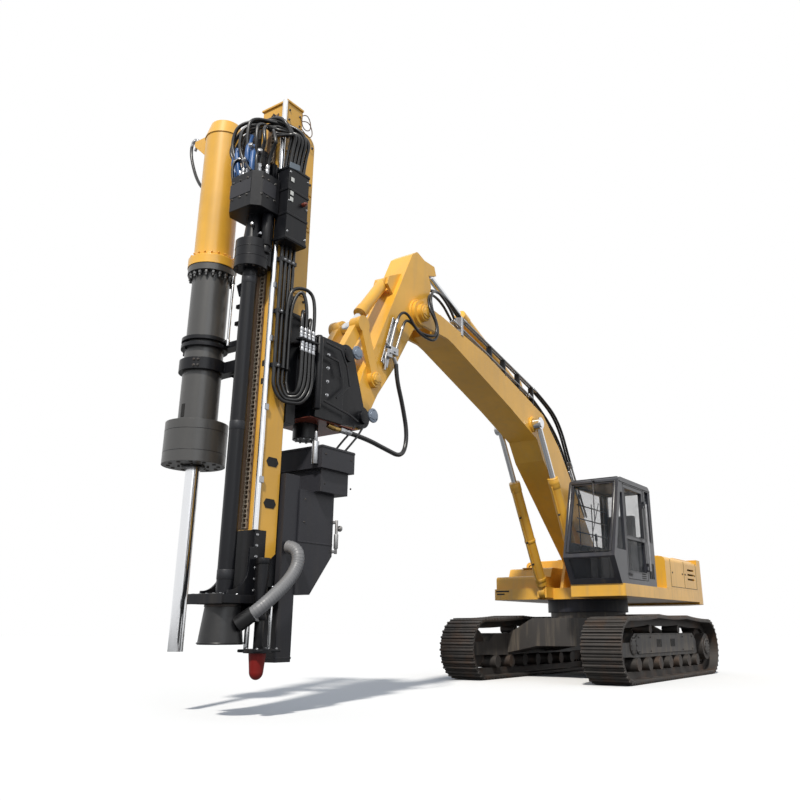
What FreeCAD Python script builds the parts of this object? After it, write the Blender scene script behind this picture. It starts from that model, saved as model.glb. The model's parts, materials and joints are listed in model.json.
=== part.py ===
import FreeCAD, Part
import math
import os
import re

import Sketcher
from FreeCAD import Placement, Rotation, Vector

# Rock drilling and splitting machine: a tracked excavator whose arm carries a
# drill mast with a splitting cylinder beside it.
# Frame: millimetres, +X forward, +Y to the machine's left, +Z up. The origin is
# on the ground under the slewing axis, midway between the tracks.

SIZES = {
    "Undercarriage": [
        ("track_length", 5250, "over the lug tips, along the machine"),
        ("track_height", 1020, "over the lug tips, at the end wheels"),
        ("track_gauge", 2630, "between the middles of the tracks"),
        ("shoe_width", 670, "width of a track shoe"),
        ("shoe_plate", 30, "thickness of a shoe's plate"),
        ("chain_depth", 110, "depth of the links inside the shoes"),
        ("chain_band", 230, "width of the links inside the shoes"),
        ("lug_height", 34, "height of a shoe's lug"),
        ("lug_root", 46, "lug's length along the track at its root"),
        ("lug_tip", 26, "lug's length along the track at its tip"),
        ("lug_pitch", 102, "wanted distance from lug to lug"),
        ("top_rise", 56, "upper run's height over the carrier rollers, above the end wheels"),
        ("top_sag", 22, "sag of the upper run between its rollers"),
        ("carrier_spacing", 1500, "between the two carrier rollers"),
        ("carrier_radius", 70, "carrier roller"),
        ("carrier_width", 300, "carrier roller"),
        ("roller_radius", 105, "bottom roller"),
        ("roller_width", 430, "bottom roller"),
        ("roller_spacing", 520, "from bottom roller to bottom roller"),
        ("roller_count", 7, "bottom rollers on a side"),
        ("wheel_width", 140, "sprocket and idler"),
        ("sprocket_tooth", 38, "depth of a sprocket tooth"),
        ("sprocket_teeth", 21, "teeth on a sprocket"),
        ("drive_radius", 240, "final drive cover"),
        ("drive_reach", 235, "final drive cover, out from the track's middle"),
        ("frame_width", 300, "track frame"),
        ("frame_end", 1750, "track frame's box, from the slewing axis to its end"),
        ("yoke_height", 220, "cheek that carries an end wheel"),
        ("yoke_reach", 110, "cheek's reach past the wheel's axis"),
        ("carbody_half_length", 820, "centre box"),
        ("carbody_half_width", 800, "centre box"),
        ("carbody_floor", 600, "centre box's underside"),
        ("carbody_top", 1020, "centre box's top"),
        ("leg_inner", 430, "cross leg's near face, from the slewing axis"),
        ("leg_outer", 1080, "cross leg's far face, from the slewing axis"),
        ("leg_end_floor", 420, "cross leg's underside at the track frame"),
        ("leg_end_top", 740, "cross leg's top at the track frame"),
        ("leg_floor", 540, "cross leg's underside at the middle"),
        ("drum_radius", 700, "drum under the slewing ring"),
        ("drum_height", 110, "drum under the slewing ring"),
        ("slew_radius", 750, "slewing ring, outside"),
        ("slew_bore", 560, "slewing ring, inside"),
        ("carbody_wall", 28, "plates of the carbody and track frames"),
    ],
    "Fits": [
        ("seat_gap", 0.3, "between pieces that seat on each other but move"),
        ("run_gap", 8, "between moving pieces"),
        ("wheel_gap", 1.0, "between a wheel and the faceted inside of its track"),
    ],
    "Upper structure": [
        ("deck_floor", 1350, "underside of the deck"),
        ("deck_depth", 200, "deck's side beam"),
        ("deck_half_width", 1460, "deck"),
        ("deck_rear", -2300, "deck's rear edge"),
        ("deck_front", 1050, "right deck's front edge"),
        ("bay_front", 870, "deck's front edge between the cab and the right deck"),
        ("bay_half_width", 500, "bay between the cab and the right deck"),
        ("cab_floor_front", 1800, "deck's front edge under the cab"),
        ("deck_round", 70, "rounding of the deck's lower edge"),
        ("deck_wall", 22, "deck's plates"),
        ("house_top", 2140, "top of the engine house"),
        ("house_front", -330, "front of the engine house"),
        ("house_wall", 40, "door and panel thickness"),
        ("house_round", 90, "rounding of the house's long edges"),
        ("counterweight_rear", -3150, "rearmost point"),
        ("counterweight_floor", 1310, "underside"),
        ("counterweight_top", 2190, "top"),
        ("counterweight_side", 620, "length of the counterweight's straight side"),
        ("counterweight_round", 420, "corner radius seen from above"),
        ("counterweight_wall", 125, "cast wall"),
        ("louvre_count", 3, "louvre slots in a side panel"),
        ("louvre_length", 420, "louvre slot"),
        ("louvre_height", 34, "louvre slot"),
        ("louvre_pitch", 90, "from slot to slot"),
        ("engine_length", 1500, "engine block, across the machine"),
        ("engine_width", 850, "engine block, along the machine"),
        ("engine_height", 520, "engine block"),
        ("engine_back", 150, "engine block, behind the middle of its house"),
        ("tank_rear", -300, "right deck's box: rear face"),
        ("tank_top", 1960, "right deck's box: top"),
        ("step_front", 960, "lower box in front of it: front face"),
        ("step_rear", 480, "lower box in front of it: rear face"),
        ("step_top", 1780, "lower box in front of it: top"),
        ("cheek_gap", 280.3, "boom bracket's inner face, from the middle"),
        ("cheek_wall", 60, "boom bracket's cheek"),
        ("cheek_radius", 180, "boom bracket's top"),
        ("cheek_rear", -330, "boom bracket's rear foot"),
        ("cheek_front", 480, "boom bracket's front foot"),
    ],
    "Cab": [
        ("cab_inner", 510, "inner side, from the middle"),
        ("cab_outer", 1435, "outer side, from the middle"),
        ("cab_rear", 140, "rear face"),
        ("cab_nose", 2080, "foremost point, at the kink of the front"),
        ("cab_nose_height", 1980, "height of that kink"),
        ("cab_foot", 1820, "front face at the floor"),
        ("cab_brow", 1660, "front face at the roof"),
        ("cab_top", 3350, "roof"),
        ("cab_wall", 60, "wall and door thickness"),
        ("pillar", 75, "width of a window's frame"),
        ("roof_band", 110, "frame between a window and the roof"),
        ("window_rear", 200, "inner side window, ahead of the cab's rear"),
        ("window_slant", 160, "inner side window, behind the kink of the front"),
        ("window_lift", 700, "inner side window's sill above the deck"),
        ("rear_sill_lift", 900, "rear window's sill above the deck"),
        ("front_sill_lift", 90, "lower front window's sill above the deck"),
        ("transom_low", 20, "bar between the front windows, below the kink"),
        ("transom_high", 60, "bar between the front windows, above the kink"),
        ("side_post", 110, "posts beside the rear side window"),
        ("window_margin", 95, "window's edge, in from the cab's side"),
        ("door_rear", 560, "door's rear edge"),
        ("door_front", 1500, "door's front edge"),
        ("door_sill", 1640, "door's lower edge"),
        ("door_gap", 8, "around the door"),
        ("door_waist", 2330, "bar between the door's windows, middle"),
        ("door_frame", 70, "frame around the door's windows"),
        ("glass", 8, "window glass"),
        ("hinge_radius", 16, "door hinge"),
        ("hinge_length", 120, "door hinge"),
        ("hinge_stand", 6, "door hinge, clear of the cab's side"),
        ("rail_radius", 14, "grab rail"),
        ("rail_reach", 70, "grab rail, out from the door post"),
        ("rail_behind", 40, "grab rail, ahead of the door's rear edge"),
        ("seat_width", 480, "driver's seat"),
        ("seat_depth", 480, "driver's seat"),
        ("seat_height", 480, "top of the cushion above the cab floor"),
        ("seat_back", 720, "backrest above the cushion"),
        ("console_width", 130, "arm console"),
        ("console_length", 560, "arm console"),
        ("console_height", 620, "arm console above the cab floor"),
    ],
    "Boom": [
        ("boom_foot_x", 100, "boom foot pin"),
        ("boom_foot_z", 2000, "boom foot pin"),
        ("boom_tip_x", 5950, "arm pivot"),
        ("boom_tip_z", 5200, "arm pivot"),
        ("boom_half_width", 280, "boom's side, from the middle"),
        ("boom_wall", 14, "boom's plates"),
        ("boom_pin", 60, "radius of the boom's main pins"),
        ("boom_foot_radius", 175, "foot boss"),
        ("fork_wall", 50, "fork plate at the tip"),
        ("fork_radius", 190, "fork plate's end"),
        ("fork_boss", 60, "fork boss, out from the plate"),
        ("fork_boss_radius", 130, "fork boss"),
        ("boom_box_end", 5480, "front end of the boom's box"),
        ("knee_ahead", 2040, "knee in the boom's top, ahead of the foot pin"),
        ("knee_rise", 2500, "knee in the boom's top, above the foot pin"),
        ("crest_ahead", 4010, "crest of the boom's top, ahead of the foot pin"),
        ("crest_rise", 3080, "crest of the boom's top, above the foot pin"),
        ("lift_eye_x", 2560, "boom cylinders' rod pin"),
        ("lift_eye_z", 4240, "boom cylinders' rod pin"),
        ("lift_boss", 35, "boss for that pin, out from the boom's side"),
        ("lift_boss_radius", 135, "boss for that pin"),
        ("crowd_foot_x", 2700, "arm cylinder's foot pin"),
        ("crowd_foot_z", 4950, "arm cylinder's foot pin"),
        ("lug_wall", 45, "plate of a cylinder's lug"),
        ("pipe_radius", 19, "steel pipe along the boom"),
        ("pipe_side", 262, "outer pipe's middle, from the boom's middle"),
        ("pipe_pitch", 50, "from pipe to pipe"),
        ("clamp_length", 40, "pipe clamp, along the boom"),
    ],
    "Boom cylinders": [
        ("lift_foot_x", 1060, "foot pin"),
        ("lift_foot_z", 1480, "foot pin"),
        ("lift_side", 385, "cylinder's axis, from the middle"),
        ("lift_barrel", 95, "barrel's radius"),
        ("lift_bore", 72, "barrel's bore"),
        ("lift_rod", 50, "rod's radius"),
        ("lift_barrel_length", 2130, "foot pin to the gland's end"),
        ("lift_gland", 98, "gland's radius"),
        ("lift_gland_length", 170, "gland"),
        ("lift_rod_hidden", 560, "rod inside the barrel"),
        ("lift_eye_radius", 105, "eyes at both ends"),
        ("lift_eye_half", 60, "half width of the foot eye"),
        ("lift_pin", 45, "foot pin's radius"),
        ("lift_lug", 36, "plate of the foot pin's lug"),
        ("lift_cap", 75, "cap over the rod pin"),
    ],
    "Arm": [
        ("arm_half_width", 200, "arm's side, from the middle"),
        ("arm_wall", 12, "arm's plates"),
        ("arm_pivot_radius", 215, "boss at the boom's tip"),
        ("arm_end_back", 980, "attachment pin, back from the head's front"),
        ("arm_end_z", 3360, "attachment pin"),
        ("arm_end_radius", 150, "boss at the attachment pin"),
        ("arm_pin", 45, "radius of the arm's pins"),
        ("crowd_eye_x", 5450, "arm cylinder's rod pin"),
        ("crowd_eye_z", 6100, "arm cylinder's rod pin"),
        ("crowd_lug_gap", 92, "arm's lug for it: inner face, from the middle"),
        ("tool_foot_x", 6540, "tool cylinder's foot pin"),
        ("tool_foot_z", 5520, "tool cylinder's foot pin"),
        ("rocker_foot_back", 260, "side links' pin on the arm, back from the attachment pin"),
        ("rocker_foot_z", 3940, "side links' pin on the arm"),
        ("rocker_eye_ahead", 20, "pin of side links, power link and rod, ahead of the attachment pin"),
        ("rocker_eye_z", 4620, "pin where side links, power link and rod meet"),
        ("link_wall", 60, "side link's thickness"),
        ("link_radius", 115, "side link's ends"),
        ("link_waist", 75, "half width of a link between its ends"),
        ("power_inner", 90, "power link's arm: inner face, from the middle"),
        ("power_radius", 110, "power link's ends"),
        ("valve_length", 420, "valve block on the arm's side"),
        ("valve_width", 240, "valve block on the arm's side"),
        ("valve_depth", 90, "valve block on the arm's side"),
    ],
    "Arm cylinder": [
        ("crowd_barrel", 100, "barrel's radius"),
        ("crowd_bore", 78, "barrel's bore"),
        ("crowd_rod", 55, "rod's radius"),
        ("crowd_barrel_length", 1950, "foot pin to the gland's end"),
        ("crowd_gland", 110, "gland's radius"),
        ("crowd_gland_length", 180, "gland"),
        ("crowd_rod_hidden", 640, "rod inside the barrel"),
        ("crowd_eye_radius", 100, "eyes at both ends"),
        ("crowd_eye_half", 70, "half width of the eyes"),
    ],
    "Tool cylinder": [
        ("tool_barrel", 85, "barrel's radius"),
        ("tool_bore", 66, "barrel's bore"),
        ("tool_rod", 45, "rod's radius"),
        ("tool_barrel_length", 800, "foot pin to the gland's end"),
        ("tool_gland", 93, "gland's radius"),
        ("tool_gland_length", 130, "gland"),
        ("tool_rod_hidden", 405, "rod inside the barrel"),
        ("tool_eye_radius", 75, "eyes at both ends"),
        ("tool_eye_half", 85, "half width of the eyes"),
    ],
    "Tool head": [
        ("head_pin_back", 640, "power link's pin, back from the head's front"),
        ("head_pin_z", 4090, "power link's pin"),
        ("ear_wall", 60, "ear plate"),
        ("ear_radius", 140, "ear plate's ends"),
        ("pin_cap", 88, "radius of a pin's cap"),
        ("pin_cap_reach", 50, "cap, out from the ear"),
        ("head_length", 480, "head box, from its rear to its front face"),
        ("head_floor", 3150, "head box's underside"),
        ("head_top", 4150, "head box's top"),
        ("head_half_width", 360, "head box's side, from the middle"),
        ("head_wall", 30, "head box's plates"),
        ("ring_z", 3650, "swing axis, height"),
        ("ring_radius", 420, "fixed half of the swing ring"),
        ("ring_depth", 100, "each half of the swing ring"),
        ("gearbox_height", 190, "swing drive under the head"),
        ("gearbox_radius", 150, "swing drive's motor"),
    ],
    "Mast guide": [
        ("mast_reach", 8550, "slewing axis to the feed beam's rear face"),
        ("beam_depth", 270, "feed beam, from its rear to its front face"),
        ("guide_gap", 6, "between the guide and the beam"),
        ("plate_floor", 3020, "swing plate's lower edge"),
        ("plate_top", 4350, "swing plate's top edge"),
        ("plate_half_width", 240, "swing plate"),
        ("plate_depth", 144, "swing plate"),
        ("pad_height", 260, "slide pad"),
        ("rail_z", 3960, "hose clamp plate's middle"),
        ("rail_wall", 20, "hose clamp plate"),
        ("rail_back", 220, "hose clamp plate's rear edge, back from the feed beam"),
        ("rail_ahead", 70, "hose clamp plate's front edge, ahead of the feed beam's rear"),
        ("rail_inner", 400, "hose clamp plate's inner edge"),
        ("rail_outer", 500, "hose clamp plate's outer edge"),
        ("rail_arm", 110, "hose clamp plate's arm, along the machine"),
        ("column_depth", 270, "guide column, back from the feed beam"),
        ("column_floor", 4180, "guide column's underside"),
        ("column_drop", 250, "guide column's top, below the feed beam's"),
        ("column_half_width", 195, "guide column"),
        ("column_round", 150, "guide column's rounded top corner"),
        ("column_wall", 12, "guide column's plates"),
    ],
    "Dust collector": [
        ("hood_back", 980, "hood's rear face, back from the feed beam"),
        ("hood_gap", 410, "hood's front face, back from the feed beam"),
        ("hood_top", 2820, "hood's top"),
        ("hood_depth", 260, "hood's height"),
        ("hood_left", 450, "hood's left side"),
        ("hood_right", -340, "hood's right side"),
        ("neck_depth", 260, "box under the hood"),
        ("neck_inset", 50, "box under the hood, inside the hood's edges"),
        ("filter_back", 810, "filter box's rear face, back from the feed beam"),
        ("filter_gap", 250, "filter box's front face, back from the feed beam"),
        ("filter_half_width", 300, "filter box"),
        ("filter_floor", 1610, "filter box's lower edge"),
        ("hopper_floor", 1180, "hopper's outlet"),
        ("hopper_back", 470, "hopper's rear face at its outlet, back from the feed beam"),
        ("leg_depth", 220, "leg column"),
        ("leg_gap", 30, "leg column's front face, back from the feed beam"),
        ("leg_half_width", 130, "leg column"),
        ("leg_side", 150, "leg column's middle, to the left"),
        ("leg_foot", 500, "leg column's foot"),
        ("leg_head", 2450, "leg column's top"),
        ("strap_half", 80, "strap from the leg to the swing plate, half width"),
        ("strap_lap", 200, "strap's hold on the leg"),
        ("box_wall", 10, "dust collector's plates"),
    ],
    "Feed beam": [
        ("beam_right", -200, "feed beam's right face"),
        ("beam_left", 220, "feed beam's left face"),
        ("mast_height", 7100, "ground to the feed beam's top"),
        ("beam_foot_front", 1460, "yellow strip's lower end at its front"),
        ("beam_foot_rear", 1580, "yellow strip's lower end at its rear"),
        ("strip_depth", 150, "yellow strip that runs down behind the mast foot"),
        ("beam_wall", 12, "feed beam's plates"),
        ("slot_width", 110, "oval slot in the beam's head"),
        ("slot_height", 260, "oval slot in the beam's head"),
        ("slot_drop", 300, "oval slot's middle, below the beam's top"),
        ("cap_wall", 25, "plate on the beam's top"),
        ("bar_radius", 32, "chrome guide bar"),
        ("bar_side", 212, "chrome guide bar, to the left"),
        ("chain_width", 70, "feed chain"),
        ("chain_side", 30, "feed chain's middle"),
        ("chain_thickness", 30, "feed chain"),
        ("chain_pitch", 76, "from chain tooth to chain tooth"),
        ("chain_notch", 12, "depth between chain teeth"),
        ("hose_radius", 21, "hose on the beam's side"),
        ("hose_side", 272, "these hoses, to the left"),
        ("hose_rear", 55, "rearmost of them, ahead of the feed beam's rear"),
        ("hose_pitch", 65, "from hose to hose"),
        ("hose_count", 4, "hoses on the beam's side"),
        ("hose_floor", 3450, "their lower end"),
        ("hose_box_floor", 5100, "hose box, underside"),
        ("hose_box_top", 6060, "hose box, top"),
        ("hose_box_side", 430, "hose box's left face"),
        ("hose_box_inner", 250, "hose box's right face"),
        ("hose_box_foot", 60, "block that holds the hose box, in from the box's edges"),
        ("hose_box_rear", 30, "hose box's rear face, ahead of the feed beam's rear"),
        ("hose_box_depth", 335, "hose box, along the machine"),
        ("clip_height", 50, "block that holds the hoses"),
        ("clip_side", 300, "its left face"),
        ("foot_floor", 980, "mast foot's underside"),
        ("foot_plate", 40, "plate in front of the mast foot"),
        ("foot_plate_top", 1810, "top of that plate and of the foot"),
        ("shelf_wall", 80, "dust hood's shelf"),
        ("shelf_top", 1150, "dust hood's shelf, top"),
        ("shelf_depth", 460, "dust hood's shelf, ahead of the feed beam"),
        ("shelf_right", -210, "dust hood's shelf, right edge"),
        ("shelf_left", 270, "dust hood's shelf, left edge"),
        ("gusset_height", 480, "gusset above the shelf"),
        ("gusset_reach", 250, "gusset's foot, ahead of its upper part"),
        ("gusset_toe", 45, "gusset's height at its front end"),
        ("gusset_head", 50, "gusset's depth at its top"),
        ("gusset_round", 240, "gusset's hollow curve"),
        ("gusset_wall", 25, "gusset above the shelf"),
        ("skirt_radius", 222, "rubber dust hood's lower edge"),
        ("skirt_neck", 175, "rubber dust hood, at its top"),
        ("skirt_wall", 18, "rubber dust hood"),
        ("skirt_floor", 680, "rubber dust hood's lower edge"),
        ("duct_radius", 68, "dust hose"),
        ("cuff_radius", 78, "dust hose's cuff on the dust hood"),
        ("stinger_side", 310, "foot spike's axis, to the left"),
        ("stinger_ahead", 250, "foot spike's axis, ahead of the feed beam's rear"),
        ("stinger_radius", 62, "foot spike's housing"),
        ("stinger_rod", 34, "foot spike's rod"),
        ("stinger_top", 1500, "foot spike's housing, top"),
        ("stinger_plate", 640, "foot plate's underside"),
        ("spike_tip", 350, "foot spike's tip"),
        ("spike_radius", 87, "foot spike"),
        ("spike_waist", 70, "foot spike, where its nose starts"),
        ("spike_nose", 80, "foot spike's rounded nose"),
        ("foot_pad", 140, "plate at the jack's lower end"),
        ("foot_pad_wall", 40, "plate at the jack's lower end"),
    ],
    "Rock drill": [
        ("drill_ahead", 230, "drill axis, ahead of the feed beam"),
        ("drill_y", 40, "drill axis"),
        ("pipe_outer", 86, "drill pipe's radius"),
        ("socket_radius", 70, "bit socket in the pipe's lower end"),
        ("socket_depth", 160, "bit socket in the pipe's lower end"),
        ("pipe_inner", 62, "drill pipe's bore"),
        ("pipe_floor", 1040, "drill pipe's lower end"),
        ("spindle_floor", 4740, "rotary head's spindle, lower end"),
        ("rotary_floor", 5430, "gearbox, underside"),
        ("rotary_top", 5880, "gearbox, top"),
        ("rotary_half_width", 260, "gearbox"),
        ("rotary_depth", 360, "gearbox, along the machine"),
        ("rotary_chamfer", 90, "gearbox corners"),
        ("spindle_radius", 190, "drum under the gearbox"),
        ("spindle_top", 5080, "drum, top"),
        ("neck_radius", 115, "neck above the drum, lower end"),
        ("neck_tip", 75, "neck above the drum, upper end"),
        ("swivel_radius", 110, "motor on the gearbox"),
        ("swivel_top", 6280, "motor on the gearbox, top"),
        ("carriage_wall", 60, "carriage plate"),
        ("carriage_top", 6150, "carriage plate, top"),
        ("carriage_floor", 4800, "carriage plate, lower end"),
        ("carriage_gap", 75, "carriage plate, from the beam"),
        ("carriage_pad", 220, "slide pad's height"),
    ],
    "Splitter": [
        ("split_ahead", 350, "splitting cylinder's axis, ahead of the feed beam's rear"),
        ("split_y", -810, "splitting cylinder's axis"),
        ("barrel_radius", 235, "yellow barrel"),
        ("barrel_lower_radius", 222, "grey barrel"),
        ("barrel_bore", 160, "both barrels' bore"),
        ("barrel_top", 6860, "yellow barrel's top"),
        ("barrel_cap_top", 7060, "faceted cap's top"),
        ("barrel_cap_half", 190, "faceted cap's top, half width"),
        ("cap_lug_reach", 570, "cap's lug, out from the axis"),
        ("cap_lug_wall", 60, "cap's lug, plate"),
        ("cap_lug_height", 70, "cap's lug, at its tip"),
        ("cap_lug_drop", 370, "cap's lug, down along the barrel"),
        ("flange_z", 5000, "joint of the two barrels"),
        ("flange_radius", 292, "flanges"),
        ("flange_wall", 110, "yellow flange"),
        ("flange_chamfer", 40, "bevel on the yellow flange"),
        ("grey_flange_wall", 85, "grey flange"),
        ("collar_top", 3060, "collar"),
        ("collar_floor", 2580, "collar"),
        ("collar_radius", 350, "collar"),
        ("splitter_rod", 80, "splitting rod's radius"),
        ("rod_tip", 600, "splitting rod's tip"),
        ("rod_hidden", 620, "splitting rod inside the collar and barrel"),
        ("piston_radius", 150, "piston"),
        ("piston_length", 180, "piston"),
        ("band_wall", 48, "clamp bands around the barrel"),
        ("band_height", 140, "clamp band"),
        ("band_low", 3740, "lower band, middle"),
        ("band_mid", 4020, "thin double band, middle"),
        ("thin_band", 45, "one ring of the double band"),
        ("thin_pitch", 80, "from one ring of it to the other"),
        ("band_lug", 120, "double band's bolt lug, out from the barrel"),
        ("clasp_half", 40, "double band's bolt lug, half its depth"),
        ("bracket_floor", 6700, "bracket between the yellow barrel and the beam"),
        ("bracket_height", 160, "bracket between the yellow barrel and the beam"),
        ("bracket_depth", 150, "bracket between the yellow barrel and the beam"),
        ("arm_depth", 150, "band's arm, along the machine"),
        ("stay_ahead", 90, "band's arm, ahead of the feed beam's rear"),
    ],
}

# Places worked out from the sizes, for use in formulas under these names.
PLACES = {
    "wheel_x": "(track_length - track_height) / 2",
    "wheel_z": "track_height / 2",
    "track_inside": "lug_height + shoe_plate + chain_depth",
    "wheel_radius": "wheel_z - track_inside - wheel_gap",
    "roller_z": "track_inside + seat_gap + roller_radius",
    "frame_floor": "roller_z + roller_radius + seat_gap",
    "carrier_z": "track_height + top_rise - track_inside - carrier_radius - wheel_gap",
    "frame_top": "carrier_z - carrier_radius - seat_gap",
    "deck_top": "deck_floor + deck_depth",
    "beam_rear": "mast_reach",
    "beam_front": "mast_reach + beam_depth",
    "beam_top": "mast_height",
    "guide_front": "beam_rear - guide_gap",
    "plate_rear": "guide_front - plate_depth",
    "column_rear": "beam_rear - column_depth",
    "column_top": "beam_top - column_drop",
    "head_front": "plate_rear - 2 * ring_depth",
    "head_rear": "head_front - head_length",
    "ring_face": "head_front + ring_depth + seat_gap",
    "head_pin_x": "head_front - head_pin_back",
    "arm_end_x": "head_front - arm_end_back",
    "rocker_foot_x": "arm_end_x - rocker_foot_back",
    "rocker_eye_x": "arm_end_x + rocker_eye_ahead",
    "hood_rear": "beam_rear - hood_back",
    "hood_front": "beam_rear - hood_gap",
    "filter_rear": "beam_rear - filter_back",
    "filter_front": "beam_rear - filter_gap",
    "hopper_outlet": "beam_rear - hopper_back",
    "leg_front": "beam_rear - leg_gap",
    "leg_rear": "leg_front - leg_depth",
    "shelf_front": "beam_front + shelf_depth",
    "stinger_x": "beam_rear + stinger_ahead",
    "strip_front": "beam_rear + strip_depth",
    "drill_x": "beam_front + drill_ahead",
    "split_x": "beam_rear + split_ahead",
    "stay_rear": "beam_rear + stay_ahead",
    "lift_slit": "lift_eye_half + seat_gap",
    "window_sill": "deck_top + window_lift",
    "window_top": "cab_top - roof_band",
    "rear_sill": "deck_top + rear_sill_lift",
    "front_sill": "deck_top + front_sill_lift",
    "front_low_top": "cab_nose_height - transom_low",
    "front_high_floor": "cab_nose_height + transom_high",
    "quarter_rear": "door_front + door_gap + 40",
    "hinge_y": "cab_outer + hinge_radius + hinge_stand",
}

doc = FreeCAD.newDocument("rock_drilling_and_splitting_machine")
sheet = doc.addObject("Spreadsheet::Sheet", "sizes")
NAMES = set()
PIECES = []


def fill_sheet():
    """Write each driving size to the sheet, with its alias and meaning."""
    row = 1
    for group, entries in SIZES.items():
        sheet.set(f"A{row}", group)
        row += 1
        for alias, value, meaning in entries:
            sheet.set(f"A{row}", meaning)
            sheet.set(f"B{row}", str(value))
            sheet.setAlias(f"B{row}", alias)
            NAMES.add(alias)
            row += 1
    doc.recompute()


def spelled(text):
    """Put the formula of each place that is named in its stead."""
    longer = re.sub(r"[a-z][a-z_]*", lambda m: f"({PLACES[m[0]]})" if m[0] in PLACES else m[0], text)
    return text if longer == text else spelled(longer)


def formula(text):
    """Turn a formula on the sizes and places into one that FreeCAD's expressions read."""
    text = spelled(text)
    return re.sub(r"[a-z][a-z_]*", lambda m: f"sizes.{m[0]}" if m[0] in NAMES else m[0], text)


def value(text):
    """Work a formula out with the sheet's present values, for a first guess or a shape made in code."""
    scope = {name: getattr(sheet, name) for name in NAMES}
    text = spelled(text)
    names = re.findall(r"[a-z][a-z_]*", text)
    unknown = [name for name in names if name not in scope]
    if unknown:
        raise ValueError(f"{text}: {unknown}")
    for name in sorted(set(names), key=len, reverse=True):
        text = re.sub(rf"\b{name}\b", repr(float(scope[name])), text)
    return FreeCAD.Units.Quantity(text).Value


def bind(thing, **formulas):
    """Bind properties of a document object to formulas; a double underscore stands for a dot."""
    for prop, text in formulas.items():
        thing.setExpression(prop.replace("__", "."), formula(text))


def box(name, x, y, z):
    """Box between two formulas along each axis."""
    thing = doc.addObject("Part::Box", name)
    bind(
        thing,
        Length=f"({x[1]}) - ({x[0]})",
        Width=f"({y[1]}) - ({y[0]})",
        Height=f"({z[1]}) - ({z[0]})",
        Placement__Base__x=x[0],
        Placement__Base__y=y[0],
        Placement__Base__z=z[0],
    )
    return thing


TURNS = {
    "X": (Rotation(Vector(0, 1, 0), 90), "x", ("y", "z")),
    "Y": (Rotation(Vector(1, 0, 0), -90), "y", ("x", "z")),
    "Z": (Rotation(), "z", ("x", "y")),
}


def round_bar(name, axis, centre, span, radius, tip=None):
    """Cylinder, or a cone to a second radius, along an axis, at two centre formulas, over a span."""
    turn, along, across = TURNS[axis]
    thing = doc.addObject("Part::Cone" if tip else "Part::Cylinder", name)
    thing.Placement = Placement(Vector(), turn)
    sizes = {"Radius1": radius, "Radius2": tip} if tip else {"Radius": radius}
    sizes["Height"] = f"({span[1]}) - ({span[0]})"
    sizes[f"Placement__Base__{along}"] = span[0]
    sizes[f"Placement__Base__{across[0]}"] = centre[0]
    sizes[f"Placement__Base__{across[1]}"] = centre[1]
    bind(thing, **sizes)
    return thing


def strut(name, foot, eye, side, near, far, radius):
    """Cylinder on the line from foot to eye in the plane y = side, from near to far of the foot."""
    run, rise = f"(({eye[0]}) - ({foot[0]}))", f"(({eye[1]}) - ({foot[1]}))"
    reach = f"sqrt({run}^2 + {rise}^2)"
    thing = doc.addObject("Part::Cylinder", name)
    thing.Placement = Placement(Vector(), Rotation(Vector(0, 1, 0), 30))
    bind(
        thing,
        Radius=radius,
        Height=f"({far.replace('reach', reach)}) - ({near.replace('reach', reach)})",
        Placement__Rotation__Angle=f"atan2({run}; {rise})",
        Placement__Base__x=f"({foot[0]}) + ({near.replace('reach', reach)}) * {run} / {reach}",
        Placement__Base__y=side,
        Placement__Base__z=f"({foot[1]}) + ({near.replace('reach', reach)}) * {rise} / {reach}",
    )
    return thing


BEND_SHARE = 0.45  # of the shorter run beside a corner: from the corner to where its arc starts
PLANES = {"XZ": ("XZ_Plane", -1), "YZ": ("YZ_Plane", 1), "XY": ("XY_Plane", 1)}


def profile(name, plane, outline, span, rounds=None):
    """Body that extrudes an outline of formula pairs over a span, some of its corners rounded.

    rounds maps a radius formula to the outline's corners that it rounds.
    """
    role, sense = PLANES[plane]
    body = doc.addObject("PartDesign::Body", name)
    sketch = body.newObject("Sketcher::SketchObject", f"{name}_sketch")
    face = next(item for item in body.Origin.OriginFeatures if item.Role == role)
    sketch.AttachmentSupport = [(face, "")]
    sketch.MapMode = "FlatFace"
    points = [Vector(value(a), value(b), 0) for a, b in outline]
    count = len(points)
    for i in range(count):
        sketch.addGeometry(Part.LineSegment(points[i], points[(i + 1) % count]), False)
    for i in range(count):
        sketch.addConstraint(Sketcher.Constraint("Coincident", i, 2, (i + 1) % count, 1))
    for i, texts in enumerate(outline):
        for kind, text, start in zip(("DistanceX", "DistanceY"), texts, points[i]):
            index = sketch.addConstraint(Sketcher.Constraint(kind, -1, 1, i, 1, start))
            sketch.setExpression(f"Constraints[{index}]", formula(text))
    sketch.AttachmentOffset = Placement(Vector(0, 0, 1), Rotation())
    base = f"-({span[1]})" if sense < 0 else span[0]
    sketch.setExpression("AttachmentOffset.Base.z", formula(base))
    pad = body.newObject("PartDesign::Pad", f"{name}_pad")
    pad.Profile = sketch
    pad.setExpression("Length", formula(f"({span[1]}) - ({span[0]})"))
    for number, (radius, corners) in enumerate((rounds or {}).items()):
        doc.recompute()
        round_corners(body, plane, [points[i] for i in corners], radius, f"{name}_round{number}")
    return body


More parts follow.
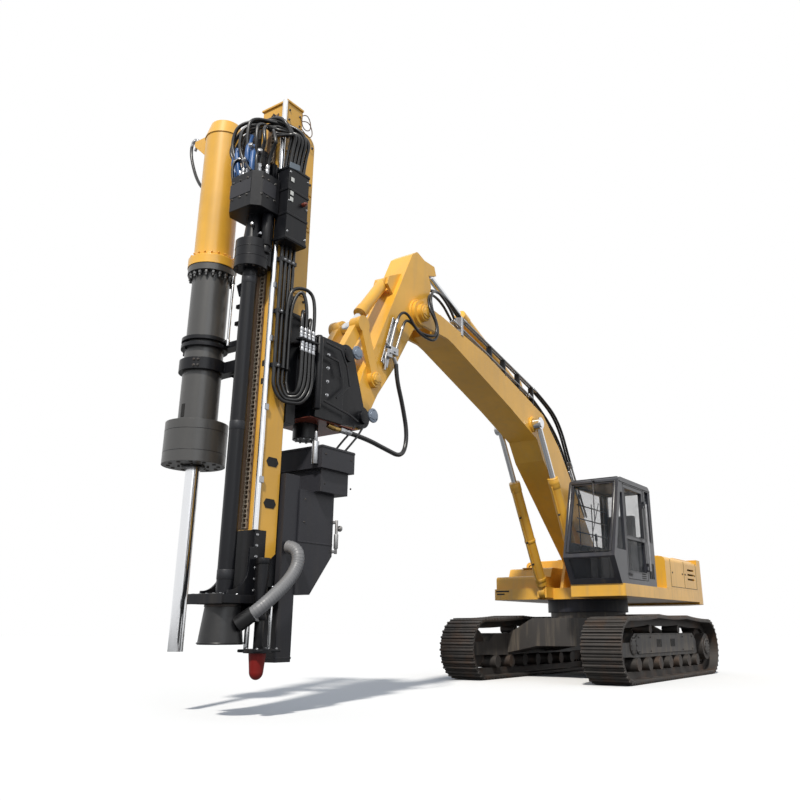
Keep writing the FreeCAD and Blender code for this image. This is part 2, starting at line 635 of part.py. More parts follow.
def round_corners(body, plane, corners, radius, name):
    """Fillet the long edges of a body that stand on the given corners of its outline."""
    shape = body.Shape
    picks = {"XZ": (0, 2), "YZ": (1, 2), "XY": (0, 1)}[plane]
    edges = []
    for number, edge in enumerate(shape.Edges, 1):
        ends = [(v.Point[picks[0]], v.Point[picks[1]]) for v in edge.Vertexes]
        for corner in corners:
            if all(math.dist(end, (corner.x, corner.y)) < 0.01 for end in ends):
                edges.append(f"Edge{number}")
    fillet = body.newObject("PartDesign::Fillet", name)
    fillet.Base = (body.Tip if body.Tip != fillet else fillet.BaseFeature, edges)
    fillet.setExpression("Radius", formula(radius))
    body.Tip = fillet


def tube(name, route, radius):
    """Round tube along straight runs of formulas, joined by tangent arcs."""
    places = [Vector(*(value(part) for part in place)) for place in route]
    start, edges = places[0], []
    for before, corner, after in zip(places, places[1:], places[2:]):
        back, ahead = before - corner, after - corner
        reach = BEND_SHARE * min(back.Length, ahead.Length)
        back.normalize()
        ahead.normalize()
        half = back.getAngle(ahead) / 2
        inward = back + ahead
        inward.normalize()
        centre = corner + inward * (reach / math.cos(half))
        middle = centre - inward * (reach * math.tan(half))
        first, last = corner + back * reach, corner + ahead * reach
        edges += [Part.LineSegment(start, first).toShape(), Part.Arc(first, middle, last).toShape()]
        start = last
    edges.append(Part.LineSegment(start, places[-1]).toShape())
    ring = Part.Wire(Part.makeCircle(value(radius), places[0], places[1] - places[0]))
    thing = doc.addObject("Part::Feature", name)
    thing.Shape = Part.Wire(edges).makePipeShell([ring], True, False)
    thing.Placement = Placement()
    return thing


def fuse(name, *things):
    """One solid made of several."""
    result = doc.addObject("Part::MultiFuse", name)
    result.Shapes = list(things)
    result.Refine = True
    return result


def cut(name, base, *tools):
    """A solid with others cut away."""
    result = base
    for number, tool in enumerate(tools):
        step = doc.addObject("Part::Cut", name if number == len(tools) - 1 else f"{name}_step{number}")
        step.Base = result
        step.Tool = tool
        result = step
    return result


def group(name, *things):
    """Like pieces on one body that don't touch, kept as separate solids of one node."""
    result = doc.addObject("Part::Compound", name)
    result.Links = list(things)
    return result


def hollow(name, outer, wall):
    """Cut away the inside of a closed solid, leaving a wall."""
    inner = doc.addObject("Part::Offset", f"{name}_inside")
    inner.Source = outer
    inner.Join = 2
    inner.Value = -value(wall)
    inner.setExpression("Value", formula(f"-({wall})"))
    return cut(name, outer, inner)


def piece(thing, label):
    """Name a finished sub-part, which names its file."""
    thing.Label = label
    PIECES.append(thing)
    return thing


# ---------------------------------------------------------------- undercarriage

TRACK_SIDES = {"left": 1, "right": -1}


def track_line(offset):
    """Points of the track's closed line, moved inwards by offset, with the length along it."""
    wheel_x, wheel_z = value("wheel_x"), value("wheel_z")
    radius = wheel_z - offset
    rise, sag = value("top_rise"), value("top_sag")
    carrier = value("carrier_spacing / 2")
    points = [(-wheel_x, wheel_z - radius)]
    points += [
        (wheel_x + radius * math.sin(turn), wheel_z - radius * math.cos(turn))
        for turn in (math.radians(7.5 * step) for step in range(25))
    ]
    supports = [(wheel_x, 0), (carrier, rise), (-carrier, rise), (-wheel_x, 0)]
    for (x0, z0), (x1, z1) in zip(supports, supports[1:]):
        for step in range(1, 7):
            share = step / 6
            height = (rise * share ** 2 if z0 < z1 else
                      rise * (1 - share) ** 2 if z1 < z0 else rise - sag * 4 * share * (1 - share))
            points.append((x0 + (x1 - x0) * share, wheel_z + radius + height))
    points += [
        (-wheel_x - radius * math.sin(turn), wheel_z + radius * math.cos(turn))
        for turn in (math.radians(7.5 * step) for step in range(1, 25))
    ]
    return points


def along(points, distance):
    """Point and unit direction at a distance along a line of points."""
    for (x0, z0), (x1, z1) in zip(points, points[1:]):
        step = math.hypot(x1 - x0, z1 - z0)
        if distance <= step:
            share = distance / step
            return (x0 + (x1 - x0) * share, z0 + (z1 - z0) * share), ((x1 - x0) / step, (z1 - z0) / step)
        distance -= step
    return along(points, 0)


def polygon(points, y):
    """Closed wire through XZ points in the plane of y."""
    corners = [Vector(x, y, z) for x, z in points]
    return Part.makePolygon(corners + corners[:1])


def track_shape(side):
    """Track loop with its lugs in its outline."""
    lug = value("lug_height")
    line = track_line(lug)
    total = sum(math.dist(a, b) for a, b in zip(line, line[1:]))
    count = round(total / value("lug_pitch"))
    root, tip = value("lug_root") / 2, value("lug_tip") / 2
    outline = []
    for number in range(count):
        (x, z), (dx, dz) = along(line, total * (number + 0.5) / count)
        for shift, height in ((-root, 0), (-tip, lug), (tip, lug), (root, 0)):
            outline.append((x + dx * shift + dz * height, z + dz * shift - dx * height))
    underside = track_line(lug + value("shoe_plate"))[:-1]
    inside = track_line(value("track_inside"))[:-1]
    middle = side * value("track_gauge") / 2
    loops = []
    for width, outer, inner in (("shoe_width", outline, underside), ("chain_band", underside, inside)):
        y = middle - value(width) / 2
        face = Part.Face(polygon(outer, y)).cut(Part.Face(polygon(inner, y)))
        loops.append(face.extrude(Vector(0, value(width), 0)))
    return loops[0].fuse(loops[1]).removeSplitter()


def track(label, side):
    """One track, made in code because its lugs follow a sagging line."""
    thing = doc.addObject("Part::Feature", f"track_{label}")
    shape = track_shape(side)
    thing.Shape = shape.Solids[0]
    thing.Placement = Placement()
    piece(thing, f"track_{label}")


def sprocket_outline():
    """Toothed disc's corner points about the origin."""
    outer, tooth = value("wheel_radius"), value("sprocket_tooth")
    teeth = int(value("sprocket_teeth"))
    shares = ((0.0, 0), (0.25, 0), (0.42, 1), (0.83, 1))
    corners = []
    for number in range(teeth):
        for share, deep in shares:
            turn = 2 * math.pi * (number + share) / teeth
            reach = outer - tooth * deep
            corners.append((reach * math.cos(turn), reach * math.sin(turn)))
    return corners


def side_name(name, sign):
    """Name of the left or right copy of a piece."""
    return f"{name}_{'left' if sign > 0 else 'right'}"


def mirrored(sign, low, high):
    """Span from low to high on the left, or its mirror image on the right."""
    return (low, high) if sign > 0 else (f"-({high})", f"-({low})")


def build_undercarriage():
    """Carbody, track frames, tracks and all that turns inside them."""
    legs = []
    for name, sign in (("front", 1), ("rear", -1)):
        end_y = "track_gauge / 2 - frame_width / 2"
        outline = [
            (f"-({end_y})", "leg_end_floor"), ("-carbody_half_width * 0.7", "leg_floor"),
            ("carbody_half_width * 0.7", "leg_floor"), (end_y, "leg_end_floor"),
            (end_y, "leg_end_top"), ("carbody_half_width * 0.8", "carbody_top"),
            ("-carbody_half_width * 0.8", "carbody_top"), (f"-({end_y})", "leg_end_top"),
        ]
        leg = profile(f"leg_{name}", "YZ", outline, mirrored(sign, "leg_inner", "leg_outer"))
        legs.append(hollow(f"leg_shell_{name}", leg, "carbody_wall"))
    centre = box("carbody_box", ("-carbody_half_length", "carbody_half_length"),
                 ("-carbody_half_width * 0.8", "carbody_half_width * 0.8"), ("carbody_floor", "carbody_top"))
    drum = round_bar("carbody_drum", "Z", ("0", "0"), ("carbody_top - 20", "carbody_top + drum_height"),
                     "drum_radius")
    piece(fuse("carbody", hollow("carbody_shell", centre, "carbody_wall"), drum, *legs), "carbody")

    ring = round_bar("slew_outer", "Z", ("0", "0"), ("carbody_top + drum_height", "deck_floor - seat_gap"),
                     "slew_radius")
    hole = round_bar("slew_hole", "Z", ("0", "0"), ("carbody_top", "deck_floor + 10"), "slew_bore")
    piece(cut("slew_bearing", ring, hole), "slew_bearing")

    frames, sprockets, idlers, rollers, carriers = [], [], [], [], []
    for label, sign in TRACK_SIDES.items():
        middle = "track_gauge / 2"
        track(label, sign)
        outline = [
            ("-frame_end", "track_height / 2 - yoke_height / 2"), ("-frame_end + 160", "frame_floor"),
            ("frame_end - 160", "frame_floor"), ("frame_end", "track_height / 2 - yoke_height / 2"),
            ("frame_end", "track_height / 2 + yoke_height / 2"), ("frame_end - 200", "frame_top"),
            ("-frame_end + 200", "frame_top"), ("-frame_end", "track_height / 2 + yoke_height / 2"),
        ]
        beam = profile(side_name("frame_beam", sign), "XZ", outline,
                       mirrored(sign, f"{middle} - frame_width / 2", f"{middle} + frame_width / 2"))
        cheeks = []
        inner = (f"{middle} - frame_width / 2", f"{middle} - wheel_width / 2 - seat_gap")
        outer = (f"{middle} + wheel_width / 2 + seat_gap", f"{middle} + frame_width / 2")
        for number, (end, span) in enumerate(((1, inner), (1, outer), (-1, inner))):
            near, far = "frame_end - 40", "wheel_x + yoke_reach"
            cheeks.append(box(side_name(f"cheek{number}", sign),
                              (near, far) if end > 0 else (f"-({far})", f"-({near})"),
                              mirrored(sign, *span),
                              ("track_height / 2 - yoke_height / 2", "track_height / 2 + yoke_height / 2")))
        frames.append(fuse(side_name("track_frame", sign),
                           hollow(side_name("frame_shell", sign), beam, "carbody_wall"), *cheeks))

        disc = doc.addObject("Part::Feature", side_name("sprocket_disc", sign))
        y = sign * value(middle) - value("wheel_width") / 2
        toothed = Part.Face(polygon(sprocket_outline(), y)).extrude(Vector(0, value("wheel_width"), 0))
        disc.Shape = toothed
        disc.Placement = Placement(Vector(-value("wheel_x"), 0, value("wheel_z")), Rotation())
        hub = round_bar(side_name("drive_hub", sign), "Y", ("-wheel_x", "wheel_z"),
                        mirrored(sign, middle, f"{middle} + drive_reach"), "drive_radius")
        sprockets.append(fuse(side_name("sprocket", sign), disc, hub))
        tread = (f"{sign} * {middle} - wheel_width / 2", f"{sign} * {middle} + wheel_width / 2")
        idlers.append(round_bar(side_name("idler", sign), "Y", ("wheel_x", "wheel_z"), tread, "wheel_radius"))
        for number in range(int(value("roller_count"))):
            place = f"({number} - (roller_count - 1) / 2) * roller_spacing"
            rollers.append(round_bar(side_name(f"roller{number}", sign), "Y", (place, "roller_z"),
                                     (f"{sign} * {middle} - roller_width / 2",
                                      f"{sign} * {middle} + roller_width / 2"), "roller_radius"))
        for end in (1, -1):
            carriers.append(round_bar(side_name(f"carrier{'f' if end > 0 else 'r'}", sign), "Y",
                                      (f"{end} * carrier_spacing / 2", "carrier_z"),
                                      (f"{sign} * {middle} - carrier_width / 2",
                                       f"{sign} * {middle} + carrier_width / 2"), "carrier_radius"))
    piece(group("track_frames", *frames), "track_frames")
    piece(group("sprockets", *sprockets), "sprockets")
    piece(group("idlers", *idlers), "idlers")
    piece(group("bottom_rollers", *rollers), "bottom_rollers")
    piece(group("carrier_rollers", *carriers), "carrier_rollers")


# -------------------------------------------------------------- upper structure


def build_upper():
    """Deck with the boom's bracket, engine house, counterweight and boxes."""
    outline = [
        ("deck_rear", "-deck_half_width"), ("deck_front", "-deck_half_width"),
        ("deck_front", "-bay_half_width"), ("bay_front", "-bay_half_width"),
        ("bay_front", "bay_half_width"), ("cab_floor_front", "bay_half_width"),
        ("cab_floor_front", "deck_half_width"), ("deck_rear", "deck_half_width"),
    ]
    deck = profile("deck_slab", "XY", outline, ("deck_floor", "deck_top"), {"deck_round": (1, 6)})
    parts = [hollow("deck_shell", deck, "deck_wall")]
    for sign in (1, -1):
        inner, outer = "cheek_gap", "cheek_gap + cheek_wall"
        plate = profile(side_name("bracket", sign), "XZ", [
            ("cheek_rear", "deck_top - 20"), ("cheek_front", "deck_top - 20"),
            ("boom_foot_x + cheek_radius * 0.9", "boom_foot_z + cheek_radius * 0.3"),
            ("boom_foot_x - cheek_radius * 0.9", "boom_foot_z + cheek_radius * 0.3"),
        ], mirrored(sign, inner, outer))
        crown = round_bar(side_name("bracket_crown", sign), "Y", ("boom_foot_x", "boom_foot_z"),
                          mirrored(sign, inner, outer), "cheek_radius")
        parts += [plate, crown]
        for side, (low, high) in enumerate((
                ("lift_side - lift_slit - lift_lug", "lift_side - lift_slit"),
                ("lift_side + lift_slit", "lift_side + lift_slit + lift_lug"))):
            parts.append(box(side_name(f"lift_lug{side}", sign),
                             ("bay_front - 40", "lift_foot_x + lift_eye_radius * 0.8"),
                             mirrored(sign, low, high),
                             ("deck_floor + 25", "lift_foot_z + lift_eye_radius * 0.8")))
        parts.append(round_bar(side_name("lift_foot_pin", sign), "Y", ("lift_foot_x", "lift_foot_z"),
                               mirrored(sign, "lift_side - lift_eye_half - lift_lug",
                                        "lift_side + lift_eye_half + lift_lug"), "lift_pin"))
    parts.append(round_bar("boom_foot_pin", "Y", ("boom_foot_x", "boom_foot_z"),
                           ("-cheek_gap - cheek_wall - 10", "cheek_gap + cheek_wall + 10"), "boom_pin"))
    piece(fuse("upper_frame", *parts), "upper_frame")

    weight = profile("weight_block", "XY", [
        ("deck_rear", "-deck_half_width"), ("deck_rear", "deck_half_width"),
        ("deck_rear - counterweight_side * 0.6", "deck_half_width"),
        ("counterweight_rear", "deck_half_width * 0.62"),
        ("counterweight_rear", "-deck_half_width * 0.62"),
        ("deck_rear - counterweight_side * 0.6", "-deck_half_width"),
    ], ("counterweight_floor", "counterweight_top"), {"counterweight_round": (2, 3, 4, 5)})
    piece(hollow("weight_shell", weight, "counterweight_wall"), "counterweight")

    house = profile("house_block", "YZ", [
        ("-deck_half_width", "deck_top"), ("deck_half_width", "deck_top"),
        ("deck_half_width", "house_top"), ("-deck_half_width", "house_top"),
    ], ("deck_rear", "house_front"), {"house_round": (2, 3)})
    cavity = box("house_cavity", ("deck_rear + house_wall", "house_front - house_wall"),
                 ("-deck_half_width + house_wall", "deck_half_width - house_wall"),
                 ("deck_top - 10", "house_top - house_wall"))
    slots = []
    for sign in (1, -1):
        for number in range(int(value("louvre_count"))):
            level = f"(deck_top + house_top) / 2 + ({number} - (louvre_count - 1) / 2) * louvre_pitch"
            slots.append(box(side_name(f"louvre{number}", sign),
                             ("deck_rear + 240", "deck_rear + 240 + louvre_length"),
                             mirrored(sign, "deck_half_width - house_wall - 10", "deck_half_width + 10"),
                             (level, f"{level} + louvre_height")))
    shell = cut("house_shell", house, cavity, *slots)
    piece(shell, "engine_house")

    middle = "((deck_rear + house_front) / 2 - engine_back)"
    piece(box("engine", (f"{middle} - engine_width / 2", f"{middle} + engine_width / 2"),
              ("-engine_length / 2", "engine_length / 2"), ("deck_top", "deck_top + engine_height")),
          "engine")

    tank = profile("tank_block", "XZ", [
        ("tank_rear", "deck_top"), ("step_front", "deck_top"), ("step_front", "step_top"),
        ("step_rear", "step_top"), ("step_rear - 90", "tank_top"), ("tank_rear", "tank_top"),
    ], ("-deck_half_width + 20", "-bay_half_width - 20"), {"60": (2, 4)})
    piece(hollow("tank", tank, "house_wall"), "right_deck_box")


# ----------------------------------------------------------------------- cab

INNER_WINDOW = [
    ("cab_rear + window_rear", "window_sill"), ("cab_nose - window_slant", "window_sill"),
    ("cab_brow - pillar", "window_top"), ("cab_rear + window_rear", "window_top"),
]
QUARTER_WINDOW = [
    ("quarter_rear", "cab_nose_height + 120"), ("cab_nose - 130", "cab_nose_height + 120"),
    ("cab_brow - 20", "window_top - 160"), ("quarter_rear", "window_top - 160"),
]


def build_cab():
    """Hollow cab with cut windows, its door, glass, seat and consoles."""
    outline = [
        ("cab_rear", "deck_top"), ("cab_foot", "deck_top"), ("cab_nose", "cab_nose_height"),
        ("cab_brow", "cab_top"), ("cab_rear", "cab_top"),
    ]
    block = profile("cab_block", "XZ", outline, ("cab_inner", "cab_outer"), {"120": (3, 4)})
    room = hollow("cab_room", block, "cab_wall")
    middle = ("cab_inner + window_margin", "cab_outer - window_margin")
    through = ("cab_outer - cab_wall - 20", "cab_outer + 20")
    upper_front = box("cut_front_upper", ("cab_brow - 200", "cab_nose + 100"), middle,
                      ("front_high_floor", "window_top"))
    lower_front = box("cut_front_lower", ("cab_foot - 120", "cab_nose + 100"), middle,
                      ("front_sill", "front_low_top"))
    rear = box("cut_rear", ("cab_rear - 20", "cab_rear + cab_wall + 20"), middle, ("rear_sill", "window_top"))
    inner_side = profile("cut_inner_side", "XZ", INNER_WINDOW,
                         ("cab_inner - 20", "cab_inner + cab_wall + 20"))
    quarter = profile("cut_quarter", "XZ", QUARTER_WINDOW, through)
    rear_side = box("cut_rear_side", ("cab_rear + side_post", "door_rear - side_post"), through,
                    ("door_waist", "window_top"))
    doorway = box("cut_door", ("door_rear - door_gap", "door_front + door_gap"), through,
                  ("door_sill - door_gap", "window_top + door_gap"))
    leaf_hinges, shell_hinges = [], []
    for n, level in enumerate(("door_sill + 180", "window_top - 320")):
        for own, low, straps in ((leaf_hinges, level, ("door_rear", "door_rear + 70")),
                                 (shell_hinges, f"{level} + hinge_length / 2 + seat_gap",
                                  ("door_rear - door_gap - 70", "door_rear - door_gap"))):
            high = f"{low} + hinge_length / 2"
            which = f"{n}{len(shell_hinges) - n + len(leaf_hinges)}"
            own.append(round_bar(f"hinge_knuckle{which}", "Z", ("door_rear - door_gap / 2", "hinge_y"),
                                 (low, high), "hinge_radius"))
            own.append(box(f"hinge_strap{which}", straps, ("cab_outer - 2", "hinge_y + 8"), (low, high)))
    shell = cut("cab_cut", room, upper_front, lower_front, rear, inner_side, quarter, rear_side, doorway)
    piece(fuse("cab_shell", shell, *shell_hinges), "cab_shell")

    leaf = box("door_leaf", ("door_rear", "door_front"), ("cab_outer - cab_wall", "cab_outer"),
               ("door_sill", "window_top"))
    light = ("door_rear + door_frame", "door_front - door_frame")
    upper = ("door_waist + door_frame / 2", "window_top - door_frame")
    lower = ("door_sill + door_frame + 60", "door_waist - door_frame / 2")
    rail_x, rail_y = "door_rear + rail_behind", "cab_outer + rail_reach"
    rail = round_bar("door_rail", "Z", (rail_x, rail_y), ("door_sill + 150", "window_top - 250"),
                     "rail_radius")
    stays = [box(f"door_rail_stay{n}", (f"{rail_x} - rail_radius", f"{rail_x} + rail_radius"),
                 ("cab_outer - 5", rail_y), (level, f"{level} + rail_radius * 2"))
             for n, level in enumerate(("door_sill + 150", "window_top - 250 - rail_radius * 2"))]
    opened = cut("door_lights", leaf, box("door_upper_light", light, through, upper),
                 box("door_lower_light", light, through, lower))
    piece(fuse("door_whole", opened, rail, *stays, *leaf_hinges), "cab_door")

    depth = ("cab_outer - cab_wall / 2 - glass / 2", "cab_outer - cab_wall / 2 + glass / 2")
    piece(group("door_glass", box("door_pane_upper", light, depth, upper),
                box("door_pane_lower", light, depth, lower)), "door_glass")

    low_slope = "(cab_nose - cab_foot) / (cab_nose_height - deck_top)"
    high_slope = "(cab_nose - cab_brow) / (cab_top - cab_nose_height)"
    rises = {
        "lower": [(f"cab_foot + ({level} - deck_top) * {low_slope}", level)
                  for level in ("front_sill", "front_low_top")],
        "upper": [(f"cab_nose - ({level} - cab_nose_height) * {high_slope}", level)
                  for level in ("front_high_floor", "window_top")],
    }
    panes = []
    for name, ((x0, z0), (x1, z1)) in rises.items():
        panes.append(profile(f"front_pane_{name}", "XZ", [
            (f"{x0} - cab_wall / 2", z0), (f"{x0} - cab_wall / 2 + glass", z0),
            (f"{x1} - cab_wall / 2 + glass", z1), (f"{x1} - cab_wall / 2", z1)], middle))
    panes.append(box("rear_pane", ("cab_rear + cab_wall / 2", "cab_rear + cab_wall / 2 + glass"), middle,
                     ("rear_sill", "window_top")))
    panes.append(box("rear_side_pane", ("cab_rear + side_post", "door_rear - side_post"), depth,
                     ("door_waist", "window_top")))
    panes.append(profile("inner_pane", "XZ", INNER_WINDOW,
                         ("cab_inner + cab_wall / 2", "cab_inner + cab_wall / 2 + glass")))
    panes.append(profile("quarter_pane", "XZ", QUARTER_WINDOW, depth))
    piece(group("cab_glass", *panes), "cab_glass")

    seat_x = "cab_rear + cab_wall + 260"
    seat_y = "(cab_inner + cab_outer) / 2"
    cushion = box("seat_cushion", (seat_x, f"{seat_x} + seat_depth"),
                  (f"{seat_y} - seat_width / 2", f"{seat_y} + seat_width / 2"),
                  ("deck_top + cab_wall", "deck_top + cab_wall + seat_height"))
    back = box("seat_backrest", (f"{seat_x} - 60", f"{seat_x} + 90"),
               (f"{seat_y} - seat_width / 2", f"{seat_y} + seat_width / 2"),
               ("deck_top + cab_wall + seat_height - 120", "deck_top + cab_wall + seat_height + seat_back"))
    piece(fuse("cab_seat", cushion, back), "cab_seat")
    consoles = [box(side_name("console", sign), (f"{seat_x} + 80", f"{seat_x} + 80 + console_length"),
                    (f"{seat_y} + {sign} * (seat_width / 2 + 15) - {0 if sign > 0 else 1} * console_width",
                     f"{seat_y} + {sign} * (seat_width / 2 + 15) + {1 if sign > 0 else 0} * console_width"),
                    ("deck_top + cab_wall", "deck_top + cab_wall + console_height"))
                for sign in (1, -1)]
    piece(group("cab_consoles", *consoles), "cab_consoles")


# ---------------------------------------------------------------------- boom

BOOM_FOOT = ("boom_foot_x", "boom_foot_z")
BOOM_TIP = ("boom_tip_x", "boom_tip_z")


def lug_pair(name, outline, inner, wall):
    """Two plates of one outline, one on each side of the middle."""
    return [profile(side_name(name, sign), "XZ", outline, mirrored(sign, inner, f"{inner} + {wall}"))
            for sign in (1, -1)]


def build_boom():
    """Boom box with its foot boss, tip fork, cylinder bosses and lugs."""
    outline = [
        ("boom_foot_x - 100", "boom_foot_z + 120"), ("boom_foot_x + 980", "boom_foot_z + 1460"),
        ("boom_foot_x + 1440", "boom_foot_z + 2000"), ("boom_foot_x + knee_ahead", "boom_foot_z + knee_rise"),
        ("boom_foot_x + crest_ahead", "boom_foot_z + crest_rise"), ("boom_box_end", "boom_tip_z + 130"),
        ("boom_box_end", "boom_tip_z - 140"), ("boom_foot_x + 5030", "boom_foot_z + 2970"),
        ("boom_foot_x + 3290", "boom_foot_z + 2370"), ("boom_foot_x + 2320", "boom_foot_z + 2000"),
        ("boom_foot_x + 2100", "boom_foot_z + 1660"), ("boom_foot_x + 120", "boom_foot_z - 120"),
    ]
    hull = profile("boom_hull", "XZ", outline, ("-boom_half_width", "boom_half_width"))
    tube = hollow("boom_tube", hull, "boom_wall")
    parts = [round_bar("boom_foot_boss", "Y", BOOM_FOOT, ("-boom_half_width", "boom_half_width"),
                       "boom_foot_radius")]
    fork = [
        ("boom_box_end - 250", "boom_tip_z + 85"), ("boom_box_end - 250", "boom_tip_z - 190"),
        ("boom_tip_x - 40", "boom_tip_z - fork_radius * 0.95"), ("boom_tip_x", "boom_tip_z"),
        ("boom_tip_x - 60", "boom_tip_z + fork_radius * 0.95"),
    ]
    for sign in (1, -1):
        span = mirrored(sign, "boom_half_width - fork_wall", "boom_half_width")
        parts.append(profile(side_name("fork_plate", sign), "XZ", fork, span))
        parts.append(round_bar(side_name("fork_end", sign), "Y", BOOM_TIP, span, "fork_radius"))
        parts.append(round_bar(side_name("fork_cap", sign), "Y", BOOM_TIP,
                               mirrored(sign, "boom_half_width - 10", "boom_half_width + fork_boss"),
                               "fork_boss_radius"))
        parts.append(round_bar(side_name("lift_boss", sign), "Y", ("lift_eye_x", "lift_eye_z"),
                               mirrored(sign, "boom_half_width - 10", "boom_half_width + lift_boss"),
                               "lift_boss_radius"))
    parts += lug_pair("crowd_foot_lug", [
        ("crowd_foot_x - 330", "crowd_foot_z - 400"), ("crowd_foot_x + 250", "crowd_foot_z - 240"),
        ("crowd_foot_x + 40", "crowd_foot_z + 85"), ("crowd_foot_x - 70", "crowd_foot_z + 85"),
    ], "crowd_eye_half + seat_gap", "lug_wall")
    parts.append(round_bar("tip_pin", "Y", BOOM_TIP, ("-boom_half_width", "boom_half_width"), "boom_pin"))
    parts.append(round_bar("crowd_foot_pin", "Y", ("crowd_foot_x", "crowd_foot_z"),
                           ("-crowd_eye_half - lug_wall", "crowd_eye_half + lug_wall"), "arm_pin"))
    whole = fuse("boom_whole", tube, *parts)
    bore = round_bar("boom_foot_bore", "Y", BOOM_FOOT, ("-boom_half_width - 10", "boom_half_width + 10"),
                     "boom_pin + seat_gap")
    piece(cut("boom", whole, bore), "boom")


# Routes of the steel pipes along the boom, from its tip to its foot, and their clamps: each one's place
# ahead of the foot pin with its height above the boom's top.
LOW_PIPE = (("boom_tip_x - 900", "boom_tip_z + 160"), ("boom_tip_x - 3530", "boom_tip_z - 495"),
            ("boom_foot_x + 1460", "boom_foot_z + 2240"), ("boom_foot_x + 1020", "boom_foot_z + 1600"),
            ("boom_foot_x + 450", "boom_foot_z + 885"))
HIGH_PIPE = (("boom_tip_x - 1180", "boom_tip_z + 270"), ("boom_tip_x - 3700", "boom_tip_z - 330"),
             ("boom_foot_x + 1350", "boom_foot_z + 2560"), ("boom_foot_x + 930", "boom_foot_z + 1800"),
             ("boom_foot_x + 320", "boom_foot_z + 860"))
PIPE_CLAMPS = (("2400", "350"), ("2900", "330"), ("3400", "300"), ("3850", "275"))
LEG_CLAMP = (("boom_foot_x + 700", "boom_foot_z + 1113"), ("boom_foot_x + 725", "boom_foot_z + 1144"),
             ("boom_foot_x + 560", "boom_foot_z + 1277"), ("boom_foot_x + 535", "boom_foot_z + 1246"))


def build_pipes():
    """Steel pipes along the boom's top left edge, with the clamps that carry them."""
    lanes = ("pipe_side", "pipe_side - pipe_pitch")
    parts = [tube(f"pipe_{tag}{n}", [(x, lane, z) for x, z in route], "pipe_radius")
             for tag, route in (("low", LOW_PIPE), ("high", HIGH_PIPE)) for n, lane in enumerate(lanes)]
    span = ("pipe_side - pipe_pitch - pipe_radius - 8", "boom_half_width")
    slope = "(crest_rise - knee_rise) / (crest_ahead - knee_ahead)"
    for number, (ahead, height) in enumerate(PIPE_CLAMPS):
        ends = (f"{ahead} - clamp_length / 2", f"{ahead} + clamp_length / 2")
        feet = [f"boom_foot_z + knee_rise + ({end} - knee_ahead) * {slope}" for end in ends]
        parts.append(profile(f"pipe_clamp{number}", "XZ", [
            (f"boom_foot_x + {ends[0]}", feet[0]), (f"boom_foot_x + {ends[1]}", feet[1]),
            (f"boom_foot_x + {ends[1]}", f"{feet[1]} + {height}"),
            (f"boom_foot_x + {ends[0]}", f"{feet[0]} + {height}")], span))
    parts.append(profile("pipe_clamp_leg", "XZ", LEG_CLAMP, span))
    piece(fuse("pipes", *parts), "boom_pipes")


def cylinder_sizes(kind, pin):
    """Aliases of a cylinder's sizes, which all start with its kind."""
    names = {"barrel": "barrel", "bore": "bore", "rod": "rod", "length": "barrel_length", "gland": "gland",
             "gland_length": "gland_length", "hidden": "rod_hidden", "eye_radius": "eye_radius"}
    return {key: f"{kind}_{name}" for key, name in names.items()} | {"pin": pin}


def cylinder(name, foot, eye, side, sizes, eye_half, rod_cap=None):
    """Barrel and rod of a hydraulic cylinder between two pins.

    The barrel's foot eye turns on a pin of what carries it; the rod's eye stands beside its lugs.
    """
    barrel, bore, rod = sizes["barrel"], sizes["bore"], sizes["rod"]
    length, gland, gland_length = sizes["length"], sizes["gland"], sizes["gland_length"]
    hidden, eye_radius, pin = sizes["hidden"], sizes["eye_radius"], sizes["pin"]
    span = (f"{side} - ({eye_half})", f"{side} + ({eye_half})")
    start = f"{eye_radius} * 1.3"
    neck = strut(f"{name}_neck", foot, eye, side, "0", f"{start} + 5", f"{eye_half} * 0.95")
    tube = strut(f"{name}_tube", foot, eye, side, start, length, barrel)
    head = strut(f"{name}_gland", foot, eye, side, f"{length} - {gland_length}", length, gland)
    ear = round_bar(f"{name}_ear", "Y", foot, span, eye_radius)
    hole = strut(f"{name}_hole", foot, eye, side, f"{start} + 25", f"{length} - {gland_length} * 0.6", bore)
    throat = strut(f"{name}_throat", foot, eye, side, f"{length} - {gland_length}", f"{length} + 10",
                   f"{rod} + seat_gap")
    pin_hole = round_bar(f"{name}_pin_hole", "Y", foot, (f"{span[0]} - 10", f"{span[1]} + 10"),
                         f"{pin} + seat_gap")
    outer = cut(f"{name}_barrel", fuse(f"{name}_barrel_whole", neck, tube, head, ear), hole, throat, pin_hole)
    shaft = strut(f"{name}_shaft", foot, eye, side, f"{length} - {hidden}", f"reach - {eye_radius} * 0.5",
                  rod)
    tip = round_bar(f"{name}_tip", "Y", eye, span, eye_radius)
    pieces = [shaft, tip]
    if rod_cap:
        face = f"{side.lstrip('-')} + ({eye_half})"
        ends = mirrored(-1 if side.startswith("-") else 1, f"{face} - 5", f"{face} + 18")
        pieces.append(round_bar(f"{name}_cap", "Y", eye, ends, rod_cap))
    return outer, fuse(f"{name}_rod", *pieces)


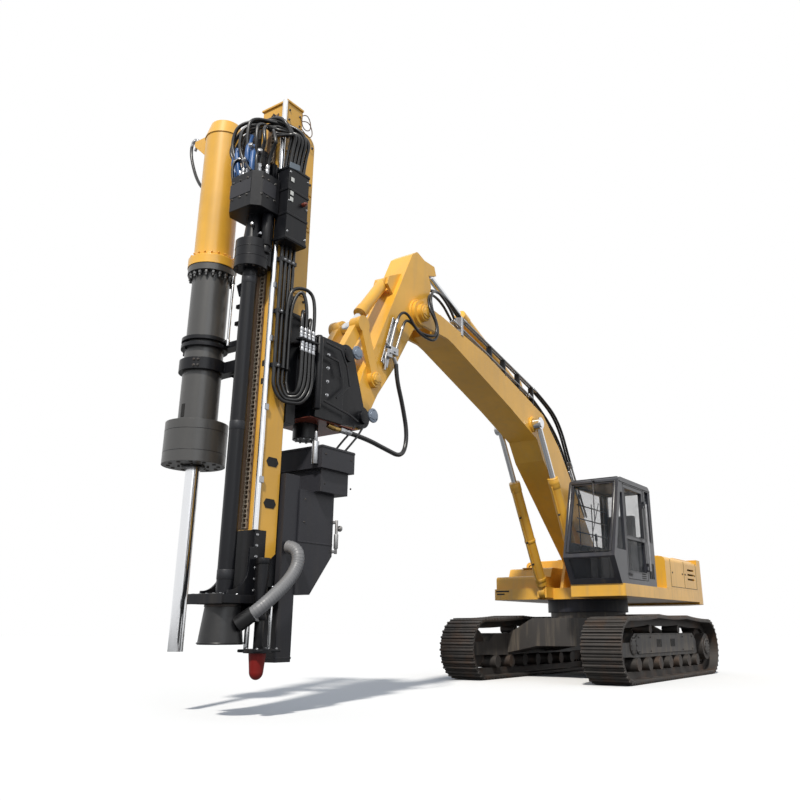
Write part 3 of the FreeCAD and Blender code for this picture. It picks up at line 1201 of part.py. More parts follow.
def build_cylinders():
    """Boom cylinders, arm cylinder and tool cylinder."""
    barrels, rods = [], []
    for sign in (1, -1):
        outer, inner = cylinder(side_name("lift", sign), ("lift_foot_x", "lift_foot_z"),
                                ("lift_eye_x", "lift_eye_z"), "lift_side" if sign > 0 else "-lift_side",
                                cylinder_sizes("lift", "lift_pin"), "lift_eye_half", "lift_cap")
        barrels.append(outer)
        rods.append(inner)
    piece(group("boom_cylinder_barrels", *barrels), "boom_cylinder_barrels")
    piece(group("boom_cylinder_rods", *rods), "boom_cylinder_rods")

    outer, inner = cylinder("crowd", ("crowd_foot_x", "crowd_foot_z"), ("crowd_eye_x", "crowd_eye_z"), "0",
                            cylinder_sizes("crowd", "arm_pin"), "crowd_eye_half")
    piece(outer, "arm_cylinder_barrel")
    piece(inner, "arm_cylinder_rod")

    outer, inner = cylinder("tool", ("tool_foot_x", "tool_foot_z"), ("rocker_eye_x", "rocker_eye_z"), "0",
                            cylinder_sizes("tool", "arm_pin"), "tool_eye_half")
    piece(outer, "tool_cylinder_barrel")
    piece(inner, "tool_cylinder_rod")


# ----------------------------------------------------------------------- arm

def build_arm():
    """Arm box with its bosses and lugs, and the links of the tool cylinder."""
    outline = [
        ("boom_tip_x + 150", "boom_tip_z + 910"), ("boom_tip_x + 30", "boom_tip_z + 1000"),
        ("boom_tip_x - 190", "boom_tip_z + 920"), ("boom_tip_x - 340", "boom_tip_z + 560"),
        ("boom_tip_x - arm_pivot_radius * 0.9", "boom_tip_z"), ("boom_tip_x + 90", "boom_tip_z - 250"),
        ("arm_end_x - 720", "arm_end_z + 860"), ("arm_end_x - 370", "arm_end_z + 400"),
        ("arm_end_x - arm_end_radius * 0.85", "arm_end_z - 20"),
        ("arm_end_x + arm_end_radius * 0.9", "arm_end_z + 40"),
        ("arm_end_x - 60", "arm_end_z + 640"), ("arm_end_x - 290", "arm_end_z + 1040"),
    ]
    hull = profile("arm_hull", "XZ", outline, ("-arm_half_width", "arm_half_width"), {"60": (0, 1, 2)})
    tube = hollow("arm_tube", hull, "arm_wall")
    parts = [
        round_bar("arm_pivot_boss", "Y", BOOM_TIP,
                  ("-boom_half_width + fork_wall + seat_gap", "boom_half_width - fork_wall - seat_gap"),
                  "arm_pivot_radius"),
        round_bar("arm_end_boss", "Y", ("arm_end_x", "arm_end_z"), ("-arm_half_width", "arm_half_width"),
                  "arm_end_radius"),
    ]
    parts += lug_pair("crowd_eye_lug", [
        ("boom_tip_x - 150", "boom_tip_z + 700"), ("boom_tip_x - 60", "boom_tip_z + 985"),
        ("crowd_eye_x - 20", "crowd_eye_z + 80"), ("crowd_eye_x - 70", "crowd_eye_z - 60"),
    ], "crowd_lug_gap", "lug_wall")
    parts += lug_pair("tool_foot_lug", [
        ("tool_foot_x - 330", "tool_foot_z + 260"), ("tool_foot_x - 130", "tool_foot_z - 220"),
        ("tool_foot_x + 60", "tool_foot_z - 50"), ("tool_foot_x + 20", "tool_foot_z + 80"),
    ], "tool_eye_half + seat_gap", "lug_wall")
    parts.append(round_bar("tool_foot_pin", "Y", ("tool_foot_x", "tool_foot_z"),
                           ("-tool_eye_half - lug_wall", "tool_eye_half + lug_wall"), "arm_pin"))
    whole = fuse("arm_whole", tube, *parts)
    bores = [
        round_bar("arm_pivot_bore", "Y", BOOM_TIP, ("-boom_half_width", "boom_half_width"),
                  "boom_pin + seat_gap"),
        round_bar("arm_end_bore", "Y", ("arm_end_x", "arm_end_z"),
                  ("-arm_half_width - 10", "arm_half_width + 10"), "arm_pin + seat_gap"),
    ]
    piece(cut("arm", whole, *bores), "arm")

    span = ("arm_half_width + seat_gap", "arm_half_width + seat_gap + link_wall")
    foot, eye = ("rocker_foot_x", "rocker_foot_z"), ("rocker_eye_x", "rocker_eye_z")
    piece(group("side_links", *[link(side_name("side_link", sign), foot, eye, mirrored(sign, *span),
                                     "link_radius", "link_waist") for sign in (1, -1)]), "side_links")
    arms = [link(side_name("power_arm", sign), eye, ("head_pin_x", "head_pin_z"),
                 mirrored(sign, "power_inner", "arm_half_width"), "power_radius", "link_waist")
            for sign in (1, -1)]
    tie = round_bar("power_tie", "Y", ("head_pin_x", "head_pin_z"), ("-arm_half_width", "arm_half_width"),
                    "power_radius * 0.9")
    piece(fuse("power_link", tie, *arms), "power_link")

    piece(box("valve", ("boom_tip_x + 560", "boom_tip_x + 560 + valve_width"),
              ("arm_half_width", "arm_half_width + valve_depth"),
              ("boom_tip_z - 700", "boom_tip_z - 700 + valve_length")), "arm_valve")


def link(name, foot, eye, span, radius, waist):
    """Flat link with round ends between two pins."""
    run, rise = f"(({eye[0]}) - ({foot[0]}))", f"(({eye[1]}) - ({foot[1]}))"
    reach = f"sqrt({run}^2 + {rise}^2)"
    bar = doc.addObject("Part::Box", f"{name}_bar")
    bar.Placement = Placement(Vector(), Rotation(Vector(0, 1, 0), 30))
    turn = f"atan2({run}; {rise})"
    bind(
        bar,
        Length=f"2 * {waist}",
        Width=f"({span[1]}) - ({span[0]})",
        Height=reach,
        Placement__Rotation__Angle=turn,
        Placement__Base__x=f"({foot[0]}) - {waist} * {rise} / {reach}",
        Placement__Base__y=span[0],
        Placement__Base__z=f"({foot[1]}) + {waist} * {run} / {reach}",
    )
    return fuse(name, bar, round_bar(f"{name}_foot", "Y", foot, span, radius),
                round_bar(f"{name}_eye", "Y", eye, span, radius))


# ----------------------------------------------------------- tool head and mast

def build_head():
    """Bracket on the arm's end with the fixed half of the swing ring."""
    shell = hollow("head_box", box("head_block", ("head_rear", "head_front"),
                                   ("-head_half_width", "head_half_width"), ("head_floor", "head_top")),
                   "head_wall")
    ears = []
    for sign in (1, -1):
        span = mirrored(sign, "arm_half_width + seat_gap", "arm_half_width + seat_gap + ear_wall")
        ears.append(profile(side_name("ear", sign), "XZ", [
            ("arm_end_x - 90", "arm_end_z - 60"), ("arm_end_x + 20", "arm_end_z - 130"),
            ("head_rear + 40", "head_floor + 20"), ("head_rear + 40", "head_top - 20"),
            ("head_pin_x - 10", "head_pin_z + 130"), ("head_pin_x - 130", "head_pin_z + 40"),
        ], span))
        for tag, pin in (("low", ("arm_end_x", "arm_end_z")), ("high", ("head_pin_x", "head_pin_z"))):
            ears.append(round_bar(side_name(f"ear_{tag}", sign), "Y", pin, span, "ear_radius"))
            cap = mirrored(sign, "arm_half_width + ear_wall - 10",
                           "arm_half_width + seat_gap + ear_wall + pin_cap_reach")
            ears.append(round_bar(side_name(f"ear_cap_{tag}", sign), "Y", pin, cap, "pin_cap"))
    pin = round_bar("arm_end_pin", "Y", ("arm_end_x", "arm_end_z"),
                    ("-arm_half_width - ear_wall", "arm_half_width + ear_wall"), "arm_pin")
    ring = round_bar("head_ring", "X", ("0", "ring_z"), ("head_front - 10", "head_front + ring_depth"),
                     "ring_radius")
    piece(fuse("tool_head", shell, pin, ring, *ears), "tool_head")
    drive = round_bar("swing_motor", "Z", ("(head_rear + head_front) / 2", "0"),
                      ("head_floor - gearbox_height", "head_floor"), "gearbox_radius")
    piece(drive, "swing_drive")


def build_guide():
    """Swinging plate and column that the feed beam slides on."""
    ring = round_bar("swing_ring", "X", ("0", "ring_z"), ("ring_face", "plate_rear + 10"),
                     "ring_radius * 0.95")
    plate = box("swing_plate", ("plate_rear", "guide_front"), ("-plate_half_width", "plate_half_width"),
                ("plate_floor", "plate_top"))
    pads = [box(f"slide_pad{n}", ("guide_front - 10", "beam_rear - seat_gap"),
                ("-column_half_width", "column_half_width"), (floor, f"{floor} + pad_height"))
            for n, floor in enumerate(("plate_floor + 60", "plate_top - pad_height - 60"))]
    level = ("rail_z - rail_wall / 2", "rail_z + rail_wall / 2")
    arm = box("rail_arm_plate", ("guide_front - rail_arm - 10", "guide_front - 10"),
              ("plate_half_width - 5", "rail_inner + 20"), level)
    rail = box("rail_plate", ("beam_rear - rail_back", "beam_rear + rail_ahead"),
               ("rail_inner", "rail_outer"), level)
    piece(fuse("swing_bracket", ring, plate, *pads, arm, rail), "swing_bracket")
    column = profile("column_block", "XZ", [
        ("column_rear", "column_floor"), ("plate_rear - 5", "column_floor"), ("plate_rear - 5", "plate_top"),
        ("guide_front", "plate_top"), ("guide_front", "column_top"), ("column_rear", "column_top"),
    ], ("-column_half_width", "column_half_width"), {"column_round": (5,)})
    piece(hollow("column_tube", column, "column_wall"), "guide_column")


def build_collector():
    """Dust collector that hangs behind the mast."""
    hood = box("hood", ("hood_rear", "hood_front"), ("hood_right", "hood_left"),
               ("hood_top - hood_depth", "hood_top"))
    neck = box("neck", ("hood_rear + neck_inset", "hood_front - neck_inset"),
               ("hood_right + neck_inset", "hood_left - neck_inset"),
               ("hood_top - hood_depth - neck_depth", "hood_top - hood_depth + 10"))
    piece(fuse("collector_hood", hollow("hood_shell", hood, "box_wall"),
               hollow("neck_shell", neck, "box_wall")), "collector_hood")
    filter_top = "hood_top - hood_depth - neck_depth"
    body = profile("filter_block", "XZ", [
        ("filter_rear", "filter_floor"), ("hopper_outlet", "hopper_floor"), ("filter_front", "hopper_floor"),
        ("filter_front", filter_top), ("filter_rear", filter_top),
    ], ("-filter_half_width", "filter_half_width"))
    piece(hollow("filter_shell", body, "box_wall"), "collector_filter")
    leg = box("leg_block", ("leg_rear", "leg_front"),
              ("leg_side - leg_half_width", "leg_side + leg_half_width"), ("leg_foot", "leg_head"))
    strap = box("leg_strap", ("plate_rear + 10", "leg_front"), ("-strap_half", "strap_half"),
                ("leg_head - strap_lap", "plate_floor"))
    piece(fuse("collector_leg", hollow("leg_shell", leg, "box_wall"), strap), "collector_leg")


def chain_shape():
    """Toothed feed chain on the beam's front face, made in code for its row of teeth."""
    front, depth, notch = value("beam_front"), value("chain_thickness"), value("chain_notch")
    low, high = value("foot_plate_top + 20"), value("beam_top - 120")
    count = int((high - low) / value("chain_pitch"))
    pitch = (high - low) / count
    points = [(front, low)]
    for number in range(count):
        z = low + number * pitch
        points += [(front + depth - notch, z + 0.12 * pitch), (front + depth, z + 0.25 * pitch),
                   (front + depth, z + 0.75 * pitch), (front + depth - notch, z + 0.88 * pitch)]
    points.append((front, high))
    width, side = value("chain_width"), value("chain_side")
    return Part.Face(polygon(points, side - width / 2)).extrude(Vector(0, width, 0))


def build_beam():
    """Feed beam with its cap, guide bar and chain."""
    block = profile("beam_block", "XZ", [
        ("beam_rear", "beam_foot_rear"), ("strip_front", "beam_foot_front"),
        ("strip_front", "foot_plate_top"), ("beam_front", "foot_plate_top"), ("beam_front", "beam_top"),
        ("beam_rear", "beam_top"),
    ], ("beam_right", "beam_left"))
    shell = hollow("beam_tube", block, "beam_wall")
    middle = "(beam_right + beam_left) / 2"
    through = ("beam_rear - 10", "beam_front + 10")
    straight = "(slot_height - slot_width) / 2"
    slot = box("beam_slot", through, (f"{middle} - slot_width / 2", f"{middle} + slot_width / 2"),
               (f"beam_top - slot_drop - {straight}", f"beam_top - slot_drop + {straight}"))
    ends = [round_bar(f"beam_slot_end{n}", "X", (middle, f"beam_top - slot_drop + {sign} * {straight}"),
                      through, "slot_width / 2") for n, sign in enumerate((1, -1))]
    piece(cut("beam", shell, slot, *ends), "feed_beam")
    piece(box("beam_cap", ("beam_rear - 5", "beam_front + 20"), ("beam_right - 15", "beam_left + 15"),
              ("beam_top", "beam_top + cap_wall")), "beam_cap")
    piece(round_bar("bar", "Z", ("beam_front + bar_radius", "bar_side"), ("foot_plate_top", "beam_top"),
                    "bar_radius"), "guide_bar")
    chain = doc.addObject("Part::Feature", "chain")
    chain.Shape = chain_shape()
    chain.Placement = Placement()
    piece(chain, "feed_chain")


HOSE_CLIPS = ("3600", "4250", "4900")
DUST_CUFF = (("drill_x - 30", "drill_y + 200", "870"), ("drill_x - 100", "drill_y + 330", "975"))
DUST_ROUTE = (("drill_x - 100.2", "drill_y + 330.4", "975.3"), ("drill_x - 154", "drill_y + 430", "1056"),
              ("stinger_x - 320", "stinger_side + 165", "1380"),
              ("beam_rear - 110", "stinger_side + 150", "1640"), ("beam_rear - 90", "stinger_side", "1660"))


def build_hoses():
    """Hoses down the beam's left side with their blocks, the box at their top, and the dust hose."""
    parts = []
    for number in range(int(value("hose_count"))):
        parts.append(round_bar(f"hose{number}", "Z",
                               (f"beam_rear + hose_rear + {number} * hose_pitch", "hose_side"),
                               ("hose_floor", "hose_box_floor"), "hose_radius"))
    for number, level in enumerate(HOSE_CLIPS):
        parts.append(box(f"hose_clip{number}",
                         ("beam_rear + hose_rear - hose_radius - 8",
                          "beam_rear + hose_rear + (hose_count - 1) * hose_pitch + hose_radius - 2"),
                         ("beam_left", "clip_side"), (level, f"{level} + clip_height")))
    piece(fuse("hoses", *parts), "mast_hoses")
    casing = box("hose_casing", ("beam_rear + hose_box_rear", "beam_rear + hose_box_rear + hose_box_depth"),
                 ("hose_box_inner", "hose_box_side"), ("hose_box_floor", "hose_box_top"))
    foot = box("hose_box_foot_block", ("beam_rear + hose_box_foot", "beam_front - hose_box_foot"),
               ("beam_left", "hose_box_inner + 5"),
               ("hose_box_floor + hose_box_foot", "hose_box_top - hose_box_foot"))
    piece(fuse("hose_case", casing, foot), "hose_box")
    piece(tube("duct", DUST_ROUTE, "duct_radius"), "dust_hose")


def build_foot():
    """Mast foot with the shelf and skirt of the dust hood, and the jack with its spike."""
    block = profile("foot_block", "XZ", [
        ("beam_rear", "foot_floor"), ("beam_front + foot_plate", "foot_floor"),
        ("beam_front + foot_plate", "foot_plate_top"), ("strip_front", "foot_plate_top"),
        ("strip_front", "beam_foot_front"), ("beam_rear", "beam_foot_rear"),
    ], ("beam_right", "beam_left"))
    shelf = box("shelf", ("beam_front", "shelf_front"), ("shelf_right", "shelf_left"),
                ("shelf_top - shelf_wall", "shelf_top"))
    root = "beam_front + foot_plate"
    gussets = [profile(f"gusset{n}", "XZ", [
        (f"{root} - 5", "shelf_top - 5"), (f"{root} + gusset_head + gusset_reach", "shelf_top - 5"),
        (f"{root} + gusset_head + gusset_reach", "shelf_top + gusset_toe"),
        (f"{root} + gusset_head", "shelf_top + gusset_toe"),
        (f"{root} + gusset_head", "shelf_top + gusset_height"), (f"{root} - 5", "shelf_top + gusset_height"),
    ], (low, f"{low} + gusset_wall"), {"gusset_round": (3,)})
        for n, low in enumerate(("beam_right", "beam_left - gusset_wall"))]
    centre = ("drill_x", "drill_y")
    hole = round_bar("shelf_hole", "Z", centre, ("shelf_top - shelf_wall - 10", "foot_plate_top + 10"),
                     "pipe_outer + run_gap * 2")
    beside = round_bar("foot_beside", "Z", ("stinger_x", "stinger_side"),
                       ("foot_floor - 10", "foot_plate_top + 10"), "stinger_radius + seat_gap")
    piece(cut("foot", fuse("foot_whole", block, shelf, *gussets), hole, beside), "mast_foot")

    skirt_top = "shelf_top - shelf_wall"
    skirt = round_bar("skirt_outer", "Z", centre, ("skirt_floor", skirt_top), "skirt_radius", "skirt_neck")
    cuff = tube("dust_cuff", DUST_CUFF, "cuff_radius")
    inside = round_bar("skirt_inner", "Z", centre, ("skirt_floor - 10", f"{skirt_top} + 10"),
                       "skirt_radius - skirt_wall", "skirt_neck - skirt_wall")
    behind = box("skirt_back", ("drill_x - 2 * skirt_radius", "beam_front + foot_plate + 1"),
                 ("drill_y - 2 * skirt_radius", "drill_y + 2 * skirt_radius"),
                 ("skirt_floor - 20", "shelf_top + 20"))
    piece(cut("skirt", fuse("skirt_whole", skirt, cuff), inside, behind), "dust_skirt")

    axis = ("stinger_x", "stinger_side")
    housing = round_bar("stinger_housing", "Z", axis, ("foot_floor - 60", "stinger_top"), "stinger_radius")
    lug = box("stinger_lug", ("stinger_x - 50", "beam_front - seat_gap"), ("beam_left", "stinger_side"),
              ("foot_floor + 40", "stinger_top - 60"))
    rod = round_bar("stinger_shaft", "Z", axis, ("stinger_plate", "foot_floor - 50"), "stinger_rod")
    pad = round_bar("stinger_pad", "Z", axis, ("stinger_plate - foot_pad_wall", "stinger_plate"), "foot_pad")
    piece(fuse("stinger", housing, lug, rod, pad), "foot_jack")
    shank = round_bar("spike_shank", "Z", axis, ("spike_tip + spike_nose", "stinger_plate - foot_pad_wall"),
                      "spike_waist", "spike_radius")
    nose = doc.addObject("Part::Ellipsoid", "spike_nose_round")
    bind(nose, Radius1="spike_nose", Radius2="spike_waist", Placement__Base__x=axis[0],
         Placement__Base__y=axis[1], Placement__Base__z="spike_tip + spike_nose")
    piece(fuse("spike", shank, nose), "foot_spike")


def build_drill():
    """Rotary head on its carriage, and the drill pipe."""
    centre = ("drill_x", "drill_y")
    near, far = "drill_x - rotary_depth / 2 + 60", "drill_x + rotary_depth / 2 + 60"
    left, right = "drill_y + rotary_half_width", "drill_y - rotary_half_width"
    gearbox = profile("rotary_box", "XY", [
        (near, right), (f"{far} - rotary_chamfer", right), (far, f"{right} + rotary_chamfer"),
        (far, f"{left} - rotary_chamfer"), (f"{far} - rotary_chamfer", left), (near, left),
    ], ("rotary_floor", "rotary_top"))
    drum = round_bar("spindle", "Z", centre, ("spindle_floor", "spindle_top"), "spindle_radius")
    neck = round_bar("spindle_neck", "Z", centre, ("spindle_top - 15", "rotary_floor + 30"), "neck_radius",
                     "neck_tip")
    motor = round_bar("swivel", "Z", centre, ("rotary_top - 10", "swivel_top"), "swivel_radius")
    plate = box("carriage", ("beam_front + carriage_gap", "beam_front + carriage_gap + carriage_wall"),
                ("beam_right", "beam_left - 20"), ("carriage_floor", "carriage_top"))
    web = box("carriage_web", ("beam_front + carriage_gap + 20", "drill_x - neck_tip / 2"),
              ("drill_y - 60", "beam_left - 20"), ("spindle_floor + 80", "rotary_floor + 20"))
    pads = []
    for n, (low, high) in enumerate((("beam_right", "chain_side - chain_width / 2 - run_gap"),
                                     ("chain_side + chain_width / 2 + run_gap",
                                      "bar_side - bar_radius - run_gap"))):
        for m, floor in enumerate(("carriage_floor", "carriage_top - carriage_pad")):
            pads.append(box(f"carriage_slide{n}{m}",
                            ("beam_front + seat_gap", "beam_front + carriage_gap + 10"), (low, high),
                            (floor, f"{floor} + carriage_pad")))
    piece(fuse("rotary_head", gearbox, drum, neck, motor, plate, web, *pads), "rotary_head")

    pipe = round_bar("pipe_solid", "Z", centre, ("pipe_floor", "spindle_floor - seat_gap"), "pipe_outer")
    bore = round_bar("pipe_bore", "Z", centre, ("pipe_floor - 10", "spindle_floor + 10"), "pipe_inner")
    socket = round_bar("pipe_socket", "Z", centre, ("pipe_floor - 10", "pipe_floor + socket_depth"),
                       "socket_radius")
    piece(cut("drill_pipe", pipe, bore, socket), "drill_pipe")


def build_splitter():
    """Splitting cylinder beside the beam: barrels, collar, rod and bands."""
    centre = ("split_x", "split_y")
    yellow = round_bar("yellow_tube", "Z", centre, ("flange_z", "barrel_top"), "barrel_radius")
    yellow_flange = round_bar("yellow_flange", "Z", centre, ("flange_z", "flange_z + flange_wall"),
                              "flange_radius")
    bevel = round_bar("yellow_bevel", "Z", centre,
                      ("flange_z + flange_wall", "flange_z + flange_wall + flange_chamfer"), "flange_radius",
                      "barrel_radius")
    cap = round_bar("barrel_cap", "Z", centre, ("barrel_top", "barrel_cap_top"), "barrel_radius + 12",
                    "barrel_cap_half")
    lug = profile("cap_lug", "YZ", [
        ("split_y - barrel_cap_half * 0.75", "barrel_cap_top - 10"),
        ("split_y - cap_lug_reach", "barrel_cap_top - 10"),
        ("split_y - cap_lug_reach", "barrel_cap_top - cap_lug_height - 10"),
        ("split_y - barrel_radius - 30", "barrel_cap_top - cap_lug_drop"),
        ("split_y - barrel_radius + 40", "barrel_cap_top - cap_lug_drop"),
    ], ("split_x - cap_lug_wall / 2", "split_x + cap_lug_wall / 2"))
    bore = round_bar("yellow_bore", "Z", centre, ("flange_z - 10", "barrel_top"), "barrel_bore")
    piece(cut("upper_barrel", fuse("upper_barrel_whole", yellow, yellow_flange, bevel, cap, lug), bore),
          "splitter_upper_barrel")
    grey = round_bar("grey_tube", "Z", centre, ("collar_top", "flange_z"), "barrel_lower_radius")
    grey_flange = round_bar("grey_flange", "Z", centre, ("flange_z - grey_flange_wall", "flange_z"),
                            "flange_radius - 8")
    grey_bore = round_bar("grey_bore", "Z", centre, ("collar_top - 10", "flange_z + 10"), "barrel_bore")
    piece(cut("lower_barrel", fuse("lower_barrel_whole", grey, grey_flange), grey_bore),
          "splitter_lower_barrel")
    collar = round_bar("collar_solid", "Z", centre, ("collar_floor", "collar_top"), "collar_radius")
    throat = round_bar("collar_throat", "Z", centre, ("collar_floor - 10", "collar_top + 10"),
                       "splitter_rod + seat_gap")
    piece(cut("collar", collar, throat), "splitter_collar")
    rod = round_bar("rod_shaft", "Z", centre, ("rod_tip", "collar_floor + rod_hidden + piston_length"),
                    "splitter_rod")
    piston = round_bar("piston", "Z", centre, ("collar_floor + rod_hidden",
                                               "collar_floor + rod_hidden + piston_length"), "piston_radius")
    piece(fuse("rod", rod, piston), "splitter_rod")
    stays = ("stay_rear", "stay_rear + arm_depth")
    beside = ("split_y", "beam_right")

    def around(name, level, half, radius):
        """Cylinder about the splitting cylinder's axis, half its height each way from a level."""
        return round_bar(name, "Z", centre, (f"{level} - {half}", f"{level} + {half}"), radius)

    outer = "barrel_lower_radius + band_wall"
    wide = fuse("band_wide_fused", around("band_wide", "band_low", "band_height / 2", outer),
                box("wide_stay", stays, beside, ("band_low - band_height / 2", "band_low + band_height / 2")))
    clasp = box("band_clasp", ("split_x - clasp_half", "split_x + clasp_half"),
                ("split_y - barrel_lower_radius - band_lug", "split_y - barrel_lower_radius"),
                ("band_mid - thin_pitch / 2 - thin_band / 2", "band_mid + thin_pitch / 2 + thin_band / 2"))
    thin = fuse("band_thin_fused",
                around("band_upper", "band_mid + thin_pitch / 2", "thin_band / 2", outer),
                around("band_lower", "band_mid - thin_pitch / 2", "thin_band / 2", outer), clasp,
                box("double_stay", stays, beside,
                    ("band_mid - band_height / 4", "band_mid + band_height / 4")))
    bracket = box("top_bracket", ("beam_front - bracket_depth", "beam_front"), ("split_y + 60", "beam_right"),
                  ("bracket_floor", "bracket_floor + bracket_height"))
    bands = [
        cut("band_wide_whole", wide, around("wide_hole", "band_low", "band_height", "barrel_lower_radius")),
        cut("band_thin_whole", thin, around("thin_hole", "band_mid", "band_height", "barrel_lower_radius")),
        cut("top_bracket_whole", bracket, around("bracket_hole", "bracket_floor + bracket_height / 2",
                                                 "bracket_height", "barrel_radius")),
    ]
    piece(group("splitter_bands", *bands), "splitter_bands")


# --------------------------------------------------------------- check and write

def check():
    """Stop at any failed object, or a sub-part with no valid shape."""
    bad = [thing.Name for thing in doc.Objects if {"Invalid", "Error"} & set(thing.State)]
    if bad:
        raise RuntimeError(f"failed: {bad}")
    for thing in PIECES:
        if thing.Shape.isNull() or not thing.Shape.isValid() or not thing.Shape.Solids:
            raise RuntimeError(f"no valid solid: {thing.Label}")


def main():
    """Build the document and write each sub-part to its file."""
    fill_sheet()
    for build in (build_undercarriage, build_upper, build_cab, build_boom, build_pipes, build_cylinders,
                  build_arm, build_head, build_guide, build_collector, build_beam, build_hoses, build_foot,
                  build_drill, build_splitter):
        build()
    doc.recompute()
    check()
    os.makedirs("parts", exist_ok=True)
    for thing in PIECES:
        thing.Shape.exportStep(f"parts/{thing.Label}.step")
        print(f"{thing.Label}: {len(thing.Shape.Solids)} solid(s), {thing.Shape.Volume / 1e9:.4f} m3")


main()
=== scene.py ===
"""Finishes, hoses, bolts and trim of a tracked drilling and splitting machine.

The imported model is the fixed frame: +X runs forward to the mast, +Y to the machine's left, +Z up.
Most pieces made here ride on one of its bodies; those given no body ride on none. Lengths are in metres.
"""

from __future__ import annotations

import json
import logging
import math
from dataclasses import dataclass
from enum import Enum
from typing import Any, Iterable, Sequence

import bpy
from mathutils import Matrix, Vector

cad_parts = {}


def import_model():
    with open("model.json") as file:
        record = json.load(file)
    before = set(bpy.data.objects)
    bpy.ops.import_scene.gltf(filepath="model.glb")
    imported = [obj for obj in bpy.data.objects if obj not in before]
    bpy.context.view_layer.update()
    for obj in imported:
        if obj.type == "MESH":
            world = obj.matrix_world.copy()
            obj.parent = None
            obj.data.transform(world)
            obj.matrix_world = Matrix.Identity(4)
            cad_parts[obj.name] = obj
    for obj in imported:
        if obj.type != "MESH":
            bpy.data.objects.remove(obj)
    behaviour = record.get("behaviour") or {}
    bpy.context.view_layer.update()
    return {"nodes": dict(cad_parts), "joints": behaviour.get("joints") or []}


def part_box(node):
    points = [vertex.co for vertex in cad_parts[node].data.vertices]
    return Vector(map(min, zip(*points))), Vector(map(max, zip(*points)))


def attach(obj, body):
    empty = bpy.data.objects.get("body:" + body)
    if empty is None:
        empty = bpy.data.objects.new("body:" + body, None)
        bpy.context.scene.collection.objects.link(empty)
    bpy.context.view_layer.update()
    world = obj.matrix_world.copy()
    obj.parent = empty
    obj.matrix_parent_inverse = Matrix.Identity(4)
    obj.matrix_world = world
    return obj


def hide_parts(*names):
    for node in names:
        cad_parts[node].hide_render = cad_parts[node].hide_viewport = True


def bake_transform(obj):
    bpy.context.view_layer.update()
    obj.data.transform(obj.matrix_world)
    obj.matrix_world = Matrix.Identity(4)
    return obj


log = logging.getLogger("machine")

Colour = tuple[float, float, float]
Point = tuple[float, float, float]
Flat = tuple[float, float]
Thing = bpy.types.Object


class Axis(Enum):
    """A direction that a round part's centre line or a wall can take."""

    X = (1.0, 0.0, 0.0)
    Y = (0.0, 1.0, 0.0)
    Z = (0.0, 0.0, 1.0)

    @property
    def vector(self) -> Vector:
        """The direction as a vector."""
        return Vector(self.value)


FORWARD = Axis.X.vector
LEFT = Axis.Y.vector
RIGHT = -Axis.Y.vector
UP = Axis.Z.vector
DOWN = -Axis.Z.vector
DRILL = (9.05, 0.04)


class Slot(Enum):
    """The record's material slots."""

    YELLOW = "yellow_paint"
    CAB = "cab_paint"
    BLACK = "black_paint"
    GREY = "grey_paint"
    TRACK = "track_steel"
    CHROME = "chrome"
    MACHINED = "machined_steel"
    CHAIN = "chain_steel"
    RUBBER = "rubber"
    GLASS = "glass"
    SEAT = "seat_fabric"
    RED = "red_tip"
    CONSOLE = "console_plastic"


# ------------------------------------------------------------------ shader maths


class Num:
    """A number that varies over a surface, for use in Python expressions."""

    def __init__(self, shader: "Shader", socket: bpy.types.NodeSocket) -> None:
        """Wraps a socket.

        Args:
            shader: The material's builder, which adds the nodes.
            socket: The output that carries the number.
        """
        self.shader = shader
        self.socket = socket

    def math(self, operation: str, *others: "Num | float") -> "Num":
        """Adds a Math node that takes this number first.

        Args:
            operation: The Math node's operation.
            others: Its other inputs.

        Returns:
            The node's result.
        """
        return self.shader.maths(operation, self, *others)

    def __add__(self, other: "Num | float") -> "Num":
        """self + other."""
        return self.math("ADD", other)

    __radd__ = __add__

    def __sub__(self, other: "Num | float") -> "Num":
        """self - other."""
        return self.math("SUBTRACT", other)

    def __rsub__(self, other: float) -> "Num":
        """other - self."""
        return self.shader.maths("SUBTRACT", other, self)

    def __mul__(self, other: "Num | float") -> "Num":
        """self * other."""
        return self.math("MULTIPLY", other)

    __rmul__ = __mul__

    def __truediv__(self, other: "Num | float") -> "Num":
        """self / other."""
        return self.math("DIVIDE", other)

    def __rtruediv__(self, other: float) -> "Num":
        """other / self."""
        return self.shader.maths("DIVIDE", other, self)

    def __pow__(self, other: "Num | float") -> "Num":
        """self ** other."""
        return self.math("POWER", other)

    def least(self, other: "Num | float") -> "Num":
        """The smaller of the two."""
        return self.math("MINIMUM", other)

    def most(self, other: "Num | float") -> "Num":
        """The larger of the two."""
        return self.math("MAXIMUM", other)

    def wave(self) -> "Num":
        """The sine of the number."""
        return self.math("SINE")

    def ramp(self, low: float, high: float) -> "Num":
        """Rises smoothly from 0 where the number is low to 1 where it is high.

        Args:
            low: Where it is 0.
            high: Where it is 1.

        Returns:
            The risen number.
        """
        node = self.shader.node("ShaderNodeMapRange", {"interpolation_type": "SMOOTHSTEP"},
            {"Value": self, "From Min": low, "From Max": high})
        return Num(self.shader, node.outputs["Result"])


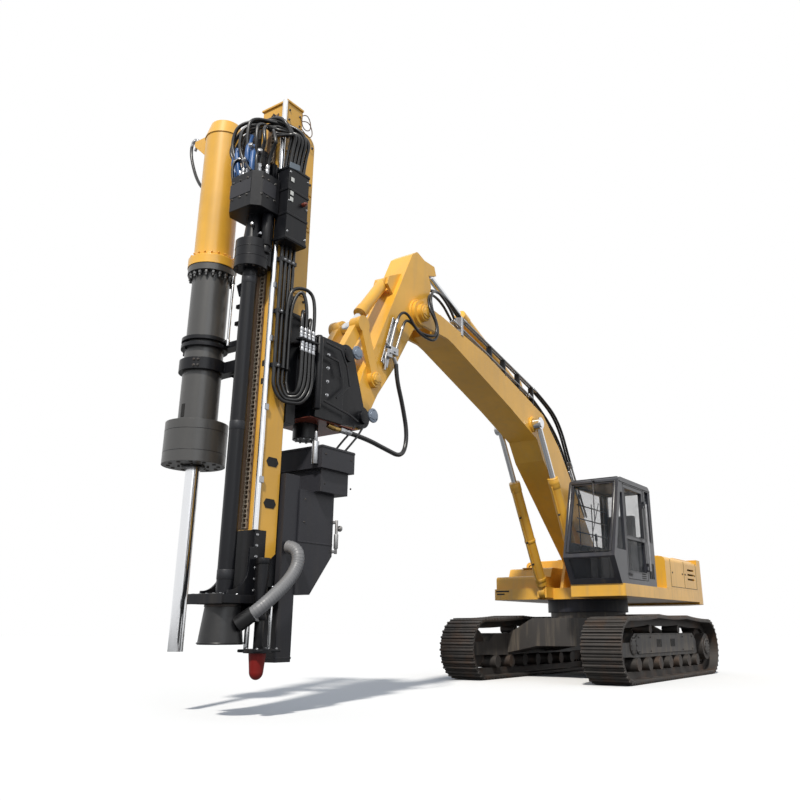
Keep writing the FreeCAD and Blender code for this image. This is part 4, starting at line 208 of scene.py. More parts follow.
class Shader:
    """One material's node tree."""

    def __init__(self, name: str) -> None:
        """Starts an empty material.

        Args:
            name: The material's name.
        """
        self.material = bpy.data.materials.new(name)
        self.material.use_nodes = True
        self.tree = self.material.node_tree
        self.tree.nodes.clear()

    def node(self, kind: str, settings: dict[str, Any] | None = None,
            inputs: dict[str | int, Any] | None = None) -> bpy.types.Node:
        """Adds a node.

        Args:
            kind: The node's type.
            settings: Its own settings, set before its sockets. "stops" are a ramp's stops.
            inputs: A value, a Num or an output for each named or numbered socket.

        Returns:
            The node.
        """
        made = self.tree.nodes.new(kind)
        for key, value in (settings or {}).items():
            if key == "stops":
                ramp = made.color_ramp
                while len(ramp.elements) < len(value):
                    ramp.elements.new(0.5)
                for element, (place, colour) in zip(ramp.elements, value):
                    element.position, element.color = place, (*colour, 1.0)
            else:
                setattr(made, key, value)
        for key, value in (inputs or {}).items():
            socket = made.inputs[key]
            if isinstance(value, Num):
                value = value.socket
            if isinstance(value, bpy.types.NodeSocket):
                self.tree.links.new(value, socket)
            elif isinstance(value, tuple) and len(value) == 3 and socket.type == "RGBA":
                socket.default_value = (*value, 1.0)
            else:
                socket.default_value = value
        return made

    def maths(self, operation: str, *values: "Num | float") -> Num:
        """Adds a Math node and returns its result."""
        node = self.node("ShaderNodeMath", {"operation": operation}, dict(enumerate(values)))
        return Num(self, node.outputs[0])

    def place(self) -> bpy.types.NodeSocket:
        """The point on the piece, in its own coordinates."""
        return self.node("ShaderNodeTexCoord").outputs["Object"]

    def part_of_place(self, axis: Axis) -> Num:
        """One coordinate of the point on the piece."""
        node = self.node("ShaderNodeSeparateXYZ", None, {0: self.place()})
        return Num(self, node.outputs[axis.name])

    def noise(self, scale: float, detail: float = 3.0, stretch: Point = (1.0, 1.0, 1.0),
            rough: float = 0.55) -> Num:
        """Cloudy noise, centred on about 0.5.

        Args:
            scale: Cells in a metre.
            detail: Octaves.
            stretch: Factors on the coordinates.
            rough: How much the fine octaves count.

        Returns:
            The noise.
        """
        where = self.node("ShaderNodeMapping", None, {"Vector": self.place(), "Scale": stretch})
        node = self.node("ShaderNodeTexNoise", None, {"Vector": where.outputs[0], "Scale": scale,
            "Detail": detail, "Roughness": rough})
        return Num(self, node.outputs["Fac"])

    def cells(self, scale: float, stretch: Point = (1.0, 1.0, 1.0)) -> Num:
        """Distance to the nearest of scattered points.

        Args:
            scale: How many points there are along a metre, about.
            stretch: How much denser they are along each axis.

        Returns:
            The distance.
        """
        where = self.node("ShaderNodeMapping", None, {"Vector": self.place(), "Scale": stretch})
        node = self.node("ShaderNodeTexVoronoi", None, {"Vector": where.outputs[0], "Scale": scale})
        return Num(self, node.outputs["Distance"])

    def mix(self, amount: "Num | float", first: Any, second: Any) -> bpy.types.NodeSocket:
        """Mixes two colours.

        Args:
            amount: 0 for the first colour, 1 for the second.
            first: A colour or an output.
            second: A colour or an output.

        Returns:
            The mixed colour.
        """
        node = self.node("ShaderNodeMix", {"data_type": "RGBA"}, {0: amount, 6: first, 7: second})
        return node.outputs[2]

    def edges(self, radius: float) -> tuple[bpy.types.NodeSocket, Num]:
        """Softened corners.

        Args:
            radius: The corners' rounding.

        Returns:
            The rounded normal, and a mask that is 1 along the corners.
        """
        soft = self.node("ShaderNodeBevel", {"samples": 4}, {"Radius": radius}).outputs[0]
        plain = self.node("ShaderNodeNewGeometry").outputs["Normal"]
        facing = self.node("ShaderNodeVectorMath", {"operation": "DOT_PRODUCT"}, {0: soft, 1: plain})
        return soft, (1.0 - Num(self, facing.outputs["Value"])).ramp(0.01, 0.2)

    def bump(self, height: Num, depth: float, strength: float = 1.0,
            normal: bpy.types.NodeSocket | None = None) -> bpy.types.NodeSocket:
        """Turns a height into a normal.

        Args:
            height: The height, from 0 to 1.
            depth: What 1 stands for, in metres.
            strength: The bump's strength.
            normal: The normal that it starts from.

        Returns:
            The normal.
        """
        inputs: dict[str | int, Any] = {"Height": height, "Distance": depth, "Strength": strength}
        if normal is not None:
            inputs["Normal"] = normal
        return self.node("ShaderNodeBump", None, inputs).outputs[0]

    def finish(self, **sockets: Any) -> bpy.types.Material:
        """Adds the surface.

        Args:
            sockets: The surface's sockets, with underscores for spaces.

        Returns:
            The finished material.
        """
        inputs = {key.replace("_", " "): value for key, value in sockets.items()}
        surface = self.node("ShaderNodeBsdfPrincipled", None, inputs)
        self.node("ShaderNodeOutputMaterial", None, {"Surface": surface.outputs[0]})
        return self.material


# ------------------------------------------------------------------ finishes


@dataclass(frozen=True)
class Paint:
    """Sprayed paint on steel plate, dusty low down, rubbed through along some corners."""

    name: str
    colour: Colour
    rubbed: Colour
    dust: Colour = (0.3, 0.24, 0.17)
    roughness: float = 0.36
    tone: float = 0.1
    wear: float = 0.5
    dustiness: float = 0.35
    corner: float = 0.008
    coat: float = 0.25
    sheen: float = 0.5

    def material(self) -> bpy.types.Material:
        """Builds the paint."""
        s = Shader(self.name)
        soft, corners = s.edges(self.corner)
        cloud = s.noise(0.9, 4.0)
        fine = s.noise(22.0, 5.0)
        streak = s.noise(3.0, 4.0, (3.0, 3.0, 0.25))
        darker = tuple(channel * (1.0 - 2.2 * self.tone) for channel in self.colour)
        body = s.mix(cloud.ramp(0.3, 0.72), darker, self.colour)
        low = 1.0 - s.part_of_place(Axis.Z).ramp(0.2, 2.4)
        dirt = (streak.ramp(0.46, 0.75) * (0.35 + low * 0.9) + fine.ramp(0.62, 0.8) * 0.25) * self.dustiness
        dirt = dirt.least(0.85)
        body = s.mix(dirt, body, self.dust)
        rub = corners * s.noise(9.0, 5.0).ramp(0.52, 0.66) * self.wear
        body = s.mix(rub, body, self.rubbed)
        rough = self.roughness + dirt * 0.3 + (fine - 0.5) * 0.12 + rub * 0.1
        peel = s.noise(160.0, 2.0)
        return s.finish(Base_Color=body, Roughness=rough, Coat_Weight=self.coat, Coat_Roughness=0.12,
            Specular_IOR_Level=self.sheen, Normal=s.bump(peel, 0.0006, 0.25, soft))


@dataclass(frozen=True)
class WornSteel:
    """Dark bare or cast steel with soil in its hollows and polished high places."""

    name: str
    colour: Colour
    rust: Colour = (0.115, 0.062, 0.035)
    shine: Colour = (0.34, 0.33, 0.32)
    roughness: float = 0.62
    rustiness: float = 0.45
    polish: float = 0.5
    grain: float = 60.0
    metal: float = 0.55

    def material(self) -> bpy.types.Material:
        """Builds the steel."""
        s = Shader(self.name)
        soft, corners = s.edges(0.006)
        blotch = s.noise(4.0, 6.0)
        grit = s.noise(self.grain, 4.0)
        body = s.mix(blotch.ramp(0.45, 0.7) * self.rustiness, self.colour, self.rust)
        worn = corners * s.noise(7.0, 4.0).ramp(0.35, 0.6) * self.polish
        body = s.mix(worn, body, self.shine)
        rough = self.roughness + (grit - 0.5) * 0.3 - worn * 0.25
        return s.finish(Base_Color=body, Metallic=self.metal, Roughness=rough,
            Normal=s.bump(grit, 0.0018, 0.5, soft))


@dataclass(frozen=True)
class Polished:
    """Hard chrome on a ground rod, with faint rings and oily smears."""

    name: str
    colour: Colour = (0.72, 0.74, 0.77)
    roughness: float = 0.13
    stain: Colour = (0.33, 0.28, 0.22)
    stained: float = 0.25

    def material(self) -> bpy.types.Material:
        """Builds the chrome."""
        s = Shader(self.name)
        smear = s.noise(5.0, 5.0, (1.0, 1.0, 0.3))
        rings = (s.part_of_place(Axis.Z) * 900.0).wave() * 0.5 + 0.5
        stain = smear.ramp(0.55, 0.8) * self.stained
        return s.finish(Base_Color=s.mix(stain, self.colour, self.stain), Metallic=1.0,
            Roughness=self.roughness + stain * 0.5 + (smear - 0.5) * 0.1, Normal=s.bump(rings, 0.0001, 0.12))


@dataclass(frozen=True)
class Rubber:
    """Hose or skirt rubber with a cloth-wrapped skin."""

    name: str
    colour: Colour
    roughness: float = 0.5
    weave: float = 420.0
    dust: Colour = (0.22, 0.2, 0.17)

    def material(self) -> bpy.types.Material:
        """Builds the rubber."""
        s = Shader(self.name)
        cloud = s.noise(6.0, 4.0)
        across = (s.part_of_place(Axis.Z) * self.weave).wave()
        along = ((s.part_of_place(Axis.X) + s.part_of_place(Axis.Y)) * self.weave).wave()
        body = s.mix(cloud.ramp(0.5, 0.8) * 0.3, self.colour, self.dust)
        return s.finish(Base_Color=body, Roughness=self.roughness + (cloud - 0.5) * 0.25,
            Normal=s.bump(across * along * 0.5 + 0.5, 0.0006, 0.35))


@dataclass(frozen=True)
class TintedGlass:
    """Safety glass, tinted, with a film of dust."""

    name: str = "tinted_glass"
    colour: Colour = (0.03, 0.038, 0.045)
    opacity: float = 0.17

    def material(self) -> bpy.types.Material:
        """Builds the glass."""
        s = Shader(self.name)
        film = s.noise(3.0, 4.0).ramp(0.45, 0.85)
        return s.finish(Base_Color=s.mix(film * 0.25, self.colour, (0.4, 0.4, 0.4)),
            Roughness=film * 0.08 + 0.03, Alpha=film * 0.06 + self.opacity, IOR=1.52)


@dataclass(frozen=True)
class Cloth:
    """Woven seat cover."""

    name: str = "seat_cloth"
    colour: Colour = (0.055, 0.055, 0.062)
    thread: float = 900.0

    def material(self) -> bpy.types.Material:
        """Builds the cloth."""
        s = Shader(self.name)
        warp = (s.part_of_place(Axis.X) * self.thread + s.part_of_place(Axis.Z) * self.thread).wave()
        weft = (s.part_of_place(Axis.Y) * self.thread).wave()
        lint = s.noise(30.0, 5.0)
        return s.finish(Base_Color=s.mix(lint.ramp(0.4, 0.8) * 0.4, self.colour, (0.12, 0.12, 0.125)),
            Roughness=0.85 + (lint - 0.5) * 0.1, Sheen_Weight=0.25,
            Normal=s.bump(warp * weft * 0.5 + 0.5, 0.0005, 0.4))


@dataclass(frozen=True)
class Plastic:
    """Grained moulded plastic or a lens."""

    name: str
    colour: Colour
    roughness: float = 0.45

    def material(self) -> bpy.types.Material:
        """Builds the plastic."""
        s = Shader(self.name)
        grain = s.cells(260.0)
        tone = s.noise(8.0, 3.0)
        lighter = tuple(min(1.0, channel * 1.35 + 0.01) for channel in self.colour)
        return s.finish(Base_Color=s.mix(tone.ramp(0.35, 0.75), self.colour, lighter),
            Roughness=self.roughness + (tone - 0.5) * 0.15, Normal=s.bump(grain, 0.0003, 0.3))


class Finishes:
    """Every material of the machine, built once."""

    def __init__(self) -> None:
        """Builds the materials."""
        steel_under_paint = (0.16, 0.13, 0.11)
        made = [
            Paint("machine_yellow", (0.85, 0.45, 0.05), steel_under_paint),
            Paint("cab_grey_blue", (0.03, 0.031, 0.04), (0.2, 0.2, 0.2), roughness=0.33, wear=0.25,
                  dustiness=0.16, sheen=0.35),
            Paint("black_enamel", (0.0075, 0.008, 0.0105), (0.1, 0.1, 0.1), roughness=0.34, wear=0.45,
                  dustiness=0.05, coat=0.0, sheen=0.26),
            Paint("box_grey", (0.03, 0.03, 0.036), (0.14, 0.13, 0.12), dust=(0.08, 0.065, 0.05),
                      roughness=0.42,
                  wear=0.4, dustiness=0.25, coat=0.0, sheen=0.3),
            Paint("barrel_grey", (0.062, 0.061, 0.06), (0.2, 0.2, 0.2), roughness=0.36, wear=0.4,
                  dustiness=0.08, coat=0.1, sheen=0.5),
            Paint("frame_grey", (0.052, 0.047, 0.044), (0.15, 0.14, 0.13), roughness=0.5, wear=0.5,
                  dustiness=0.3, coat=0.0),
            Paint("spike_red", (0.21, 0.009, 0.007), (0.3, 0.28, 0.26), roughness=0.42, wear=0.7,
                  dustiness=0.05, coat=0.0, sheen=0.3),
            WornSteel("track_steel", (0.062, 0.056, 0.052)),
            WornSteel("chain_steel", (0.36, 0.29, 0.21), rust=(0.2, 0.12, 0.07), roughness=0.5,
                      rustiness=0.6, metal=0.35),
            WornSteel("turned_steel", (0.42, 0.43, 0.45), roughness=0.32, rustiness=0.12, metal=1.0,
                      polish=0.2),
            WornSteel("pipe_steel", (0.3, 0.3, 0.3), roughness=0.38, rustiness=0.25, metal=0.85, polish=0.3),
            Polished("hard_chrome", (0.8, 0.81, 0.83), roughness=0.16),
            Rubber("hose_rubber", (0.009, 0.009, 0.01), roughness=0.3, dust=(0.05, 0.05, 0.05)),
            Rubber("skirt_rubber", (0.008, 0.008, 0.009), roughness=0.4, weave=90.0, dust=(0.03, 0.03, 0.03)),
            Rubber("duct_rubber", (0.17, 0.17, 0.175), roughness=0.45, weave=260.0, dust=(0.26, 0.26, 0.26)),
            TintedGlass(),
            Cloth(),
            Plastic("console_plastic", (0.03, 0.03, 0.034), 0.55),
            Plastic("blue_sleeve", (0.012, 0.075, 0.23), 0.4),
            Plastic("pale_rail", (0.26, 0.26, 0.27), 0.35),
            WornSteel("dark_bolt", (0.045, 0.043, 0.042), roughness=0.45, rustiness=0.35, metal=0.7,
                      polish=0.5),
            WornSteel("grey_bolt", (0.15, 0.15, 0.15), roughness=0.4, rustiness=0.15, metal=0.6, polish=0.4),
            WornSteel("blued_steel", (0.2, 0.24, 0.3), roughness=0.34, rustiness=0.06, metal=0.55,
                      polish=0.2),
            WornSteel("brass", (0.46, 0.3, 0.1), roughness=0.35, rustiness=0.3, metal=0.9, polish=0.2),
            # This finish is real rusty steel, and is also used for the painted shade sheet behind the feed
            # chain.
            WornSteel("rust_steel_and_painted_shade", (0.17, 0.105, 0.06), roughness=0.7, rustiness=0.7, metal=0.4, polish=0.2),
            WornSteel("drill_steel", (0.022, 0.023, 0.027), roughness=0.42, rustiness=0.1, metal=0.5,
                      polish=0.5),
            WornSteel("shadow_black", (0.006, 0.006, 0.006), roughness=0.8, rustiness=0.0, metal=0.0,
                      polish=0.0),
            Plastic("tag_plastic", (0.66, 0.66, 0.62), 0.4),
            Paint("neck_enamel", (0.017, 0.019, 0.03), (0.12, 0.12, 0.12), roughness=0.45, wear=0.3,
                  dustiness=0.1, coat=0.0, sheen=0.3),
            Paint("slate_enamel", (0.13, 0.17, 0.21), (0.2, 0.2, 0.2), roughness=0.35, wear=0.3,
                  dustiness=0.1),
            Paint("rust_cap", (0.2, 0.04, 0.022), (0.2, 0.2, 0.2), roughness=0.4, wear=0.3, dustiness=0.1),
        ]
        self.by_name = {finish.name: finish.material() for finish in made}

    def paint(self, thing: Thing, name: str) -> Thing:
        """Gives an object one material all over.

        Args:
            thing: The object.
            name: The material's name.

        Returns:
            The object.
        """
        thing.data.materials.clear()
        thing.data.materials.append(self.by_name[name])
        return thing


NODE_FINISH = {
    "machine_yellow": (
        "upper_frame", "counterweight", "engine_house", "right_deck_box", "boom", "boom_cylinder_barrels",
        "arm", "arm_cylinder_barrel", "tool_cylinder_barrel", "side_links", "power_link", "guide_column",
        "feed_beam", "beam_cap", "splitter_upper_barrel"),
    "cab_grey_blue": ("cab_shell", "cab_door"),
    "black_enamel": (
        "tool_head", "swing_drive", "swing_bracket",
        "mast_foot", "foot_jack", "rotary_head", "drill_pipe", "splitter_bands", "hose_box"),
    "barrel_grey": ("splitter_lower_barrel", "splitter_collar"),
    "box_grey": ("collector_hood", "collector_filter", "collector_leg"),
    "frame_grey": ("carbody", "track_frames", "engine"),
    "neck_enamel": ("slew_bearing",),
    "spike_red": ("foot_spike",),
    "track_steel": ("track_left", "track_right", "sprockets", "idlers", "bottom_rollers", "carrier_rollers"),
    "chain_steel": ("feed_chain",),
    "turned_steel": ("arm_valve",),
    "pipe_steel": ("boom_pipes",),
    "hose_rubber": ("mast_hoses",),
    "duct_rubber": ("dust_hose",),
    "hard_chrome": (
        "boom_cylinder_rods", "arm_cylinder_rod", "tool_cylinder_rod", "guide_bar", "splitter_rod"),
    "skirt_rubber": ("dust_skirt",),
    "tinted_glass": ("door_glass", "cab_glass"),
    "seat_cloth": ("cab_seat",),
    "console_plastic": ("cab_consoles",),
}


def dress_nodes(frame: dict[str, Any], finishes: Finishes) -> None:
    """Gives each carried-over node its finish.

    Args:
        frame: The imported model.
        finishes: The materials.
    """
    for finish, names in NODE_FINISH.items():
        for name in names:
            node = frame["nodes"][name]
            for index in range(max(1, len(node.material_slots))):
                if not node.material_slots:
                    node.data.materials.append(finishes.by_name[finish])
                node.material_slots[index].material = finishes.by_name[finish]
    log.info("dressed %d nodes", sum(len(names) for names in NODE_FINISH.values()))


# ------------------------------------------------------------------ modelling


class Bench:
    """The modelling steps that every sub-assembly shares."""

    def __init__(self, finishes: Finishes) -> None:
        """Keeps the finishes.

        Args:
            finishes: The materials.
        """
        self.finishes = finishes
        self.made = 0

    def fresh(self, thing: Thing | None = None) -> None:
        """Selects nothing, or one object alone.

        Args:
            thing: The object, or None to select nothing.
        """
        bpy.ops.object.select_all(action="DESELECT")
        if thing is not None:
            thing.select_set(True)
            bpy.context.view_layer.objects.active = thing

    def placed(self) -> Thing:
        """Moves the active object's place into its mesh."""
        bpy.ops.object.transform_apply(location=True, rotation=True, scale=True)
        return bpy.context.object

    def modify(self, thing: Thing, kind: str, **settings: Any) -> Thing:
        """Adds a modifier and applies it.

        Args:
            thing: The object.
            kind: The modifier's type.
            settings: Its settings.

        Returns:
            The object.
        """
        self.fresh(thing)
        modifier = thing.modifiers.new(kind.lower(), kind)
        for key, value in settings.items():
            setattr(modifier, key, value)
        bpy.ops.object.modifier_apply(modifier=modifier.name)
        return thing

    def rounded(self, thing: Thing, width: float, steps: int = 2) -> Thing:
        """Rounds an object's sharp edges."""
        return self.modify(thing, "BEVEL", width=width, segments=steps, limit_method="ANGLE",
            angle_limit=math.radians(35.0))

    def block(self, low: Point, high: Point, edge: float = 0.004) -> Thing:
        """A box between two corners, with rounded edges.

        Args:
            low: The lowest corner.
            high: The highest corner.
            edge: The edges' rounding.

        Returns:
            The object.
        """
        self.fresh()
        size = [far - near for near, far in zip(low, high)]
        middle = [(near + far) / 2 for near, far in zip(low, high)]
        bpy.ops.mesh.primitive_cube_add(size=1.0, location=middle, scale=size)
        thing = self.placed()
        return self.rounded(thing, min(edge, 0.45 * min(size))) if edge else thing

    def bar(self, start: Point, end: Point, radius: float, tip: float | None = None, sides: int = 20,
            edge: float = 0.003) -> Thing:
        """A round bar or cone between two points.

        Args:
            start: The centre of its first end.
            end: The centre of its other end.
            radius: Its radius at the start.
            tip: Its radius at the end, if that differs.
            sides: Faces round it.
            edge: The end edges' rounding.

        Returns:
            The object.
        """
        self.fresh()
        line = Vector(end) - Vector(start)
        bpy.ops.mesh.primitive_cone_add(vertices=sides, radius1=radius,
            radius2=radius if tip is None else tip, depth=line.length,
            location=(Vector(start) + Vector(end)) / 2, rotation=line.to_track_quat("Z", "Y").to_euler())
        thing = self.placed()
        if edge:
            self.modify(thing, "BEVEL", width=min(edge, 0.4 * line.length, 0.4 * radius), segments=2,
                limit_method="ANGLE", angle_limit=math.radians(50.0))
        self.smooth(thing)
        return thing

    def smooth(self, thing: Thing, angle: float = 35.0) -> Thing:
        """Shades an object smooth except across its sharp edges.

        Args:
            thing: The object.
            angle: The least angle in degrees at which an edge is sharp.

        Returns:
            The object.
        """
        self.fresh(thing)
        bpy.ops.object.shade_smooth_by_angle(angle=math.radians(angle))
        return thing

    def plate(self, outline: Sequence[Flat], axis: Axis, near: float, far: float,
            edge: float = 0.003) -> Thing:
        """A flat plate of any outline, extruded along an axis.

        Args:
            outline: Its corners, in the order of the two other axes.
            axis: The axis across the plate.
            near: Where one face lies.
            far: Where the other face lies.
            edge: The edges' rounding.

        Returns:
            The object.
        """
        self.fresh()
        bpy.ops.mesh.primitive_circle_add(vertices=len(outline), fill_type="NGON")
        thing = bpy.context.object
        for vertex, (first, second) in zip(thing.data.vertices, outline):
            places = [first, second]
            places.insert(("X", "Y", "Z").index(axis.name), near)
            vertex.co = places
        bpy.ops.object.mode_set(mode="EDIT")
        bpy.ops.mesh.select_all(action="SELECT")
        bpy.ops.mesh.extrude_region_move(TRANSFORM_OT_translate={"value": axis.vector * (far - near)})
        bpy.ops.mesh.select_all(action="SELECT")
        bpy.ops.mesh.normals_make_consistent(inside=False)
        bpy.ops.object.mode_set(mode="OBJECT")
        return self.rounded(thing, edge, 1) if edge else thing

    def tube(self, line: Sequence[Point], radius: float, sides: int = 4) -> Thing:
        """A hose or pipe along one smooth line.

        Args:
            line: The points that the line is drawn towards.
            radius: The tube's radius.
            sides: Faces in a quarter of its outline.

        Returns:
            The object.
        """
        curve = bpy.data.curves.new("line", "CURVE")
        curve.dimensions = "3D"
        curve.bevel_depth, curve.bevel_resolution, curve.resolution_u = radius, sides, 8
        curve.use_fill_caps = True
        spline = curve.splines.new("NURBS")
        spline.points.add(len(line) - 1)
        for point, place in zip(spline.points, line):
            point.co = (*place, 1.0)
        spline.order_u, spline.use_endpoint_u = 3, True
        thing = bpy.data.objects.new("line", curve)
        bpy.context.scene.collection.objects.link(thing)
        self.fresh(thing)
        bpy.ops.object.convert(target="MESH")
        thing = bpy.context.object
        bpy.ops.object.mode_set(mode="EDIT")
        bpy.ops.mesh.select_all(action="SELECT")
        bpy.ops.mesh.remove_doubles(threshold=0.0001)
        bpy.ops.mesh.normals_make_consistent(inside=False)
        bpy.ops.object.mode_set(mode="OBJECT")
        return self.smooth(thing)

    def bolt(self, place: Point, along: Vector, size: float = 0.03) -> Thing:
        """A hexagon bolt head on its washer.

        Args:
            place: The middle of the seat.
            along: The direction that the head stands out in.
            size: The head's width.

        Returns:
            The object.
        """
        start = Vector(place)
        washer = self.bar(start - along * 0.002, start + along * size * 0.12, size * 0.72, sides=12, edge=0.0)
        head = self.bar(start, start + along * size * 0.62, size * 0.56, sides=6, edge=0.0)
        self.modify(head, "BEVEL", width=size * 0.05, segments=1, limit_method="ANGLE",
            angle_limit=math.radians(70.0))
        return self.join([washer, head])

    def copies(self, thing: Thing, turns: Iterable[Matrix]) -> list[Thing]:
        """Copies an object, each copy with its own mesh.

        Args:
            thing: The object.
            turns: What each copy is moved by.

        Returns:
            The object and its copies.
        """
        made = [thing]
        for turn in turns:
            copy = thing.copy()
            copy.data = thing.data.copy()
            copy.data.transform(turn)
            bpy.context.scene.collection.objects.link(copy)
            made.append(copy)
        return made

    def ring(self, thing: Thing, centre: Point, axis: Axis, count: int) -> list[Thing]:
        """Repeats an object round an axis.

        Args:
            thing: The object.
            centre: A point on the axis.
            axis: The axis.
            count: How many there are in all.

        Returns:
            The objects.
        """
        middle = Vector(centre)
        turns = [Matrix.Translation(middle) @ Matrix.Rotation(2 * math.pi * n / count, 4, axis.vector)
            @ Matrix.Translation(-middle) for n in range(1, count)]
        return self.copies(thing, turns)

    def row(self, thing: Thing, step: Point, count: int) -> list[Thing]:
        """Repeats an object along a line.

        Args:
            thing: The object.
            step: From each copy to the next.
            count: How many there are in all.

        Returns:
            The objects.
        """
        return self.copies(thing, [Matrix.Translation(Vector(step) * n) for n in range(1, count)])

    def join(self, things: Sequence[Thing]) -> Thing:
        """Makes one object of several.

        Args:
            things: The objects.

        Returns:
            The one object.
        """
        self.fresh(things[0])
        for thing in things:
            thing.select_set(True)
        if len(things) > 1:
            bpy.ops.object.join()
        return bpy.context.object

    def cut(self, thing: Thing, *tools: Thing) -> Thing:
        """Takes the tools' shapes out of an object.

        Args:
            thing: The object.
            tools: The shapes, which are used up.

        Returns:
            The object.
        """
        for tool in tools:
            self.modify(thing, "BOOLEAN", operation="DIFFERENCE", object=tool, solver="EXACT")
            bpy.data.objects.remove(tool)
        return thing

    def piece(self, name: str, things: Sequence[Thing] | Thing, finish: str, body: str | None,
            slot: Slot | None = None) -> Thing:
        """Makes a named piece of some objects.

        Args:
            name: The piece's name.
            things: What it is made of.
            finish: Its material's name.
            body: The body that it rides on, or None to leave it on none.
            slot: The record's slot that it belongs to, if it isn't its finish's own; it is not used.

        Returns:
            The piece.
        """
        if isinstance(things, bpy.types.Object):
            things = [things]
        made = self.join(list(things))
        made.name = made.data.name = name
        self.finishes.paint(made, finish)
        if body is not None:
            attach(made, body)
        self.made += 1
        log.info("%s: %d faces", name, len(made.data.polygons))
        return made


# ------------------------------------------------------------------ hoses and pipes


@dataclass
class HoseEnd:
    """Crimped hose end with its hexagon nut."""

    bench: Bench
    nut: float = 0.027
    crimp: float = 0.0245
    length: float = 0.13

    def build(self, place: Point, along: Point) -> Thing:
        """Builds one hose end.

        Args:
            place: Where its nut is seated.
            along: The direction in which the hose leaves it.

        Returns:
            The object.
        """
        bench, start, way = self.bench, Vector(place), Vector(along).normalized()
        steps = (0.0, 0.35, 0.6, 0.66, 1.0)
        a, b, c, d, e = (start + way * self.length * share for share in steps)
        return bench.join([bench.bar(a, b, self.nut, sides=6, edge=0.002),
            bench.bar(b, c, self.crimp, sides=14, edge=0.002), bench.bar(c, d, self.crimp * 0.9, sides=14,
            edge=0.0), bench.bar(d, e, self.crimp, sides=14, edge=0.003)])


@dataclass
class MastHoses:
    """Four hoses that loop from the beam's left side up to the clamp on the swing bracket."""

    bench: Bench
    radius: float = 0.021
    lane: float = 0.272
    outer_lane: float = 0.315
    fitting_lane: float = 0.45
    top: float = 3.452
    bottom: float = 3.245
    rail: float = 3.96
    downs: tuple[float, ...] = (8.8, 8.735, 8.67, 8.605)
    ups: tuple[float, ...] = (8.38, 8.44, 8.5, 8.56)

    def loop(self, down: float, up: float, low: float) -> list[Point]:
        """The line of one hose.

        Args:
            down: Where along the machine it comes down.
            up: Where along the machine its fitting is.
            low: How low its bottom hangs.

        Returns:
            The points that the line is drawn towards.
        """
        side = (self.lane + self.fitting_lane) / 2
        return [(down, self.lane, self.top), (down, self.lane, low + 0.12),
            ((down * 3 + up) / 4, self.lane + 0.03, low - 0.02), ((down + up) / 2, side, low - 0.03),
            ((down + up * 3) / 4, self.fitting_lane - 0.03, low - 0.02), (up, self.fitting_lane, low + 0.14),
            (up, self.fitting_lane, low + 0.4), (up, self.fitting_lane, self.rail - 0.12)]

    def build(self) -> None:
        """Builds the loops and the two hoses that arch over into the clamp from above."""
        bench = self.bench
        loops = [bench.tube(self.loop(down, up, self.bottom + 0.035 * number), self.radius) for number,
            (down, up) in enumerate(zip(self.downs, self.ups))]
        arches = []
        for start, end, crown in ((8.705, 8.39, 4.6), (8.64, 8.52, 4.54)):
            arches.append(bench.tube([(start, self.outer_lane, 3.6), (start, self.outer_lane, 4.1),
                (start, self.outer_lane + 0.01, crown - 0.18), (start - 0.05, self.outer_lane + 0.04, crown),
                (end + 0.02, self.fitting_lane - 0.03, crown + 0.02),
                (end - 0.02, self.fitting_lane, crown - 0.25), (end, self.fitting_lane, self.rail + 0.12)],
                self.radius))
        piece = bench.piece("mast_hose_loops", loops + arches, "hose_rubber", None)
        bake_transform(piece)
        self.ends()

    def ends(self) -> None:
        """Builds the fittings on both faces of the clamp plate, and the bolts of its arm."""
        bench = self.bench
        fit = HoseEnd(bench)
        up, down = (0.0, 0.0, 1.0), (0.0, 0.0, -1.0)
        ends = [fit.build((x, self.fitting_lane, self.rail + 0.01), up) for x in (8.39, 8.52, 8.455, 8.585)]
        ends += [fit.build((x, self.fitting_lane, self.rail - 0.01), down) for x in self.ups]
        bench.piece("hose_fittings", ends, "turned_steel", "swing")
        spare = [bench.tube([(8.455, 0.45, 4.08), (8.455, 0.452, 4.16), (8.42, 0.43, 4.26),
            (8.36, 0.34, 4.27), (8.32, 0.26, 4.22), (8.3, 0.2, 4.18)], self.radius),
            bench.tube([(8.585, 0.45, 4.08), (8.585, 0.45, 4.2), (8.55, 0.42, 4.33), (8.44, 0.33, 4.35),
            (8.36, 0.26, 4.3), (8.32, 0.22, 4.22)], self.radius)]
        bench.piece("bracket_hoses", spare, "hose_rubber", "swing")
        clips = []
        for height in (3.625, 4.275, 4.925):
            clips += [bench.bolt((x, 0.3, height), LEFT, 0.02) for x in (8.637, 8.702, 8.768)]
        bench.piece("clip_bolts", clips, "turned_steel", "mast")


